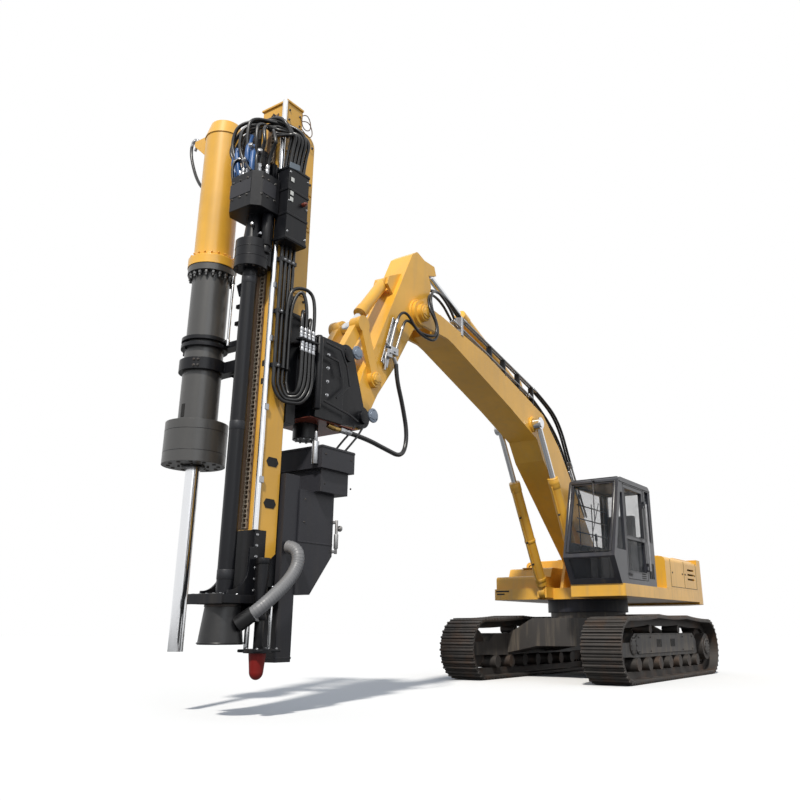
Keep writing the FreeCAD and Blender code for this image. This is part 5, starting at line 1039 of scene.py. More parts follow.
@dataclass
class FeedHoses:
    """Hoses from the box on the beam's side over to the rotary head, bundled in a hump."""

    bench: Bench
    radius: float = 0.022
    box_top: float = 6.05
    crown: float = 6.72

    def line(self, number: int, landing: Point, reach: float, lift: float) -> list[Point]:
        """The line of one hose.

        Args:
            number: Which place in the box it leaves from.
            landing: Where it ends on the rotary head.
            reach: How far it swings out before it turns down.
            lift: How far its crown lies above the lowest one.

        Returns:
            The points that the line is drawn towards.
        """
        x, y = 8.63 + 0.058 * (number % 5), 0.3 + 0.07 * (number // 5)
        top = self.crown + lift
        return [(x, y, self.box_top), (x, y + 0.02, 6.28), (x + 0.01, y + 0.1, 6.5),
            (x + 0.1, y + 0.02, top - 0.06), (8.93, 0.12, top + 0.05),
            (landing[0] + 0.02, landing[1] - reach * 0.45, top), (landing[0] + 0.04, landing[1] - reach,
            top - 0.24), (landing[0] + 0.02, landing[1] - reach * 0.75, 6.28),
            (landing[0], landing[1] - reach * 0.1, 6.12), (landing[0], landing[1], landing[2] + 0.12)]

    def build(self) -> None:
        """Builds the hoses, their ends, sleeves and the box's trim."""
        bench = self.bench
        plan = (((8.985, -0.165, 5.88), 0.32, 0.0), ((9.045, -0.17, 5.88), 0.28, 0.05),
            ((9.105, -0.165, 5.88), 0.23, -0.04), ((9.165, -0.14, 5.88), 0.16, 0.03),
            ((8.975, -0.09, 5.88), 0.26, 0.07), ((9.185, -0.06, 5.88), 0.08, -0.06),
            ((9.19, 0.02, 5.88), 0.02, 0.0), ((9.175, 0.1, 5.88), -0.05, -0.1),
            ((9.16, 0.175, 5.88), -0.1, -0.16), ((9.08, 0.225, 5.88), -0.16, -0.2))
        hoses = [bench.tube(self.line(number, *row), self.radius) for number, row in enumerate(plan)]
        piece = bench.piece("feed_hoses", hoses, "hose_rubber", None)
        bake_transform(piece)
        fit = HoseEnd(bench, nut=0.032, crimp=0.029, length=0.16)
        up = (0.0, 0.0, 1.0)
        ends = [fit.build((place[0], place[1], place[2] - 0.002), up) for place, _, _ in plan]
        ends += [fit.build((9.05 + x, 0.04 + y, 6.02 + z), (x, y, 0.05)) for x, y,
            z in ((0.1, 0.0, 0.0), (0.07, 0.08, 0.1), (0.06, -0.09, 0.12), (0.09, 0.03, 0.18))]
        bench.piece("feed_hose_ends", ends, "turned_steel", "drill_carriage")
        sleeves = [bench.tube([(9.13, -0.22, 5.98), (9.16, -0.27, 6.1), (9.15, -0.3, 6.26),
            (9.12, -0.27, 6.42)], 0.034), bench.tube([(9.17, -0.15, 5.98), (9.2, -0.17, 6.12),
            (9.18, -0.21, 6.3)], 0.032), bench.tube([(9.2, 0.02, 6.02), (9.23, 0.03, 6.16), (9.2, 0.01, 6.34),
            (9.14, -0.03, 6.5)], 0.036), bench.tube([(9.22, 0.12, 5.74), (9.235, 0.13, 5.92),
            (9.225, 0.12, 6.12), (9.18, 0.08, 6.3)], 0.036)]
        bench.piece("hose_sleeves", sleeves, "blue_sleeve", "drill_carriage")
        short = [bench.tube([(9.19, 0.05, 6.04), (9.26, 0.06, 6.06), (9.29, 0.1, 5.98), (9.27, 0.16, 5.9)],
            0.018), bench.tube([(9.13, 0.15, 6.13), (9.22, 0.2, 6.18), (9.26, 0.22, 6.05),
            (9.24, 0.22, 5.88)], 0.018), bench.tube([(9.12, -0.08, 6.16), (9.22, -0.16, 6.22),
            (9.26, -0.2, 6.06), (9.24, -0.17, 5.88)], 0.018)]
        bench.piece("head_hoses", short, "hose_rubber", "drill_carriage")
        self.box_trim()

    def box_trim(self) -> None:
        """Builds the box's rims, lid, tags, port and screws."""
        bench = self.bench
        low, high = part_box("hose_box")
        rims = [bench.block((low.x - 0.008, low.y + 0.002, z), (high.x + 0.008, high.y + 0.008, z + 0.035),
            0.005) for z in (low.z + 0.01, 5.42, 5.74, high.z - 0.03)]
        bench.piece("hose_box_rims", rims, "black_enamel", "mast")
        lid = [bench.plate(((high.x + 0.012, 6.02), (high.x + 0.012, 6.1), (low.x + 0.18, 6.13),
            (low.x + 0.18, 6.05)), Axis.Y, high.y + 0.002, high.y + 0.014, 0.003)]
        bench.piece("hose_box_lid", lid, "slate_enamel", "mast")
        tags = [bench.block((8.835, high.y + 0.004, z), (8.885, high.y + 0.009, z + 0.055), 0.002)
            for z in (5.6, 5.68, 5.86)]
        bench.piece("hose_box_tags", tags, "tag_plastic", "mast")
        red = bench.join([bench.bar((8.665, high.y, 5.64), (8.665, high.y + 0.05, 5.64), 0.026, sides=14),
            bench.bar((8.665, high.y + 0.04, 5.64), (8.665, high.y + 0.07, 5.64), 0.018, sides=6)])
        bench.piece("hose_box_port", red, "rust_cap", "mast")
        screws = [bench.bolt((x, high.y, z), LEFT, 0.018) for x in (8.6, 8.895) for z in (5.2, 5.6, 5.98)]
        bench.piece("hose_box_screws", screws, "turned_steel", "mast")


@dataclass
class DustHose:
    """Ribbed suction hose from the dust skirt's cuff to the collector's leg."""

    bench: Bench
    radius: float = 0.064
    rib: float = 0.0065
    pitch: float = 0.03
    line: tuple[Point, ...] = ((8.9498, 0.3704, 0.9753), (8.896, 0.47, 1.056), (8.48, 0.475, 1.38),
        (8.44, 0.46, 1.64), (8.46, 0.31, 1.66))

    def walk(self) -> list[tuple[Vector, Vector]]:
        """Steps along the hose's line, one rib apart.

        Returns:
            The places, each with the line's direction there.
        """
        curve = bpy.data.curves.new("walk", "CURVE")
        curve.dimensions, curve.resolution_u = "3D", 40
        spline = curve.splines.new("NURBS")
        spline.points.add(len(self.line) - 1)
        for point, place in zip(spline.points, self.line):
            point.co = (*place, 1.0)
        spline.order_u, spline.use_endpoint_u = 3, True
        thing = bpy.data.objects.new("walk", curve)
        bpy.context.scene.collection.objects.link(thing)
        bpy.context.view_layer.update()
        mesh = bpy.data.meshes.new_from_object(thing)
        places = [vertex.co.copy() for vertex in mesh.vertices]
        bpy.data.objects.remove(thing)
        found, gone = [], 0.0
        for near, far in zip(places, places[1:]):
            gone += (far - near).length
            if gone >= self.pitch:
                gone -= self.pitch
                found.append((far, (far - near).normalized()))
        return found

    def build(self) -> None:
        """Builds the hose with its ribs."""
        bench = self.bench
        parts = [bench.tube(self.line, self.radius + 0.003, 6)]
        for place, way in self.walk():
            bench.fresh()
            bpy.ops.mesh.primitive_torus_add(location=place, rotation=way.to_track_quat("Z", "Y").to_euler(),
                major_segments=24, minor_segments=6, major_radius=self.radius, minor_radius=self.rib)
            parts.append(bench.smooth(bench.placed(), 60.0))
        piece = bench.piece("dust_hose_ribbed", parts, "duct_rubber", None)
        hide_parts("dust_hose")
        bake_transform(piece)
        straps = [bench.bar((8.935, 0.349, 0.955), (8.927, 0.361, 0.967), 0.084, sides=32, edge=0.002)]
        bench.piece("dust_cuff_strap", straps, "turned_steel", "mast")


@dataclass
class BoomPipes:
    """Steel pipes along the boom's top left edge, with hoses round its bend."""

    bench: Bench
    radius: float = 0.019
    lanes: tuple[float, ...] = (0.262, 0.212)
    low: tuple[Flat, ...] = ((5.05, 5.36), (2.42, 4.705), (1.56, 4.24), (1.12, 3.6), (0.55, 2.885))
    high: tuple[Flat, ...] = ((4.77, 5.47), (2.25, 4.87), (1.45, 4.56), (1.03, 3.8), (0.42, 2.86))
    clamps: tuple[Flat, ...] = ((2.5, 4.62), (3.0, 4.77), (3.5, 4.91), (3.95, 5.05))

    def build(self) -> None:
        """Builds the pipes, the hoses, the nuts and the clamps in place of the plain ones."""
        bench = self.bench
        pipes, hoses, nuts = [], [], []
        for lane in self.lanes:
            for start, bend, crest, low, end in (self.low, self.high):
                a, b, c, d, e = ((x, lane, z) for x, z in (start, bend, crest, low, end))
                leave = tuple(near + (far - near) * 0.08 for near, far in zip(b, a))
                meet = tuple(near + (far - near) * 0.06 for near, far in zip(d, e))
                pipes += [bench.bar(a, leave, self.radius, sides=16),
                    bench.bar(meet, e, self.radius, sides=16)]
                hoses.append(bench.tube([leave, b, c, d, meet], self.radius + 0.003))
                for tip, far in ((leave, b), (meet, d)):
                    way = (Vector(far) - Vector(tip)).normalized()
                    nuts.append(bench.bar(Vector(tip) - way * 0.03, Vector(tip) + way * 0.02, 0.029, sides=6))
                    nuts.append(bench.bar(Vector(tip) + way * 0.02, Vector(tip) + way * 0.1, 0.0255,
                        sides=16))
        piece = bench.piece("boom_pipe_runs", pipes, "pipe_steel", "boom")
        bench.piece("boom_bend_hoses", hoses, "hose_rubber", "boom")
        bench.piece("boom_pipe_nuts", nuts, "turned_steel", "boom")
        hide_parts("boom_pipes")
        blocks = []
        for x, top in self.clamps:
            lift = self.low[0][1] + (x - self.low[0][0]) * 0.249
            blocks.append(bench.block((x - 0.02, 0.185, top - 0.03), (x + 0.02, 0.28, lift + 0.2), 0.006))
            blocks.append(bench.bolt((x, 0.237, lift + 0.2), UP, 0.022))
        blocks.append(bench.plate(((0.8, 3.113), (0.825, 3.144), (0.66, 3.277), (0.635, 3.246)), Axis.Y,
            0.185, 0.28))
        bench.piece("boom_pipe_clamps", blocks, "black_enamel", "boom")


# ------------------------------------------------------------------ splitter, feed beam and foot


@dataclass
class SplitterTrim:
    """Bolts, grooves, clamp parts, port and hose of the splitting cylinder."""

    bench: Bench
    axis_x: float = 8.9
    axis_y: float = -0.81

    def at(self, angle: float, radius: float, z: float) -> Point:
        """A place round the splitter's axis.

        Args:
            angle: The angle in degrees, from the machine's front towards its left.
            radius: The distance from the axis.
            z: The height.

        Returns:
            The place.
        """
        turn = math.radians(angle)
        return self.axis_x + radius * math.cos(turn), self.axis_y + radius * math.sin(turn), z

    def collar_ring(self, low: float, high: float, radius: float) -> Thing:
        """A closed hoop with rounded edges round the axis."""
        return self.bench.bar((self.axis_x, self.axis_y, low), (self.axis_x, self.axis_y, high), radius,
            sides=64, edge=0.005)

    def bolts(self) -> None:
        """Builds the flange's and the collar's bolts."""
        bench, middle = self.bench, (self.axis_x, self.axis_y, 0.0)
        up = UP
        under = [bench.bar(self.at(0.0, 0.252, 4.915), self.at(0.0, 0.252, 4.872), 0.024, sides=6,
            edge=0.002), bench.bar(self.at(0.0, 0.252, 4.88), self.at(0.0, 0.252, 4.842), 0.014, sides=10,
            edge=0.002)]
        made = bench.ring(bench.join(under), middle, Axis.Z, 20)
        bench.piece("flange_nuts", made, "grey_bolt", "mast")
        made = bench.ring(bench.bolt(self.at(9.0, 0.262, 5.148), up, 0.02), middle, Axis.Z, 20)
        bench.piece("flange_bolts", made, "machine_yellow", "mast")
        made = bench.ring(bench.bolt(self.at(12.0, 0.245, 3.062), up, 0.026), middle, Axis.Z, 14)
        bench.piece("collar_bolts", made, "turned_steel", "mast")
        made = bench.ring(bench.bar(self.at(15.0, 0.275, 2.586), self.at(15.0, 0.275, 2.572), 0.022,
            sides=12), middle, Axis.Z, 12)
        made += bench.ring(bench.bar(self.at(0.0, 0.16, 2.586), self.at(0.0, 0.16, 2.566), 0.016, sides=6),
            middle, Axis.Z, 8)
        bench.piece("collar_plugs", made, "dark_bolt", "mast")

    def hoops(self) -> None:
        """Builds the collar's hoops, the gland, the cap's rim and a dark block in the window."""
        bench = self.bench
        hoops = [self.collar_ring(2.705, 2.712, 0.3515), self.collar_ring(2.95, 2.957, 0.3515),
            self.collar_ring(2.56, 2.592, 0.128)]
        bench.piece("collar_lines", hoops, "black_enamel", "mast")
        rims = [bench.cut(self.collar_ring(low, high, radius), self.collar_ring(low - 0.01, high + 0.01,
            0.23)) for low, high, radius in ((6.855, 6.872, 0.2385), (5.146, 5.158, 0.24))]
        bench.piece("cap_weld", rims, "machine_yellow", "mast")
        slot = bench.block((9.11, self.axis_y - 0.028, 3.11), (9.128, self.axis_y + 0.028, 3.27), 0.008)
        bench.piece("barrel_window", slot, "shadow_black", "mast")

    def clamps(self) -> None:
        """Builds the bands' bolts and lugs, the stays' gussets and the thin rod beside the barrel."""
        bench = self.bench
        steel = [bench.bolt((8.94, -1.07, z), FORWARD, 0.03) for z in (3.985, 4.055)]
        steel += [bench.bolt((8.94, -1.115, z), FORWARD, 0.024) for z in (3.985, 4.055)]
        steel += [bench.bolt(self.at(angle, 0.268, z), Vector(self.at(angle, 1.0, 0.0))
            - Vector(self.at(angle, 0.0, 0.0)), 0.024) for angle in (28.0, 38.0) for z in (3.705, 3.775)]
        bench.piece("band_bolts", steel, "dark_bolt", "mast")
        ears = [bench.block((9.055, -0.735, 3.665), (9.115, -0.7, 3.815), 0.006),
            bench.block((9.075, -0.96, 3.955), (9.125, -0.9, 4.085), 0.006),
            bench.block((9.075, -0.88, 3.94), (9.135, -0.862, 4.1), 0.005)]
        bench.piece("band_ears", ears, "black_enamel", "mast")
        rod = [bench.bar((8.8, -0.525, 4.02), (8.8, -0.525, 4.88), 0.016, sides=16),
            bench.bar((8.8, -0.525, 4.8), (8.8, -0.525, 4.9), 0.026, sides=6),
            bench.bar((8.8, -0.525, 4.0), (8.8, -0.525, 4.08), 0.024, sides=16)]
        bench.piece("side_rod", rod, "hard_chrome", "mast")
        arms = [bench.block((8.66, -0.56, z), (8.7, -0.22, z + 0.05), 0.006) for z in (4.3, 4.52, 4.76)]
        arms += [bench.plate(((-0.56, 4.82), (-0.22, 4.9), (-0.22, 4.62), (-0.5, 4.66)), Axis.X, 8.7, 8.72,
            0.004), bench.plate(((-0.56, 3.66), (-0.22, 3.5), (-0.22, 3.66)), Axis.X, 8.7, 8.72, 0.004)]
        bench.piece("stay_gussets", arms, "black_enamel", "mast")
        top = bench.plate(((-0.52, 6.86), (-0.2, 6.86), (-0.2, 6.7), (-0.3, 6.7), (-0.52, 6.82)), Axis.X,
            8.815, 8.845)
        bench.piece("top_bracket_web", top, "black_enamel", "mast")

    def port(self) -> None:
        """Builds the port on the cap's lug, with its hose."""
        bench, x = self.bench, self.axis_x
        metal = [bench.bar((x, -1.36, 7.046), (x, -1.36, 7.085), 0.03, sides=6),
            bench.bar((x, -1.36, 7.08), (x, -1.42, 7.11), 0.022, sides=16),
            bench.bar((x, -1.41, 7.1), (x, -1.465, 7.075), 0.027, sides=6),
            bench.bar((x, -1.46, 7.08), (x, -1.48, 7.02), 0.022, sides=16),
            bench.bar((x, -1.37, 6.985), (x, -1.4, 6.93), 0.02, sides=6)]
        bench.piece("cap_port", metal, "turned_steel", "mast")
        hose = bench.tube([(x, -1.478, 7.03), (x, -1.485, 6.95), (x, -1.44, 6.78), (x, -1.33, 6.52),
            (x, -1.2, 6.32), (x - 0.02, -1.1, 6.24), (x - 0.04, -1.03, 6.2)], 0.021)
        bench.piece("cap_hose", hose, "hose_rubber", "mast")

    def build(self) -> None:
        """Builds all of it."""
        self.bolts()
        self.hoops()
        self.clamps()
        self.port()


@dataclass
class FeedChain:
    """Roller chain down the beam's front, link by link."""

    bench: Bench
    pitch: float = 0.05
    plate: float = 0.006
    roller: float = 0.0105

    def build(self) -> None:
        """Builds the chain in place of the plain strip, its guides, and a brown sheet of painted shade behind
        it.
        """
        bench = self.bench
        low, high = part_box("feed_chain")
        middle = (low.x + high.x) / 2 + 0.001
        count = int((high.z - low.z) / (2 * self.pitch))
        start = low.z + 0.01
        links = []
        for offset, inset in ((0.0, 0.0), (self.pitch, self.plate + 0.001)):
            z = start + offset
            for y, way in ((low.y + inset, 1.0), (high.y - inset, -1.0)):
                links.append(bench.block((low.x + 0.003, min(y, y + way * self.plate), z - 0.008),
                    (high.x - 0.001, max(y, y + way * self.plate), z + self.pitch + 0.008), 0.0))
            links.append(bench.bar((middle, low.y + 0.013, z), (middle, high.y - 0.013, z), self.roller,
                sides=10, edge=0.0))
        made = bench.row(bench.join(links), (0.0, 0.0, 2 * self.pitch), count)
        piece = bench.piece("chain_links", made, "chain_steel", "mast")
        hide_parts("feed_chain")
        guides_and_shade_sheet = [bench.block((low.x - 0.001, y, low.z), (low.x + 0.014, y + 0.007, high.z), 0.0)
            for y in (low.y - 0.012, high.y + 0.005)]
        # Painted shade: this thin brown sheet across the beam's front, behind and beside the chain, stands in
        # for shade there; the two narrow strips above are real guides.
        guides_and_shade_sheet.append(bench.block((low.x - 0.002, low.y - 0.085, low.z),
            (low.x + 0.003, high.y + 0.005, high.z), 0.0))
        bench.piece("chain_guides_and_painted_shade", guides_and_shade_sheet, "rust_steel_and_painted_shade", "mast")


@dataclass
class BeamTrim:
    """Slots, bolts, wire loops and rear bracing of the feed beam."""

    bench: Bench

    def build(self) -> None:
        """Builds the trim on the beam and its cap."""
        bench = self.bench
        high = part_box("feed_beam")[1]
        front, left = high.x, high.y
        dark = [bench.block((front - 0.002, 0.1, z), (front + 0.003, 0.168, z + 0.068), 0.0015)
            for z in (3.42, 3.63)]
        dark.append(bench.plate(((0.02, 6.98), (0.02, 6.84), (-0.02, 6.8), (-0.06, 6.84), (-0.06, 6.98),
            (-0.02, 7.02)), Axis.X, front - 0.001, front + 0.004, 0.0))
        dark += [bench.plate(((8.62, 2.05 + z), (8.74, 2.05 + z), (8.77, 2.1 + z), (8.74, 2.15 + z),
            (8.62, 2.15 + z), (8.59, 2.1 + z)), Axis.Y, left - 0.001, left + 0.004, 0.0) for z in (0.0, 0.45)]
        bench.piece("beam_slots", dark, "shadow_black", "mast")
        heads = [bench.bar((front - 0.002, y, z), (front + 0.0035, y, z), 0.013, sides=6, edge=0.0) for y,
            z in ((-0.16, 6.98), (-0.16, 6.84), (0.16, 6.98), (0.16, 6.84))]
        heads += [bench.bolt((x, left, z), LEFT, 0.022) for x in (8.6, 8.78) for z in (7.0, 6.86, 6.6, 6.4)]
        bench.piece("beam_bolts", heads, "dark_bolt", "mast")
        keeps: list[Thing] = []
        for z in (2.3, 3.1, 3.9, 4.55):
            keeps.append(bench.block((front - 0.006, 0.235, z), (front + 0.05, 0.252, z + 0.07), 0.004))
        bench.piece("bar_keeps", keeps, "turned_steel", "mast")
        column_low, column_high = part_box("guide_column")
        x0, x1, y = column_low.x, column_high.x, column_high.y
        ribs = [bench.plate(((x0 + 0.03, 5.98), (x0 + 0.06, 5.98), (x1 - 0.03, 5.55), (x1 - 0.06, 5.55)),
            Axis.Y, y - 0.001, y + 0.012), bench.plate(((x0 + 0.03, 5.55), (x0 + 0.06, 5.55),
            (x1 - 0.03, 5.98), (x1 - 0.06, 5.98)), Axis.Y, y - 0.001, y + 0.012),
            bench.block((x0 + 0.01, y - 0.001, 5.5), (x1 - 0.01, y + 0.012, 5.53), 0.003),
            bench.block((x0 + 0.01, y - 0.001, 6.0), (x1 - 0.01, y + 0.012, 6.03), 0.003),
            bench.block((x0 + 0.01, y - 0.001, 4.62), (x1 - 0.01, y + 0.012, 4.65), 0.003)]
        bench.piece("column_ribs", ribs, "machine_yellow", "swing")
        bolts = [bench.bolt((x, y, z), LEFT, 0.026) for x in (x0 + 0.045, x1 - 0.045)
            for z in (4.28, 4.42, 4.56, 6.16, 6.7)]
        bench.piece("column_bolts", bolts, "dark_bolt", "swing")
        wires = [bench.tube([(8.56, 0.225, 7.04), (8.52, 0.25, 7.08), (8.44, 0.25, 7.03), (8.42, 0.25, 6.9),
            (8.5, 0.24, 6.84), (8.58, 0.235, 6.9), (8.57, 0.23, 7.01)], 0.006, 2),
            bench.tube([(8.57, 0.225, 6.95), (8.5, 0.26, 6.99), (8.41, 0.26, 6.92), (8.4, 0.26, 6.8),
            (8.48, 0.25, 6.76), (8.57, 0.235, 6.84)], 0.006, 2)]
        bench.piece("wire_loops", wires, "rust_steel_and_painted_shade", "mast")


@dataclass
class HeadDriveTrim:
    """Bolts, plugs, plates and pipes of the rotary head."""

    bench: Bench

    def build(self) -> None:
        """Builds the rotary head's trim."""
        bench = self.bench
        middle = (*DRILL, 0.0)
        down = DOWN
        heads = bench.ring(bench.bolt((9.205, 0.04, 4.742), down, 0.022), middle, Axis.Z, 12)
        heads += bench.ring(bench.bolt((9.215, 0.06, 5.078), UP, 0.018), middle, Axis.Z, 12)
        heads += [bench.bolt((9.288, y, z), FORWARD, 0.024) for y in (-0.1, 0.02, 0.14) for z in (5.58, 5.8)]
        heads += [bench.bolt((x, 0.298, z), LEFT, 0.024) for x in (9.0, 9.11, 9.2) for z in (5.58, 5.8)]
        bench.piece("rotary_bolts", heads, "dark_bolt", "drill_carriage")
        hoops = [bench.bar((*DRILL, z), (*DRILL, z + 0.012), radius, sides=48, edge=0.004) for z,
            radius in ((4.86, 0.193), (4.97, 0.193), (6.2, 0.115), (6.05, 0.115))]
        bench.piece("rotary_hoops", hoops, "black_enamel", "drill_carriage")
        plates = [bench.block((8.99, 0.298, 5.6), (9.2, 0.306, 5.78), 0.004),
            bench.block((9.286, -0.14, 5.6), (9.296, 0.2, 5.78), 0.004)]
        bench.piece("rotary_covers", plates, "box_grey", "drill_carriage")
        ports = [bench.bar((9.12, 0.12, 5.24), (9.2, 0.17, 5.24), 0.02, sides=6),
            bench.bar((9.05, 0.11, 5.16), (9.08, 0.2, 5.16), 0.018, sides=6)]
        bench.piece("rotary_ports", ports, "turned_steel", "drill_carriage")
        motor = [bench.bar((8.995, 0.205, 5.02), (8.995, 0.205, 5.43), 0.062, sides=32, edge=0.01),
            bench.bar((8.995, 0.205, 4.93), (8.995, 0.205, 5.02), 0.05, sides=32, edge=0.01)]
        bench.piece("rotary_motor", motor, "black_enamel", "drill_carriage")
        joints = [bench.bar((*DRILL, z), (*DRILL, z + 0.1), 0.089, sides=40, edge=0.006)
            for z in (1.3, 2.85, 4.56)]
        bench.piece("pipe_joints", joints, "drill_steel", "drill_string")


@dataclass
class FootTrim:
    """Bolts, flanges and strips of the mast's foot, the dust skirt and the jack."""

    bench: Bench

    def build(self) -> None:
        """Builds the trim round the foot."""
        bench = self.bench
        heads = bench.row(bench.bolt((8.825, 0.22, 1.2), LEFT, 0.022), (0.0, 0.0, 0.112), 6)
        heads += bench.row(bench.bolt((8.825, -0.2, 1.2), RIGHT, 0.022), (0.0, 0.0, 0.112), 6)
        bench.piece("foot_bolts", heads, "turned_steel", "mast")
        edge = [bench.block((9.276, -0.225, 1.06), (9.292, 0.285, 1.16), 0.005),
            bench.block((8.9, -0.224, 1.062), (9.285, -0.208, 1.158), 0.005)]
        bench.piece("shelf_edge", edge, "black_enamel", "mast")
        screws = bench.row(bench.bolt((9.262, -0.17, 1.148), UP, 0.026), (0.0, 0.1, 0.0), 5)
        screws += bench.row(bench.bolt((8.97, -0.224, 1.11), RIGHT, 0.03), (0.11, 0.0, 0.0), 3)
        screws += bench.ring(bench.bolt((9.235, 0.04, 1.148), UP, 0.024), (*DRILL, 0.0), Axis.Z, 8)
        bench.piece("shelf_bolts", screws, "turned_steel", "mast")
        bands = [bench.cut(bench.bar((*DRILL, 1.035), (*DRILL, 1.065), 0.184, sides=48, edge=0.004),
            bench.bar((*DRILL, 1.0), (*DRILL, 1.1), 0.17, sides=48, edge=0.0))]
        bench.piece("skirt_band", bands, "dark_bolt", "mast")
        folds = []
        for z, radius in ((0.695, 0.224),):
            bench.fresh()
            bpy.ops.mesh.primitive_torus_add(location=(*DRILL, z), major_segments=56, minor_segments=8,
                major_radius=radius, minor_radius=0.008)
            ring = bench.placed()
            folds.append(bench.cut(ring, bench.block((8.7, -0.3, z - 0.03), (8.866, 0.4, z + 0.03), 0.0)))
        bench.piece("skirt_folds", [bench.smooth(fold) for fold in folds], "skirt_rubber", "mast")
        x, y = 8.8, 0.31
        jack = [bench.bar((x, y, 1.46), (x, y, 1.52), 0.07, sides=32),
            bench.bar((x, y, 0.915), (x, y, 0.965), 0.07, sides=32)]
        jack += bench.ring(bench.bolt((x + 0.05, y, 0.917), DOWN, 0.016), (x, y, 0.0), Axis.Z, 6)
        bench.piece("jack_rings", jack, "black_enamel", "mast")
        rods = [bench.bar((8.845, 0.19, 0.62), (8.845, 0.19, 0.985), 0.026, sides=24),
            bench.bar((8.64, 0.3, 0.62), (8.64, 0.3, 1.25), 0.015, sides=16)]
        bench.piece("jack_rods", rods, "hard_chrome", "mast")
        jack_base = [bench.block((8.6, 0.15, 0.606), (8.925, 0.44, 0.636), 0.01),
            bench.bar((x, y, 0.63), (x, y, 0.925), 0.048, sides=32),
            bench.block((8.61, 0.222, 1.16), (8.68, 0.33, 1.24), 0.006)]
        bench.piece("jack_base", jack_base, "black_enamel", "mast")
        pad = [bench.bolt((px, py, 0.636), UP, 0.022) for px in (8.63, 8.74, 8.895) for py in (0.4, 0.255)]
        bench.piece("jack_base_bolts", pad, "turned_steel", "mast")
        spike_low, spike_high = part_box("foot_spike")
        sx, sy = (spike_low.x + spike_high.x) / 2, (spike_low.y + spike_high.y) / 2
        hoop = bench.bar((sx, sy, spike_high.z - 0.035), (sx, sy, spike_high.z - 0.004), 0.078, sides=40)
        bench.piece("spike_ring", hoop, "turned_steel", "mast")


# ------------------------------------------------------------------ arm, boom and head trim


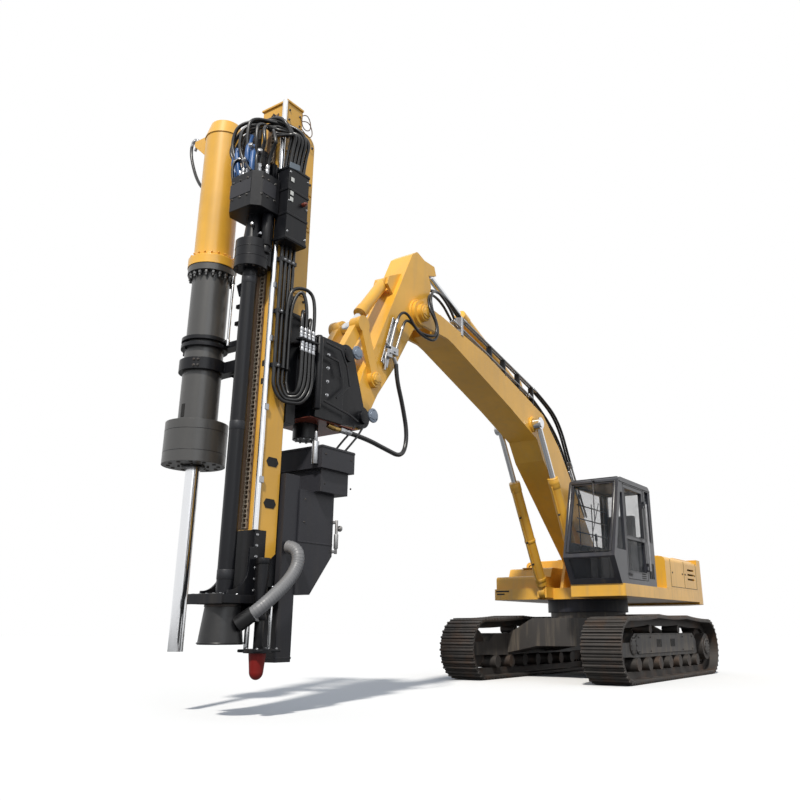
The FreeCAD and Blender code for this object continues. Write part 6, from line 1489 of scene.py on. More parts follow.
@dataclass
class ArmTrim:
    """Valve with its tubes on the arm's side, and the hoses that leave it."""

    bench: Bench
    side: float = 0.23
    tube_lane: float = 0.275
    thick: float = 0.03

    def valve(self) -> None:
        """Builds the valve, its tubes and its brackets in place of the plain block."""
        bench = self.bench
        base = bench.plate(((6.5, 4.9), (6.6, 4.93), (6.84, 4.22), (6.7, 4.16)), Axis.Y, self.side - 0.004,
            self.side + 0.014)
        body = [base, bench.block((6.54, self.side + 0.01, 4.36), (6.7, self.side + 0.075, 4.47), 0.008),
            bench.block((6.66, self.side + 0.01, 4.3), (6.77, self.side + 0.065, 4.42), 0.008),
            bench.bar((6.6, self.side + 0.04, 4.34), (6.55, self.side + 0.04, 4.24), 0.028, sides=6),
            bench.bar((6.72, self.side + 0.04, 4.46), (6.78, self.side + 0.04, 4.5), 0.024, sides=6),
            bench.bar((6.62, self.side + 0.07, 4.41), (6.62, self.side + 0.088, 4.41), 0.026, sides=6),
            bench.bar((6.71, self.side + 0.06, 4.37), (6.71, self.side + 0.08, 4.37), 0.02, sides=6)]
        piece = bench.piece("arm_valve_body", body, "turned_steel", "arm")
        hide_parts("arm_valve")
        y = self.tube_lane
        tubes = [bench.tube([(6.57, y, 4.44), (6.5, y, 4.62), (6.44, y, 4.78)], 0.017),
            bench.tube([(6.7, y, 4.45), (6.63, y, 4.66), (6.57, y, 4.84)], 0.017),
            bench.tube([(6.76, y, 4.36), (6.8, y, 4.28), (6.79, y, 4.2), (6.8, y, 4.1)], 0.016),
            bench.bar((6.44, y, 4.78), (6.41, y, 4.85), 0.026, sides=6),
            bench.bar((6.57, y, 4.84), (6.54, y, 4.91), 0.026, sides=6)]
        bench.piece("arm_valve_tubes", tubes, "pipe_steel", "arm")

    def hoses(self) -> None:
        """Builds the hoses over to the boom and the thick one down to the head."""
        bench, y = self.bench, self.tube_lane
        over = [bench.tube([(6.54, y, 4.9), (6.5, y + 0.01, 5.02), (6.36, y + 0.04, 5.06), (6.22, 0.36, 4.84),
            (6.02, 0.4, 4.76), (5.8, 0.415, 4.78), (5.72, 0.415, 5.0), (5.9, 0.4, 5.28), (5.82, 0.34, 5.56),
            (5.55, 0.28, 5.7), (5.3, 0.27, 5.6), (5.12, 0.262, 5.48), (5.05, 0.262, 5.38)], 0.02),
            bench.tube([(6.41, y, 4.84), (6.38, y, 4.94), (6.3, 0.31, 4.96), (6.16, 0.37, 4.82),
            (6.0, 0.42, 4.8), (5.84, 0.445, 4.84), (5.8, 0.44, 5.04), (5.94, 0.4, 5.24), (5.84, 0.3, 5.5),
            (5.6, 0.22, 5.64), (5.32, 0.212, 5.58), (5.12, 0.212, 5.42), (5.05, 0.212, 5.37)], 0.02),
            bench.tube([(5.72, 0.1, 5.66), (5.6, 0.17, 5.72), (5.4, 0.23, 5.72), (5.14, 0.262, 5.62),
            (4.96, 0.262, 5.52), (4.77, 0.262, 5.47)], 0.019), bench.tube(
            [(5.72, 0.06, 5.7), (5.56, 0.12, 5.76), (5.34, 0.19, 5.76), (5.1, 0.212, 5.64),
            (4.94, 0.212, 5.53), (4.77, 0.212, 5.47)], 0.019)]
        piece = bench.piece("tip_hoses", over, "hose_rubber", None)
        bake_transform(piece)
        ends = [bench.bar((5.09, lane, 5.37), (5.0, lane, 5.348), 0.027, sides=6) for lane in (0.262, 0.212)]
        ends += [bench.bar((4.8, lane, 5.477), (4.71, lane, 5.455), 0.027, sides=6)
            for lane in (0.262, 0.212)]
        ends.append(bench.block((4.84, 0.15, 5.18), (4.9, 0.292, 5.5), 0.008))
        bench.piece("tip_hose_clamp", ends, "turned_steel", "boom")
        down = bench.tube([(6.55, self.side + 0.04, 4.25), (6.535, 0.27, 4.05), (6.4, 0.275, 3.72),
            (6.28, 0.28, 3.3), (6.4, 0.29, 2.98), (6.8, 0.3, 3.03), (7.2, 0.3, 3.09), (7.52, 0.29, 3.1)],
            self.thick)
        piece = bench.piece("head_feed_hose", down, "hose_rubber", None)
        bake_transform(piece)
        fit = HoseEnd(bench, nut=0.04, crimp=0.036, length=0.2)
        bench.piece("head_feed_end", fit.build((7.68, 0.29, 3.105), (-1.0, 0.0, -0.02)), "turned_steel",
            "head")
        brass = [bench.bar((7.66, 0.29, 3.105), (7.78, 0.29, 3.1), 0.03, sides=6),
            bench.bar((7.78, 0.29, 3.1), (7.86, 0.26, 3.13), 0.034, sides=16)]
        bench.piece("head_feed_union", brass, "brass", "head")

    def build(self) -> None:
        """Builds all of it."""
        self.valve()
        self.hoses()


@dataclass
class PinCaps:
    """Caps and bolts on the pins of the arm and head."""

    bench: Bench
    joints: dict[str, Point]

    def cap(self, place: Flat, side: float, radius: float) -> list[Thing]:
        """A pair of pin caps with their bolts, one on each side.

        Args:
            place: Where the pin is, along and up.
            side: How far out each cap is seated.
            radius: The caps' radius.

        Returns:
            The objects.
        """
        made, (x, z) = [], place
        for sign in (1.0, -1.0):
            out = LEFT * sign
            made.append(self.bench.bar((x, sign * (side - 0.004), z), (x, sign * (side + 0.022), z), radius,
                sides=32, edge=0.006))
            made.append(self.bench.bar((x, sign * (side + 0.02), z), (x, sign * (side + 0.03), z),
                radius * 0.62, sides=24))
            head = self.bench.bolt((x, sign * (side + 0.02), z + radius * 0.78), out, 0.02)
            made += self.bench.ring(head, (x, 0.0, z), Axis.Y, 3)
        return made

    def build(self) -> None:
        """Builds the caps on each body."""
        head, boom, link = (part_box(node)[1].y for node in ("tool_head", "boom", "side_links"))
        plan = (("head_pin_caps", "blued_steel", "head", (("head_tilt", head, 0.092),
            ("power_link_turn", head, 0.088))), ("arm_pin_caps", "machine_yellow", "boom",
            (("arm_swing", boom, 0.105),)), ("link_pin_caps", "machine_yellow", "side_links",
            (("side_links_turn", link, 0.085),)))
        for name, finish, body, rows in plan:
            made: list[Thing] = []
            for joint, side, radius in rows:
                made += self.cap((self.joints[joint][0], self.joints[joint][2]), side, radius)
            self.bench.piece(name, made, finish, body)


@dataclass
class HeadTrim:
    """Ribs, column, bolts and hoses of the black head, and its motor's trim."""

    bench: Bench

    def rib(self, start: Flat, end: Flat, side: float, wide: float = 0.026) -> Thing:
        """A flat rib on one of the head's side plates.

        Args:
            start: Where it begins, along and up.
            end: Where it ends, along and up.
            side: The face that it stands on, negative for the right one.
            wide: Its width.

        Returns:
            The object.
        """
        near, far = Vector(start), Vector(end)
        across = (far - near).normalized().orthogonal() * wide / 2
        outline = [tuple(corner) for corner in (near + across, far + across, far - across, near - across)]
        out = 0.014 if side > 0 else -0.014
        return self.bench.plate(outline, Axis.Y, side - out * 0.1, side + out, 0.004)

    def build(self) -> None:
        """Builds the head's own trim."""
        bench = self.bench
        low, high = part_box("tool_head")
        made = []
        lines = (((8.13, 4.06), (7.86, 4.04)), ((7.86, 4.04), (7.74, 3.86)), ((7.74, 3.86), (7.68, 3.62)),
            ((8.13, 3.34), (7.66, 3.27)), ((7.66, 3.27), (7.5, 3.22)), ((7.92, 3.42), (7.7, 3.62)),
            ((8.13, 3.9), (7.9, 3.88)), ((7.9, 3.88), (7.84, 3.7)))
        for side in (high.y, low.y):
            made += [self.rib(start, end, side) for start, end in lines]
        bench.piece("head_ribs", made, "black_enamel", "head")
        posts = []
        for sign in (1.0, -1.0):
            y = sign * (high.y - 0.012)
            posts.append(bench.bar((8.225, y, 3.22), (8.225, y, 4.1), 0.046, sides=24, edge=0.014))
            posts.append(bench.bar((8.225, y, 4.09), (8.225, y, 4.125), 0.046, 0.022, sides=24, edge=0.008))
        bench.piece("head_columns", posts, "black_enamel", "head")
        head = bench.bolt((8.08, high.y, 3.42), LEFT, 0.03)
        bolts = bench.row(head, (0.0, 0.0, 0.165), 4)
        other = bench.bolt((8.08, low.y, 3.42), RIGHT, 0.03)
        bolts += bench.row(other, (0.0, 0.0, 0.165), 4)
        bench.piece("head_bolts", bolts, "turned_steel", "head")
        floor = bench.plate(((7.42, -0.33), (8.24, -0.33), (8.24, 0.33), (7.42, 0.33)), Axis.Z, low.z - 0.01,
            low.z + 0.002)
        bench.piece("head_floor_plate", floor, "rust_cap", "head", Slot.BLACK)
        swing_low, swing_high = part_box("swing_drive")
        middle = ((swing_low.x + swing_high.x) / 2, (swing_low.y + swing_high.y) / 2)
        radius = (swing_high.y - swing_low.y) / 2
        head = bench.bolt((middle[0] + radius * 0.78, middle[1], swing_low.z), DOWN, 0.026)
        motor = bench.ring(head, (middle[0], middle[1], 0.0), Axis.Z, 10)
        bench.piece("swing_drive_bolts", motor, "turned_steel", "head")
        thin = [bench.tube([(7.24, 0.3, 3.24), (7.33, 0.31, 3.12), (7.46, 0.31, 2.98), (7.62, 0.28, 2.8)],
            0.013), bench.tube([(7.36, 0.26, 3.22), (7.46, 0.26, 3.1), (7.58, 0.25, 2.98), (7.72, 0.22, 2.8)],
            0.013)]
        piece = bench.piece("hood_lines", thin, "hose_rubber", None)
        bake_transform(piece)


@dataclass
class CollectorTrim:
    """Rims, screws, the handle and a small cylinder of the dust collector."""

    bench: Bench

    def build(self) -> None:
        """Builds the trim on the collector's boxes."""
        bench = self.bench
        hood_low, hood_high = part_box("collector_hood")
        body_low, body_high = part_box("collector_filter")
        leg_low, leg_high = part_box("collector_leg")
        rims = [bench.block((hood_low.x - 0.006, hood_low.y - 0.006, hood_high.z - 0.03),
            (hood_high.x + 0.006, hood_high.y + 0.006, hood_high.z - 0.006), 0.005),
            bench.block((body_low.x - 0.002, body_low.y - 0.005, 1.725),
            (body_high.x - 0.004, body_high.y + 0.005, 1.745), 0.004),
            bench.block((leg_low.x - 0.006, leg_low.y - 0.006, 0.53),
            (leg_high.x + 0.006, leg_high.y + 0.006, 0.55), 0.004)]
        bench.piece("collector_rims", rims, "box_grey", "swing", Slot.BLACK)
        screws = [bench.bolt((x, hood_high.y, z), LEFT, 0.016) for x,
            z in ((7.63, 2.72), (8.08, 2.72), (7.63, 2.38), (8.08, 2.38))]
        screws += [bench.bolt((8.22, body_high.y, z), LEFT, 0.016) for z in (2.2, 1.95)]
        bench.piece("collector_screws", screws, "dark_bolt", "swing")
        y = body_high.y
        handle = [bench.bar((7.7, y + 0.02, 1.64), (7.7, y + 0.02, 2.02), 0.017, sides=16),
            bench.bar((7.7, y + 0.02, 1.7), (7.7, y + 0.02, 1.86), 0.026, sides=16),
            bench.bar((7.7, y + 0.02, 1.93), (7.64, y + 0.02, 1.93), 0.014, sides=12),
            bench.bar((7.655, y + 0.02, 1.93), (7.63, y + 0.02, 1.93), 0.034, sides=18),
            bench.block((7.69, y - 0.05, 1.98), (7.76, y + 0.022, 2.01), 0.004),
            bench.block((7.69, y - 0.05, 1.65), (7.76, y + 0.022, 1.68), 0.004)]
        bench.piece("collector_rod", handle, "pipe_steel", "swing")
        small = [bench.bar((8.16, hood_high.y - 0.09, 2.6), (8.16, hood_high.y - 0.09, 2.86), 0.04, sides=20),
            bench.bar((8.16, hood_high.y - 0.09, 2.86), (8.16, hood_high.y - 0.09, 2.98), 0.016, sides=12)]
        bench.piece("hood_cylinder", small, "turned_steel", "swing")


# ------------------------------------------------------------------ cab, deck and undercarriage trim


@dataclass
class CabTrim:
    """Seals, handle, vents, wiper, gutter and guard bars of the cab."""

    bench: Bench
    outer: float = 1.435
    inner: float = 0.51
    front: tuple[Flat, ...] = ((1.82, 1.55), (2.08, 1.98), (1.66, 3.35))
    seal: float = 0.014

    def frame(self, low: Flat, high: Flat, y: float, proud: float) -> list[Thing]:
        """Four seal strips round an opening in a side wall.

        Args:
            low: The opening's rear lower corner, along and up.
            high: Its front upper corner.
            y: The wall's face.
            proud: How far the strips stand out of it.

        Returns:
            The strips.
        """
        wide = self.seal
        rows = (((low[0] - wide, low[1] - wide), (high[0] + wide, low[1])),
            ((low[0] - wide, high[1]), (high[0] + wide, high[1] + wide)),
            ((low[0] - wide, low[1]), (low[0], high[1])), ((high[0], low[1]), (high[0] + wide, high[1])))
        return [self.bench.block((a[0], min(y, y + proud), a[1]), (b[0], max(y, y + proud), b[1]), 0.002)
            for a, b in rows]

    def on_front(self, share: float, y: float, out: float) -> Point:
        """A place on the upper windscreen.

        Args:
            share: 0 at the kink, 1 at the roof.
            y: How far to the machine's left.
            out: How far out of the glass.

        Returns:
            The place.
        """
        (x0, z0), (x1, z1) = self.front[1], self.front[2]
        return x0 + (x1 - x0) * share + out * 0.956, y, z0 + (z1 - z0) * share + out * 0.293

    def door(self) -> None:
        """Builds the door's seals, handle, window bar, rail sleeve and vents."""
        bench, y = self.bench, self.outer
        strips = self.frame((0.63, 2.365), (1.43, 3.17), y, 0.006) + self.frame((0.63, 1.77), (1.43, 2.295),
            y, 0.006)
        strips += [bench.block((x, y - 0.002, 1.64), (x + 0.008, y + 0.003, 3.24), 0.001)
            for x in (0.552, 1.5)]
        strips.append(bench.block((0.56, y - 0.002, 3.236), (1.5, y + 0.01, 3.25), 0.003))
        bench.piece("door_seals", strips, "hose_rubber", "door")
        handle = [bench.block((1.33, y - 0.002, 1.68), (1.46, y + 0.008, 1.745), 0.004),
            bench.block((1.345, y + 0.006, 1.708), (1.445, y + 0.026, 1.728), 0.006),
            bench.bar((1.435, y, 1.718), (1.435, y + 0.028, 1.718), 0.013, sides=16)]
        bench.piece("door_handle", handle, "console_plastic", "door")
        sleeve = [bench.bar((0.6, 1.505, 1.8), (0.6, 1.505, 2.98), 0.0165, sides=20)]
        bench.piece("rail_sleeve", sleeve, "pale_rail", "door")
        slots = []
        for z in (1.665, 1.7, 1.735):
            slots.append(bench.block((0.66, y - 0.001, z), (0.86, y + 0.004, z + 0.016), 0.001))
        bench.piece("door_vents", slots, "shadow_black", "door")

    def body(self) -> None:
        """Builds the shell's seals, vents, gutter, wiper and guard bars."""
        bench, y = self.bench, self.outer
        strips = self.frame((0.2, 2.33), (0.5, 3.24), y, 0.005)
        bench.piece("shell_seals", strips, "hose_rubber", "upper")
        vents = [bench.block((0.235 + 0.09 * n, y - 0.001, 1.68), (0.29 + 0.09 * n, y + 0.005, 1.95), 0.004)
            for n in range(3)]
        bench.piece("shell_vents", vents, "shadow_black", "upper")
        gutter = [bench.block((0.16, y - 0.004, 3.262), (1.64, y + 0.012, 3.282), 0.004),
            bench.block((0.2, self.inner + 0.05, 3.349), (1.6, y - 0.05, 3.362), 0.01),
            bench.block((0.52, 0.76, 3.358), (1.12, 1.2, 3.384), 0.012)]
        bench.piece("roof_panel", gutter, "cab_grey_blue", "upper")
        arm = [bench.bar(self.on_front(0.93, 0.98, 0.03), self.on_front(0.42, 1.06, 0.02), 0.009, sides=10),
            bench.bar(self.on_front(0.96, 0.98, 0.0), self.on_front(0.96, 0.98, 0.05), 0.022, sides=16),
            bench.bar(self.on_front(0.66, 1.1, 0.012), self.on_front(0.22, 1.02, 0.012), 0.007, sides=8)]
        bench.piece("wiper", arm, "console_plastic", "upper")
        bars = [bench.bar((0.24, self.inner + 0.075, z), (1.66 - 0.14 * (z - 2.2), self.inner + 0.075, z),
            0.011, sides=10) for z in (2.22, 2.46, 2.7, 2.94)]
        bars += [bench.bar((x, self.inner + 0.075, 2.12), (x, self.inner + 0.075, 3.02), 0.009, sides=10)
            for x in (0.32, 0.92, 1.48)]
        bench.piece("guard_bars", bars, "black_enamel", "upper")
        rim = []
        for side in (self.inner + 0.045, self.outer - 0.06):
            for share, far in ((0.06, 0.94),):
                rim.append(bench.bar(self.on_front(share, side, 0.003), self.on_front(far, side, 0.003), 0.01,
                    sides=8))
        rim += [bench.bar(self.on_front(share, self.inner + 0.045, 0.003),
            self.on_front(share, self.outer - 0.06, 0.003), 0.01, sides=8) for share in (0.06, 0.94)]
        bench.piece("screen_seals", rim, "hose_rubber", "upper")
        levers = []
        for side in (0.7, 1.26):
            levers += [bench.bar((1.02, side, 2.16), (1.05, side, 2.36), 0.012, sides=12),
                bench.bar((1.05, side, 2.34), (1.065, side, 2.46), 0.026, 0.02, sides=16, edge=0.006)]
        levers += [bench.bar((1.38 , side, 1.62), (1.3, side, 2.18), 0.012, sides=12) for side in (0.9, 1.04)]
        bench.piece("cab_levers", levers, "console_plastic", "upper")

    def build(self) -> None:
        """Builds all of it."""
        self.door()
        self.body()


@dataclass
class DeckTrim:
    """Louvres, panel seams, latches, hatches, exhaust and lifting lugs of the deck and engine house."""

    bench: Bench

    def build(self) -> None:
        """Builds the deck's trim."""
        bench = self.bench
        box_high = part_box("right_deck_box")[1]
        house_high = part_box("engine_house")[1]
        weight_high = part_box("counterweight")[1]
        side = house_high.y
        face = 1.05
        dark = [bench.block((face - 0.001, -1.4, 1.495), (face + 0.004, -1.12, 1.522), 0.002),
            bench.block((face - 0.001, -1.38, 1.445), (face + 0.004, -1.22, 1.47), 0.002)]
        for sign in (1.0, -1.0):
            y = sign * side
            near, far = min(y - sign * 0.001, y + sign * 0.003), max(y - sign * 0.001, y + sign * 0.003)
            dark += [bench.block((place, near, 1.6), (place + 0.007, far, 2.1), 0.0)
                for place in (-0.62, -1.42, -2.2)]
            dark.append(bench.block((-2.2, near, 1.592), (-0.62, far, 1.599), 0.0))
            dark += [bench.block((place, near, 1.84), (place + 0.055, far, 1.87), 0.002)
                for place in (-0.74, -1.34, -1.52, -2.12)]
        for n in range(6):
            dark.append(bench.block((-2.02 + 0.18 * n, -0.62, house_high.z - 0.001),
                (-1.92 + 0.18 * n, 0.62, house_high.z + 0.003), 0.002))
        bench.piece("deck_slots", dark, "shadow_black", "upper")
        top = house_high.z
        panels = [bench.block((-1.02, -1.3, top - 0.002), (-0.45, 1.3, top + 0.022), 0.01),
            bench.block((-2.2, 0.72, top - 0.002), (-1.12, 1.36, top + 0.022), 0.01),
            bench.block((-2.2, -1.36, top - 0.002), (-1.12, -0.72, top + 0.022), 0.01),
            bench.block((-0.1, -1.16, box_high.z - 0.002), (0.42, -0.78, box_high.z + 0.016), 0.01)]
        bench.piece("hatch_panels", panels, "machine_yellow", "upper")
        hinges: list[Thing] = []
        for x0, y0, z0 in ((-0.98, 1.0, top + 0.022), (-0.98, -1.0, top + 0.022),
                (0.34, -0.97, box_high.z + 0.016)):
            hinges += [bench.tube([(x0, y0 - 0.08, z0), (x0, y0 - 0.08, z0 + 0.05),
                (x0, y0 + 0.08, z0 + 0.05), (x0, y0 + 0.08, z0)], 0.009)]
        bench.piece("hatch_handles", hinges, "black_enamel", "upper")
        stack = [bench.bar((-1.55, -1.04, top), (-1.55, -1.04, top + 0.05), 0.085, sides=32),
            bench.bar((-1.55, -1.04, top + 0.04), (-1.55, -1.04, top + 0.34), 0.052, sides=32),
            bench.tube([(-1.55, -1.04, top + 0.32), (-1.55, -1.04, top + 0.43), (-1.6, -1.04, top + 0.5),
            (-1.68, -1.04, top + 0.53)], 0.05, 6)]
        bench.piece("exhaust", stack, "rust_steel_and_painted_shade", "upper", Slot.BLACK)
        lift = []
        for y in (-0.8, 0.8):
            lift += [bench.block((-2.8, y - 0.03, weight_high.z - 0.01),
                (-2.62, y + 0.03, weight_high.z + 0.07), 0.012)]
        bench.piece("weight_lugs", lift, "machine_yellow", "upper")


@dataclass
class LiftCylinderTrim:
    """Glands, bands, pipes with their clamps, and bolts of the two lift cylinders."""

    bench: Bench
    foot: Point
    way: Point
    radius: float = 0.095
    lane: float = 0.385
    length: float = 2.13

    def build(self) -> None:
        """Builds the trim on both cylinders."""
        bench = self.bench
        way = Vector(self.way).normalized()
        side = way.cross(LEFT)
        yellow: list[Thing] = []
        steel: list[Thing] = []
        for sign in (1.0, -1.0):
            base = Vector((self.foot[0], sign * self.lane, self.foot[2]))
            for start, end, extra in ((self.length - 0.175, self.length - 0.02, 0.007),
                    (self.length - 0.1, self.length - 0.05, 0.008), (0.98, 1.03, 0.007), (0.22, 0.28, 0.008)):
                yellow.append(bench.bar(base + way * start, base + way * end, self.radius + extra, sides=40,
                    edge=0.006))
            front = side * (-1.0 if side.x < 0 else 1.0)
            for shift in (0.03,):
                line = [base + way * 0.26 + front * (self.radius + 0.01),
                    base + way * 0.34 + front * (self.radius + 0.032),
                    base + way * (self.length - 0.34) + front * (self.radius + 0.032),
                    base + way * (self.length - 0.12) + front * (self.radius + shift)]
                yellow.append(bench.tube([tuple(point) for point in line], 0.014))
            for share in (0.6, 1.02, 1.5):
                place = base + way * share + front * (self.radius + 0.028)
                steel.append(bench.bar(place - way * 0.016, place + way * 0.016, 0.022, sides=10))
            head = bench.bolt(tuple(base + way * (self.length - 0.022) + side * (self.radius * 0.86)), way,
                0.02)
            turned = [Matrix.Translation(base) @ Matrix.Rotation(2 * math.pi * n / 8, 4, way)
                @ Matrix.Translation(-base) for n in range(1, 8)]
            steel += bench.copies(head, turned)
        bench.piece("lift_glands", yellow, "machine_yellow", "boom_barrels")
        bench.piece("lift_bolts", steel, "dark_bolt", "boom_barrels")


@dataclass
class TrackTrim:
    """Side covers, bolts, recesses and hub caps of the track frames, and the shoes' small bars."""

    bench: Bench
    wheel_x: float = 2.115
    wheel_z: float = 0.51
    rise: float = 0.056
    sag: float = 0.022
    carrier: float = 0.75
    lug: float = 0.034
    pitch: float = 0.102
    gauge: float = 2.63
    shoe: float = 0.67

    def shoe_line(self) -> list[Flat]:
        """Works out the closed line of the shoes' faces, under the lugs.

        Returns:
            Its points, along and up.
        """
        radius = self.wheel_z - self.lug
        turns = [math.radians(7.5 * step) for step in range(25)]
        line = [(-self.wheel_x, self.wheel_z - radius)]
        line += [(self.wheel_x + radius * math.sin(turn), self.wheel_z - radius * math.cos(turn))
            for turn in turns]
        supports = [(self.wheel_x, 0.0), (self.carrier, self.rise), (-self.carrier, self.rise),
            (-self.wheel_x, 0.0)]
        for (x0, z0), (x1, z1) in zip(supports, supports[1:]):
            for step in range(1, 7):
                share = step / 6
                height = (self.rise * share ** 2 if z0 < z1 else self.rise * (1 - share) ** 2 if z1 < z0
                    else self.rise - self.sag * 4 * share * (1 - share))
                line.append((x0 + (x1 - x0) * share, self.wheel_z + radius + height))
        line += [(-self.wheel_x - radius * math.sin(turn), self.wheel_z + radius * math.cos(turn))
            for turn in turns[1:]]
        return line

    def shoe_bars(self) -> None:
        """Builds one small bar between each two lugs, and the gap beside it."""
        line = self.shoe_line()
        steps = [math.dist(near, far) for near, far in zip(line, line[1:])]
        count = round(sum(steps) / self.pitch)
        for side, sign in (("left", 1.0), ("right", -1.0)):
            half = self.shoe / 2 - 0.004
            bar = self.bench.block((-0.012, sign * self.gauge / 2 - half, -0.004),
                (0.012, sign * self.gauge / 2 + half, 0.019), 0.005)
            turns: list[Matrix] = []
            for number in range(count):
                reach = sum(steps) * number / count
                place = 0
                while reach > steps[place]:
                    reach -= steps[place]
                    place += 1
                (x0, z0), (x1, z1) = line[place], line[place + 1]
                share = reach / steps[place]
                lean = math.atan2(-(z1 - z0), x1 - x0) + math.pi
                turns.append(Matrix.Translation((x0 + (x1 - x0) * share, 0.0, z0 + (z1 - z0) * share))
                    @ Matrix.Rotation(lean, 4, "Y"))
            bars = self.bench.copies(bar, turns)
            bpy.data.objects.remove(bars[0])
            self.bench.piece(f"shoe_bars_{side}", bars[1:], "track_steel", "undercarriage")

    def build(self) -> None:
        """Builds the trim on both tracks."""
        bench = self.bench
        self.shoe_bars()
        covers: list[Thing] = []
        bolts: list[Thing] = []
        dark: list[Thing] = []
        hubs: list[Thing] = []
        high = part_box("track_frames")[1]
        sprocket_low, sprocket_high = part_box("sprockets")
        outline = ((-1.5, 0.435), (1.42, 0.435), (1.52, 0.5), (1.52, 0.69), (1.44, 0.745), (-1.5, 0.745),
            (-1.58, 0.69), (-1.58, 0.5))
        for sign in (1.0, -1.0):
            near, far = sign * (high.y - 0.003), sign * (high.y + 0.02)
            covers.append(bench.plate(outline, Axis.Y, near, far, 0.008))
            covers.append(bench.bar((1.62, near, 0.575), (1.62, sign * (high.y + 0.016), 0.575), 0.15,
                sides=48))
            out = LEFT * sign
            bolts += bench.ring(bench.bolt((1.745, sign * (high.y + 0.014), 0.575), out, 0.024),
                (1.62, 0.0, 0.575), Axis.Y, 10)
            bolts += [bench.bolt((place, far, z), out, 0.024) for place in (-1.44, -0.86, 0.86, 1.4)
                for z in (0.48, 0.7)]
            for place in (-0.42, 0.3):
                for n in range(4):
                    dark.append(bench.block((place + 0.065 * n, min(far, far + sign * 0.003), 0.535),
                        (place + 0.04 + 0.065 * n, max(far, far + sign * 0.003), 0.665), 0.002))
            middle = (sprocket_low.x + sprocket_high.x) / 2
            hubs.append(bench.bar((middle, sign * (sprocket_high.y - 0.004), 0.51),
                (middle, sign * (sprocket_high.y + 0.02), 0.51), 0.15, sides=40, edge=0.008))
            bolts += bench.ring(bench.bolt((middle + 0.12, sign * (sprocket_high.y + 0.018), 0.51), out,
                0.026), (middle, 0.0, 0.51), Axis.Y, 12)
        bench.piece("track_covers", covers, "frame_grey", "undercarriage")
        bench.piece("track_cover_grips", dark, "shadow_black", "undercarriage")
        bench.piece("hub_caps", hubs, "frame_grey", "undercarriage")
        slew_low, slew_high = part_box("slew_bearing")
        radius = slew_high.x
        bolts += bench.ring(bench.bolt((radius - 0.035, 0.0, slew_low.z + 0.11), UP, 0.02), (0.0, 0.0, 0.0),
            Axis.Z, 4)
        bench.piece("track_bolts", bolts, "dark_bolt", "undercarriage")


# ------------------------------------------------------------------ studio


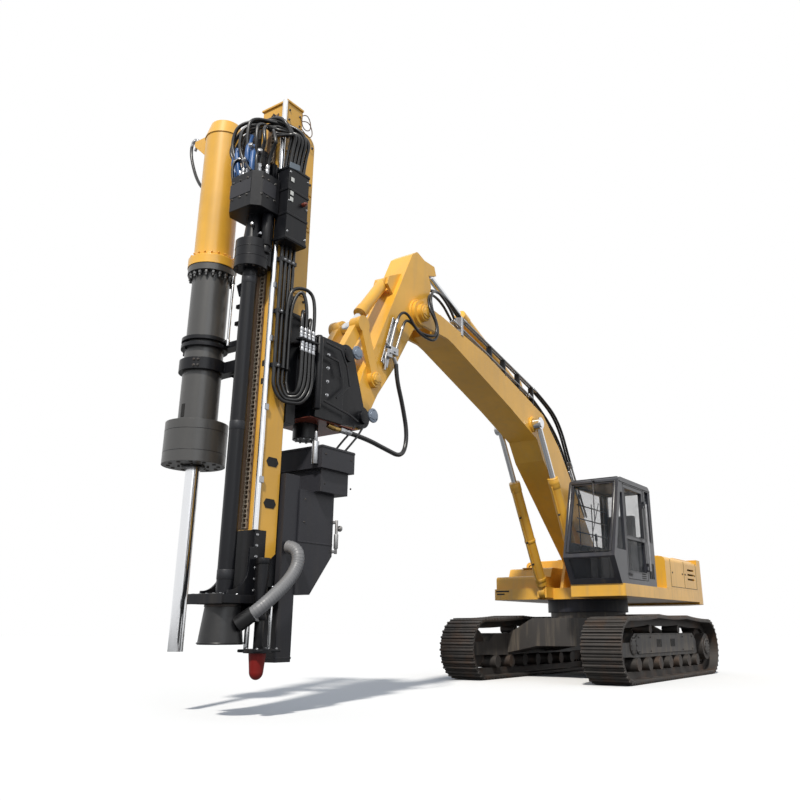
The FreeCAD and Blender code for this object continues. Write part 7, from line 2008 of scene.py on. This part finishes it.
@dataclass
class Studio:
    """Pale floor and backdrop, soft lamps, and the camera near the floor in front of the mast."""

    camera_place: Point = (14.78, 6.49, 0.821)
    yaw: float = 213.87
    pitch: float = 18.3
    focal: float = 797.4
    centre: Flat = (438.5, 365.9)
    image: float = 800.0
    sensor: float = 36.0
    pale: float = 0.82
    bounce: float = 0.22

    def camera(self) -> None:
        """Adds the camera."""
        data = bpy.data.cameras.new("camera")
        data.sensor_width = self.sensor
        data.lens = self.focal * self.sensor / self.image
        data.shift_x = (self.image / 2 - self.centre[0]) / self.image
        data.shift_y = (self.centre[1] - self.image / 2) / self.image
        data.clip_end = 200.0
        thing = bpy.data.objects.new("camera", data)
        bpy.context.scene.collection.objects.link(thing)
        yaw, pitch = math.radians(self.yaw), math.radians(self.pitch)
        ahead = Vector((math.cos(yaw) * math.cos(pitch), math.sin(yaw) * math.cos(pitch), math.sin(pitch)))
        thing.rotation_mode = "QUATERNION"
        thing.rotation_quaternion = ahead.to_track_quat("-Z", "Y")
        thing.location = self.camera_place
        bpy.context.scene.camera = thing

    def floor(self) -> None:
        """Adds the floor, which holds the shadow."""
        bpy.ops.mesh.primitive_plane_add(size=160.0, location=(0.0, 0.0, -0.002))
        floor = bpy.context.object
        floor.name = "floor"
        s = Shader("floor_pale")
        rays = s.node("ShaderNodeLightPath")
        seen = Num(s, rays.outputs["Is Camera Ray"]).most(Num(s, rays.outputs["Is Transmission Ray"]))
        pale = s.node("ShaderNodeBsdfDiffuse", None, {"Color": (self.pale, self.pale, self.pale)})
        dull = s.node("ShaderNodeBsdfDiffuse", None, {"Color": (self.bounce, self.bounce, self.bounce)})
        surface = s.node("ShaderNodeMixShader", None, {0: seen, 1: dull.outputs[0], 2: pale.outputs[0]})
        s.node("ShaderNodeOutputMaterial", None, {"Surface": surface.outputs[0]})
        floor.data.materials.append(s.material)

    def sky(self) -> None:
        """Lights the scene evenly, and shows white behind it."""
        world = bpy.data.worlds.new("studio")
        bpy.context.scene.world = world
        world.use_nodes = True
        tree = world.node_tree
        tree.nodes.clear()
        rays = tree.nodes.new("ShaderNodeLightPath")
        seen = tree.nodes.new("ShaderNodeMath")
        seen.operation = "MAXIMUM"
        tree.links.new(rays.outputs["Is Camera Ray"], seen.inputs[0])
        tree.links.new(rays.outputs["Is Transmission Ray"], seen.inputs[1])
        bright = tree.nodes.new("ShaderNodeMath")
        bright.operation = "MAXIMUM"
        tree.links.new(seen.outputs[0], bright.inputs[0])
        tree.links.new(rays.outputs["Is Glossy Ray"], bright.inputs[1])
        shown = tree.nodes.new("ShaderNodeBackground")
        shown.inputs["Color"].default_value = (1.0, 1.0, 1.0, 1.0)
        light = tree.nodes.new("ShaderNodeBackground")
        light.inputs["Color"].default_value = (0.8, 0.88, 1.0, 1.0)
        light.inputs["Strength"].default_value = 0.5
        pick = tree.nodes.new("ShaderNodeMixShader")
        tree.links.new(bright.outputs[0], pick.inputs[0])
        tree.links.new(light.outputs[0], pick.inputs[1])
        tree.links.new(shown.outputs[0], pick.inputs[2])
        out = tree.nodes.new("ShaderNodeOutputWorld")
        tree.links.new(pick.outputs[0], out.inputs["Surface"])

    def lamps(self) -> None:
        """Adds one soft sun over the camera's right shoulder and a weak fill."""
        for name, strength, turn, spread, colour in (("key_sun", 3.5,
                (math.radians(42.0), 0.0, math.radians(114.0)), 4.0, (1.0, 0.965, 0.9)),
                ("fill_sun", 0.35, (math.radians(65.0), 0.0, math.radians(150.0)), 30.0, (0.9, 0.95, 1.0))):
            data = bpy.data.lights.new(name, "SUN")
            data.energy, data.angle, data.color = strength, math.radians(spread), colour
            lamp = bpy.data.objects.new(name, data)
            lamp.rotation_euler = turn
            bpy.context.scene.collection.objects.link(lamp)

    def build(self) -> None:
        """Adds all of it."""
        self.camera()
        self.floor()
        self.sky()
        self.lamps()
        bpy.context.scene.view_settings.view_transform = "Standard"


def corners(pair: tuple[Vector, Vector]) -> list[list[float]]:
    """A box's corners as plain lists."""
    return [list(corner) for corner in pair]


def main() -> None:
    """Builds every piece and reports it."""
    logging.basicConfig(level=logging.INFO, format="%(name)s: %(message)s")
    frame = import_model()
    finishes = Finishes()
    dress_nodes(frame, finishes)
    Studio().build()
    bench = Bench(finishes)
    joints = {joint["name"]: joint["pos_m"] for joint in frame["joints"] if "pos_m" in joint}
    for assembly in (MastHoses(bench), FeedHoses(bench), DustHose(bench), BoomPipes(bench),
            SplitterTrim(bench), FeedChain(bench), BeamTrim(bench), HeadDriveTrim(bench), FootTrim(bench),
            ArmTrim(bench), PinCaps(bench, joints), HeadTrim(bench), CollectorTrim(bench), CabTrim(bench),
            DeckTrim(bench), LiftCylinderTrim(bench, joints["boom_barrel_turn"], (0.4775, 0.0, 0.8786)),
            TrackTrim(bench)):
        assembly.build()
    log.info("made %d pieces", bench.made)


if __name__ == "__main__":
    main()
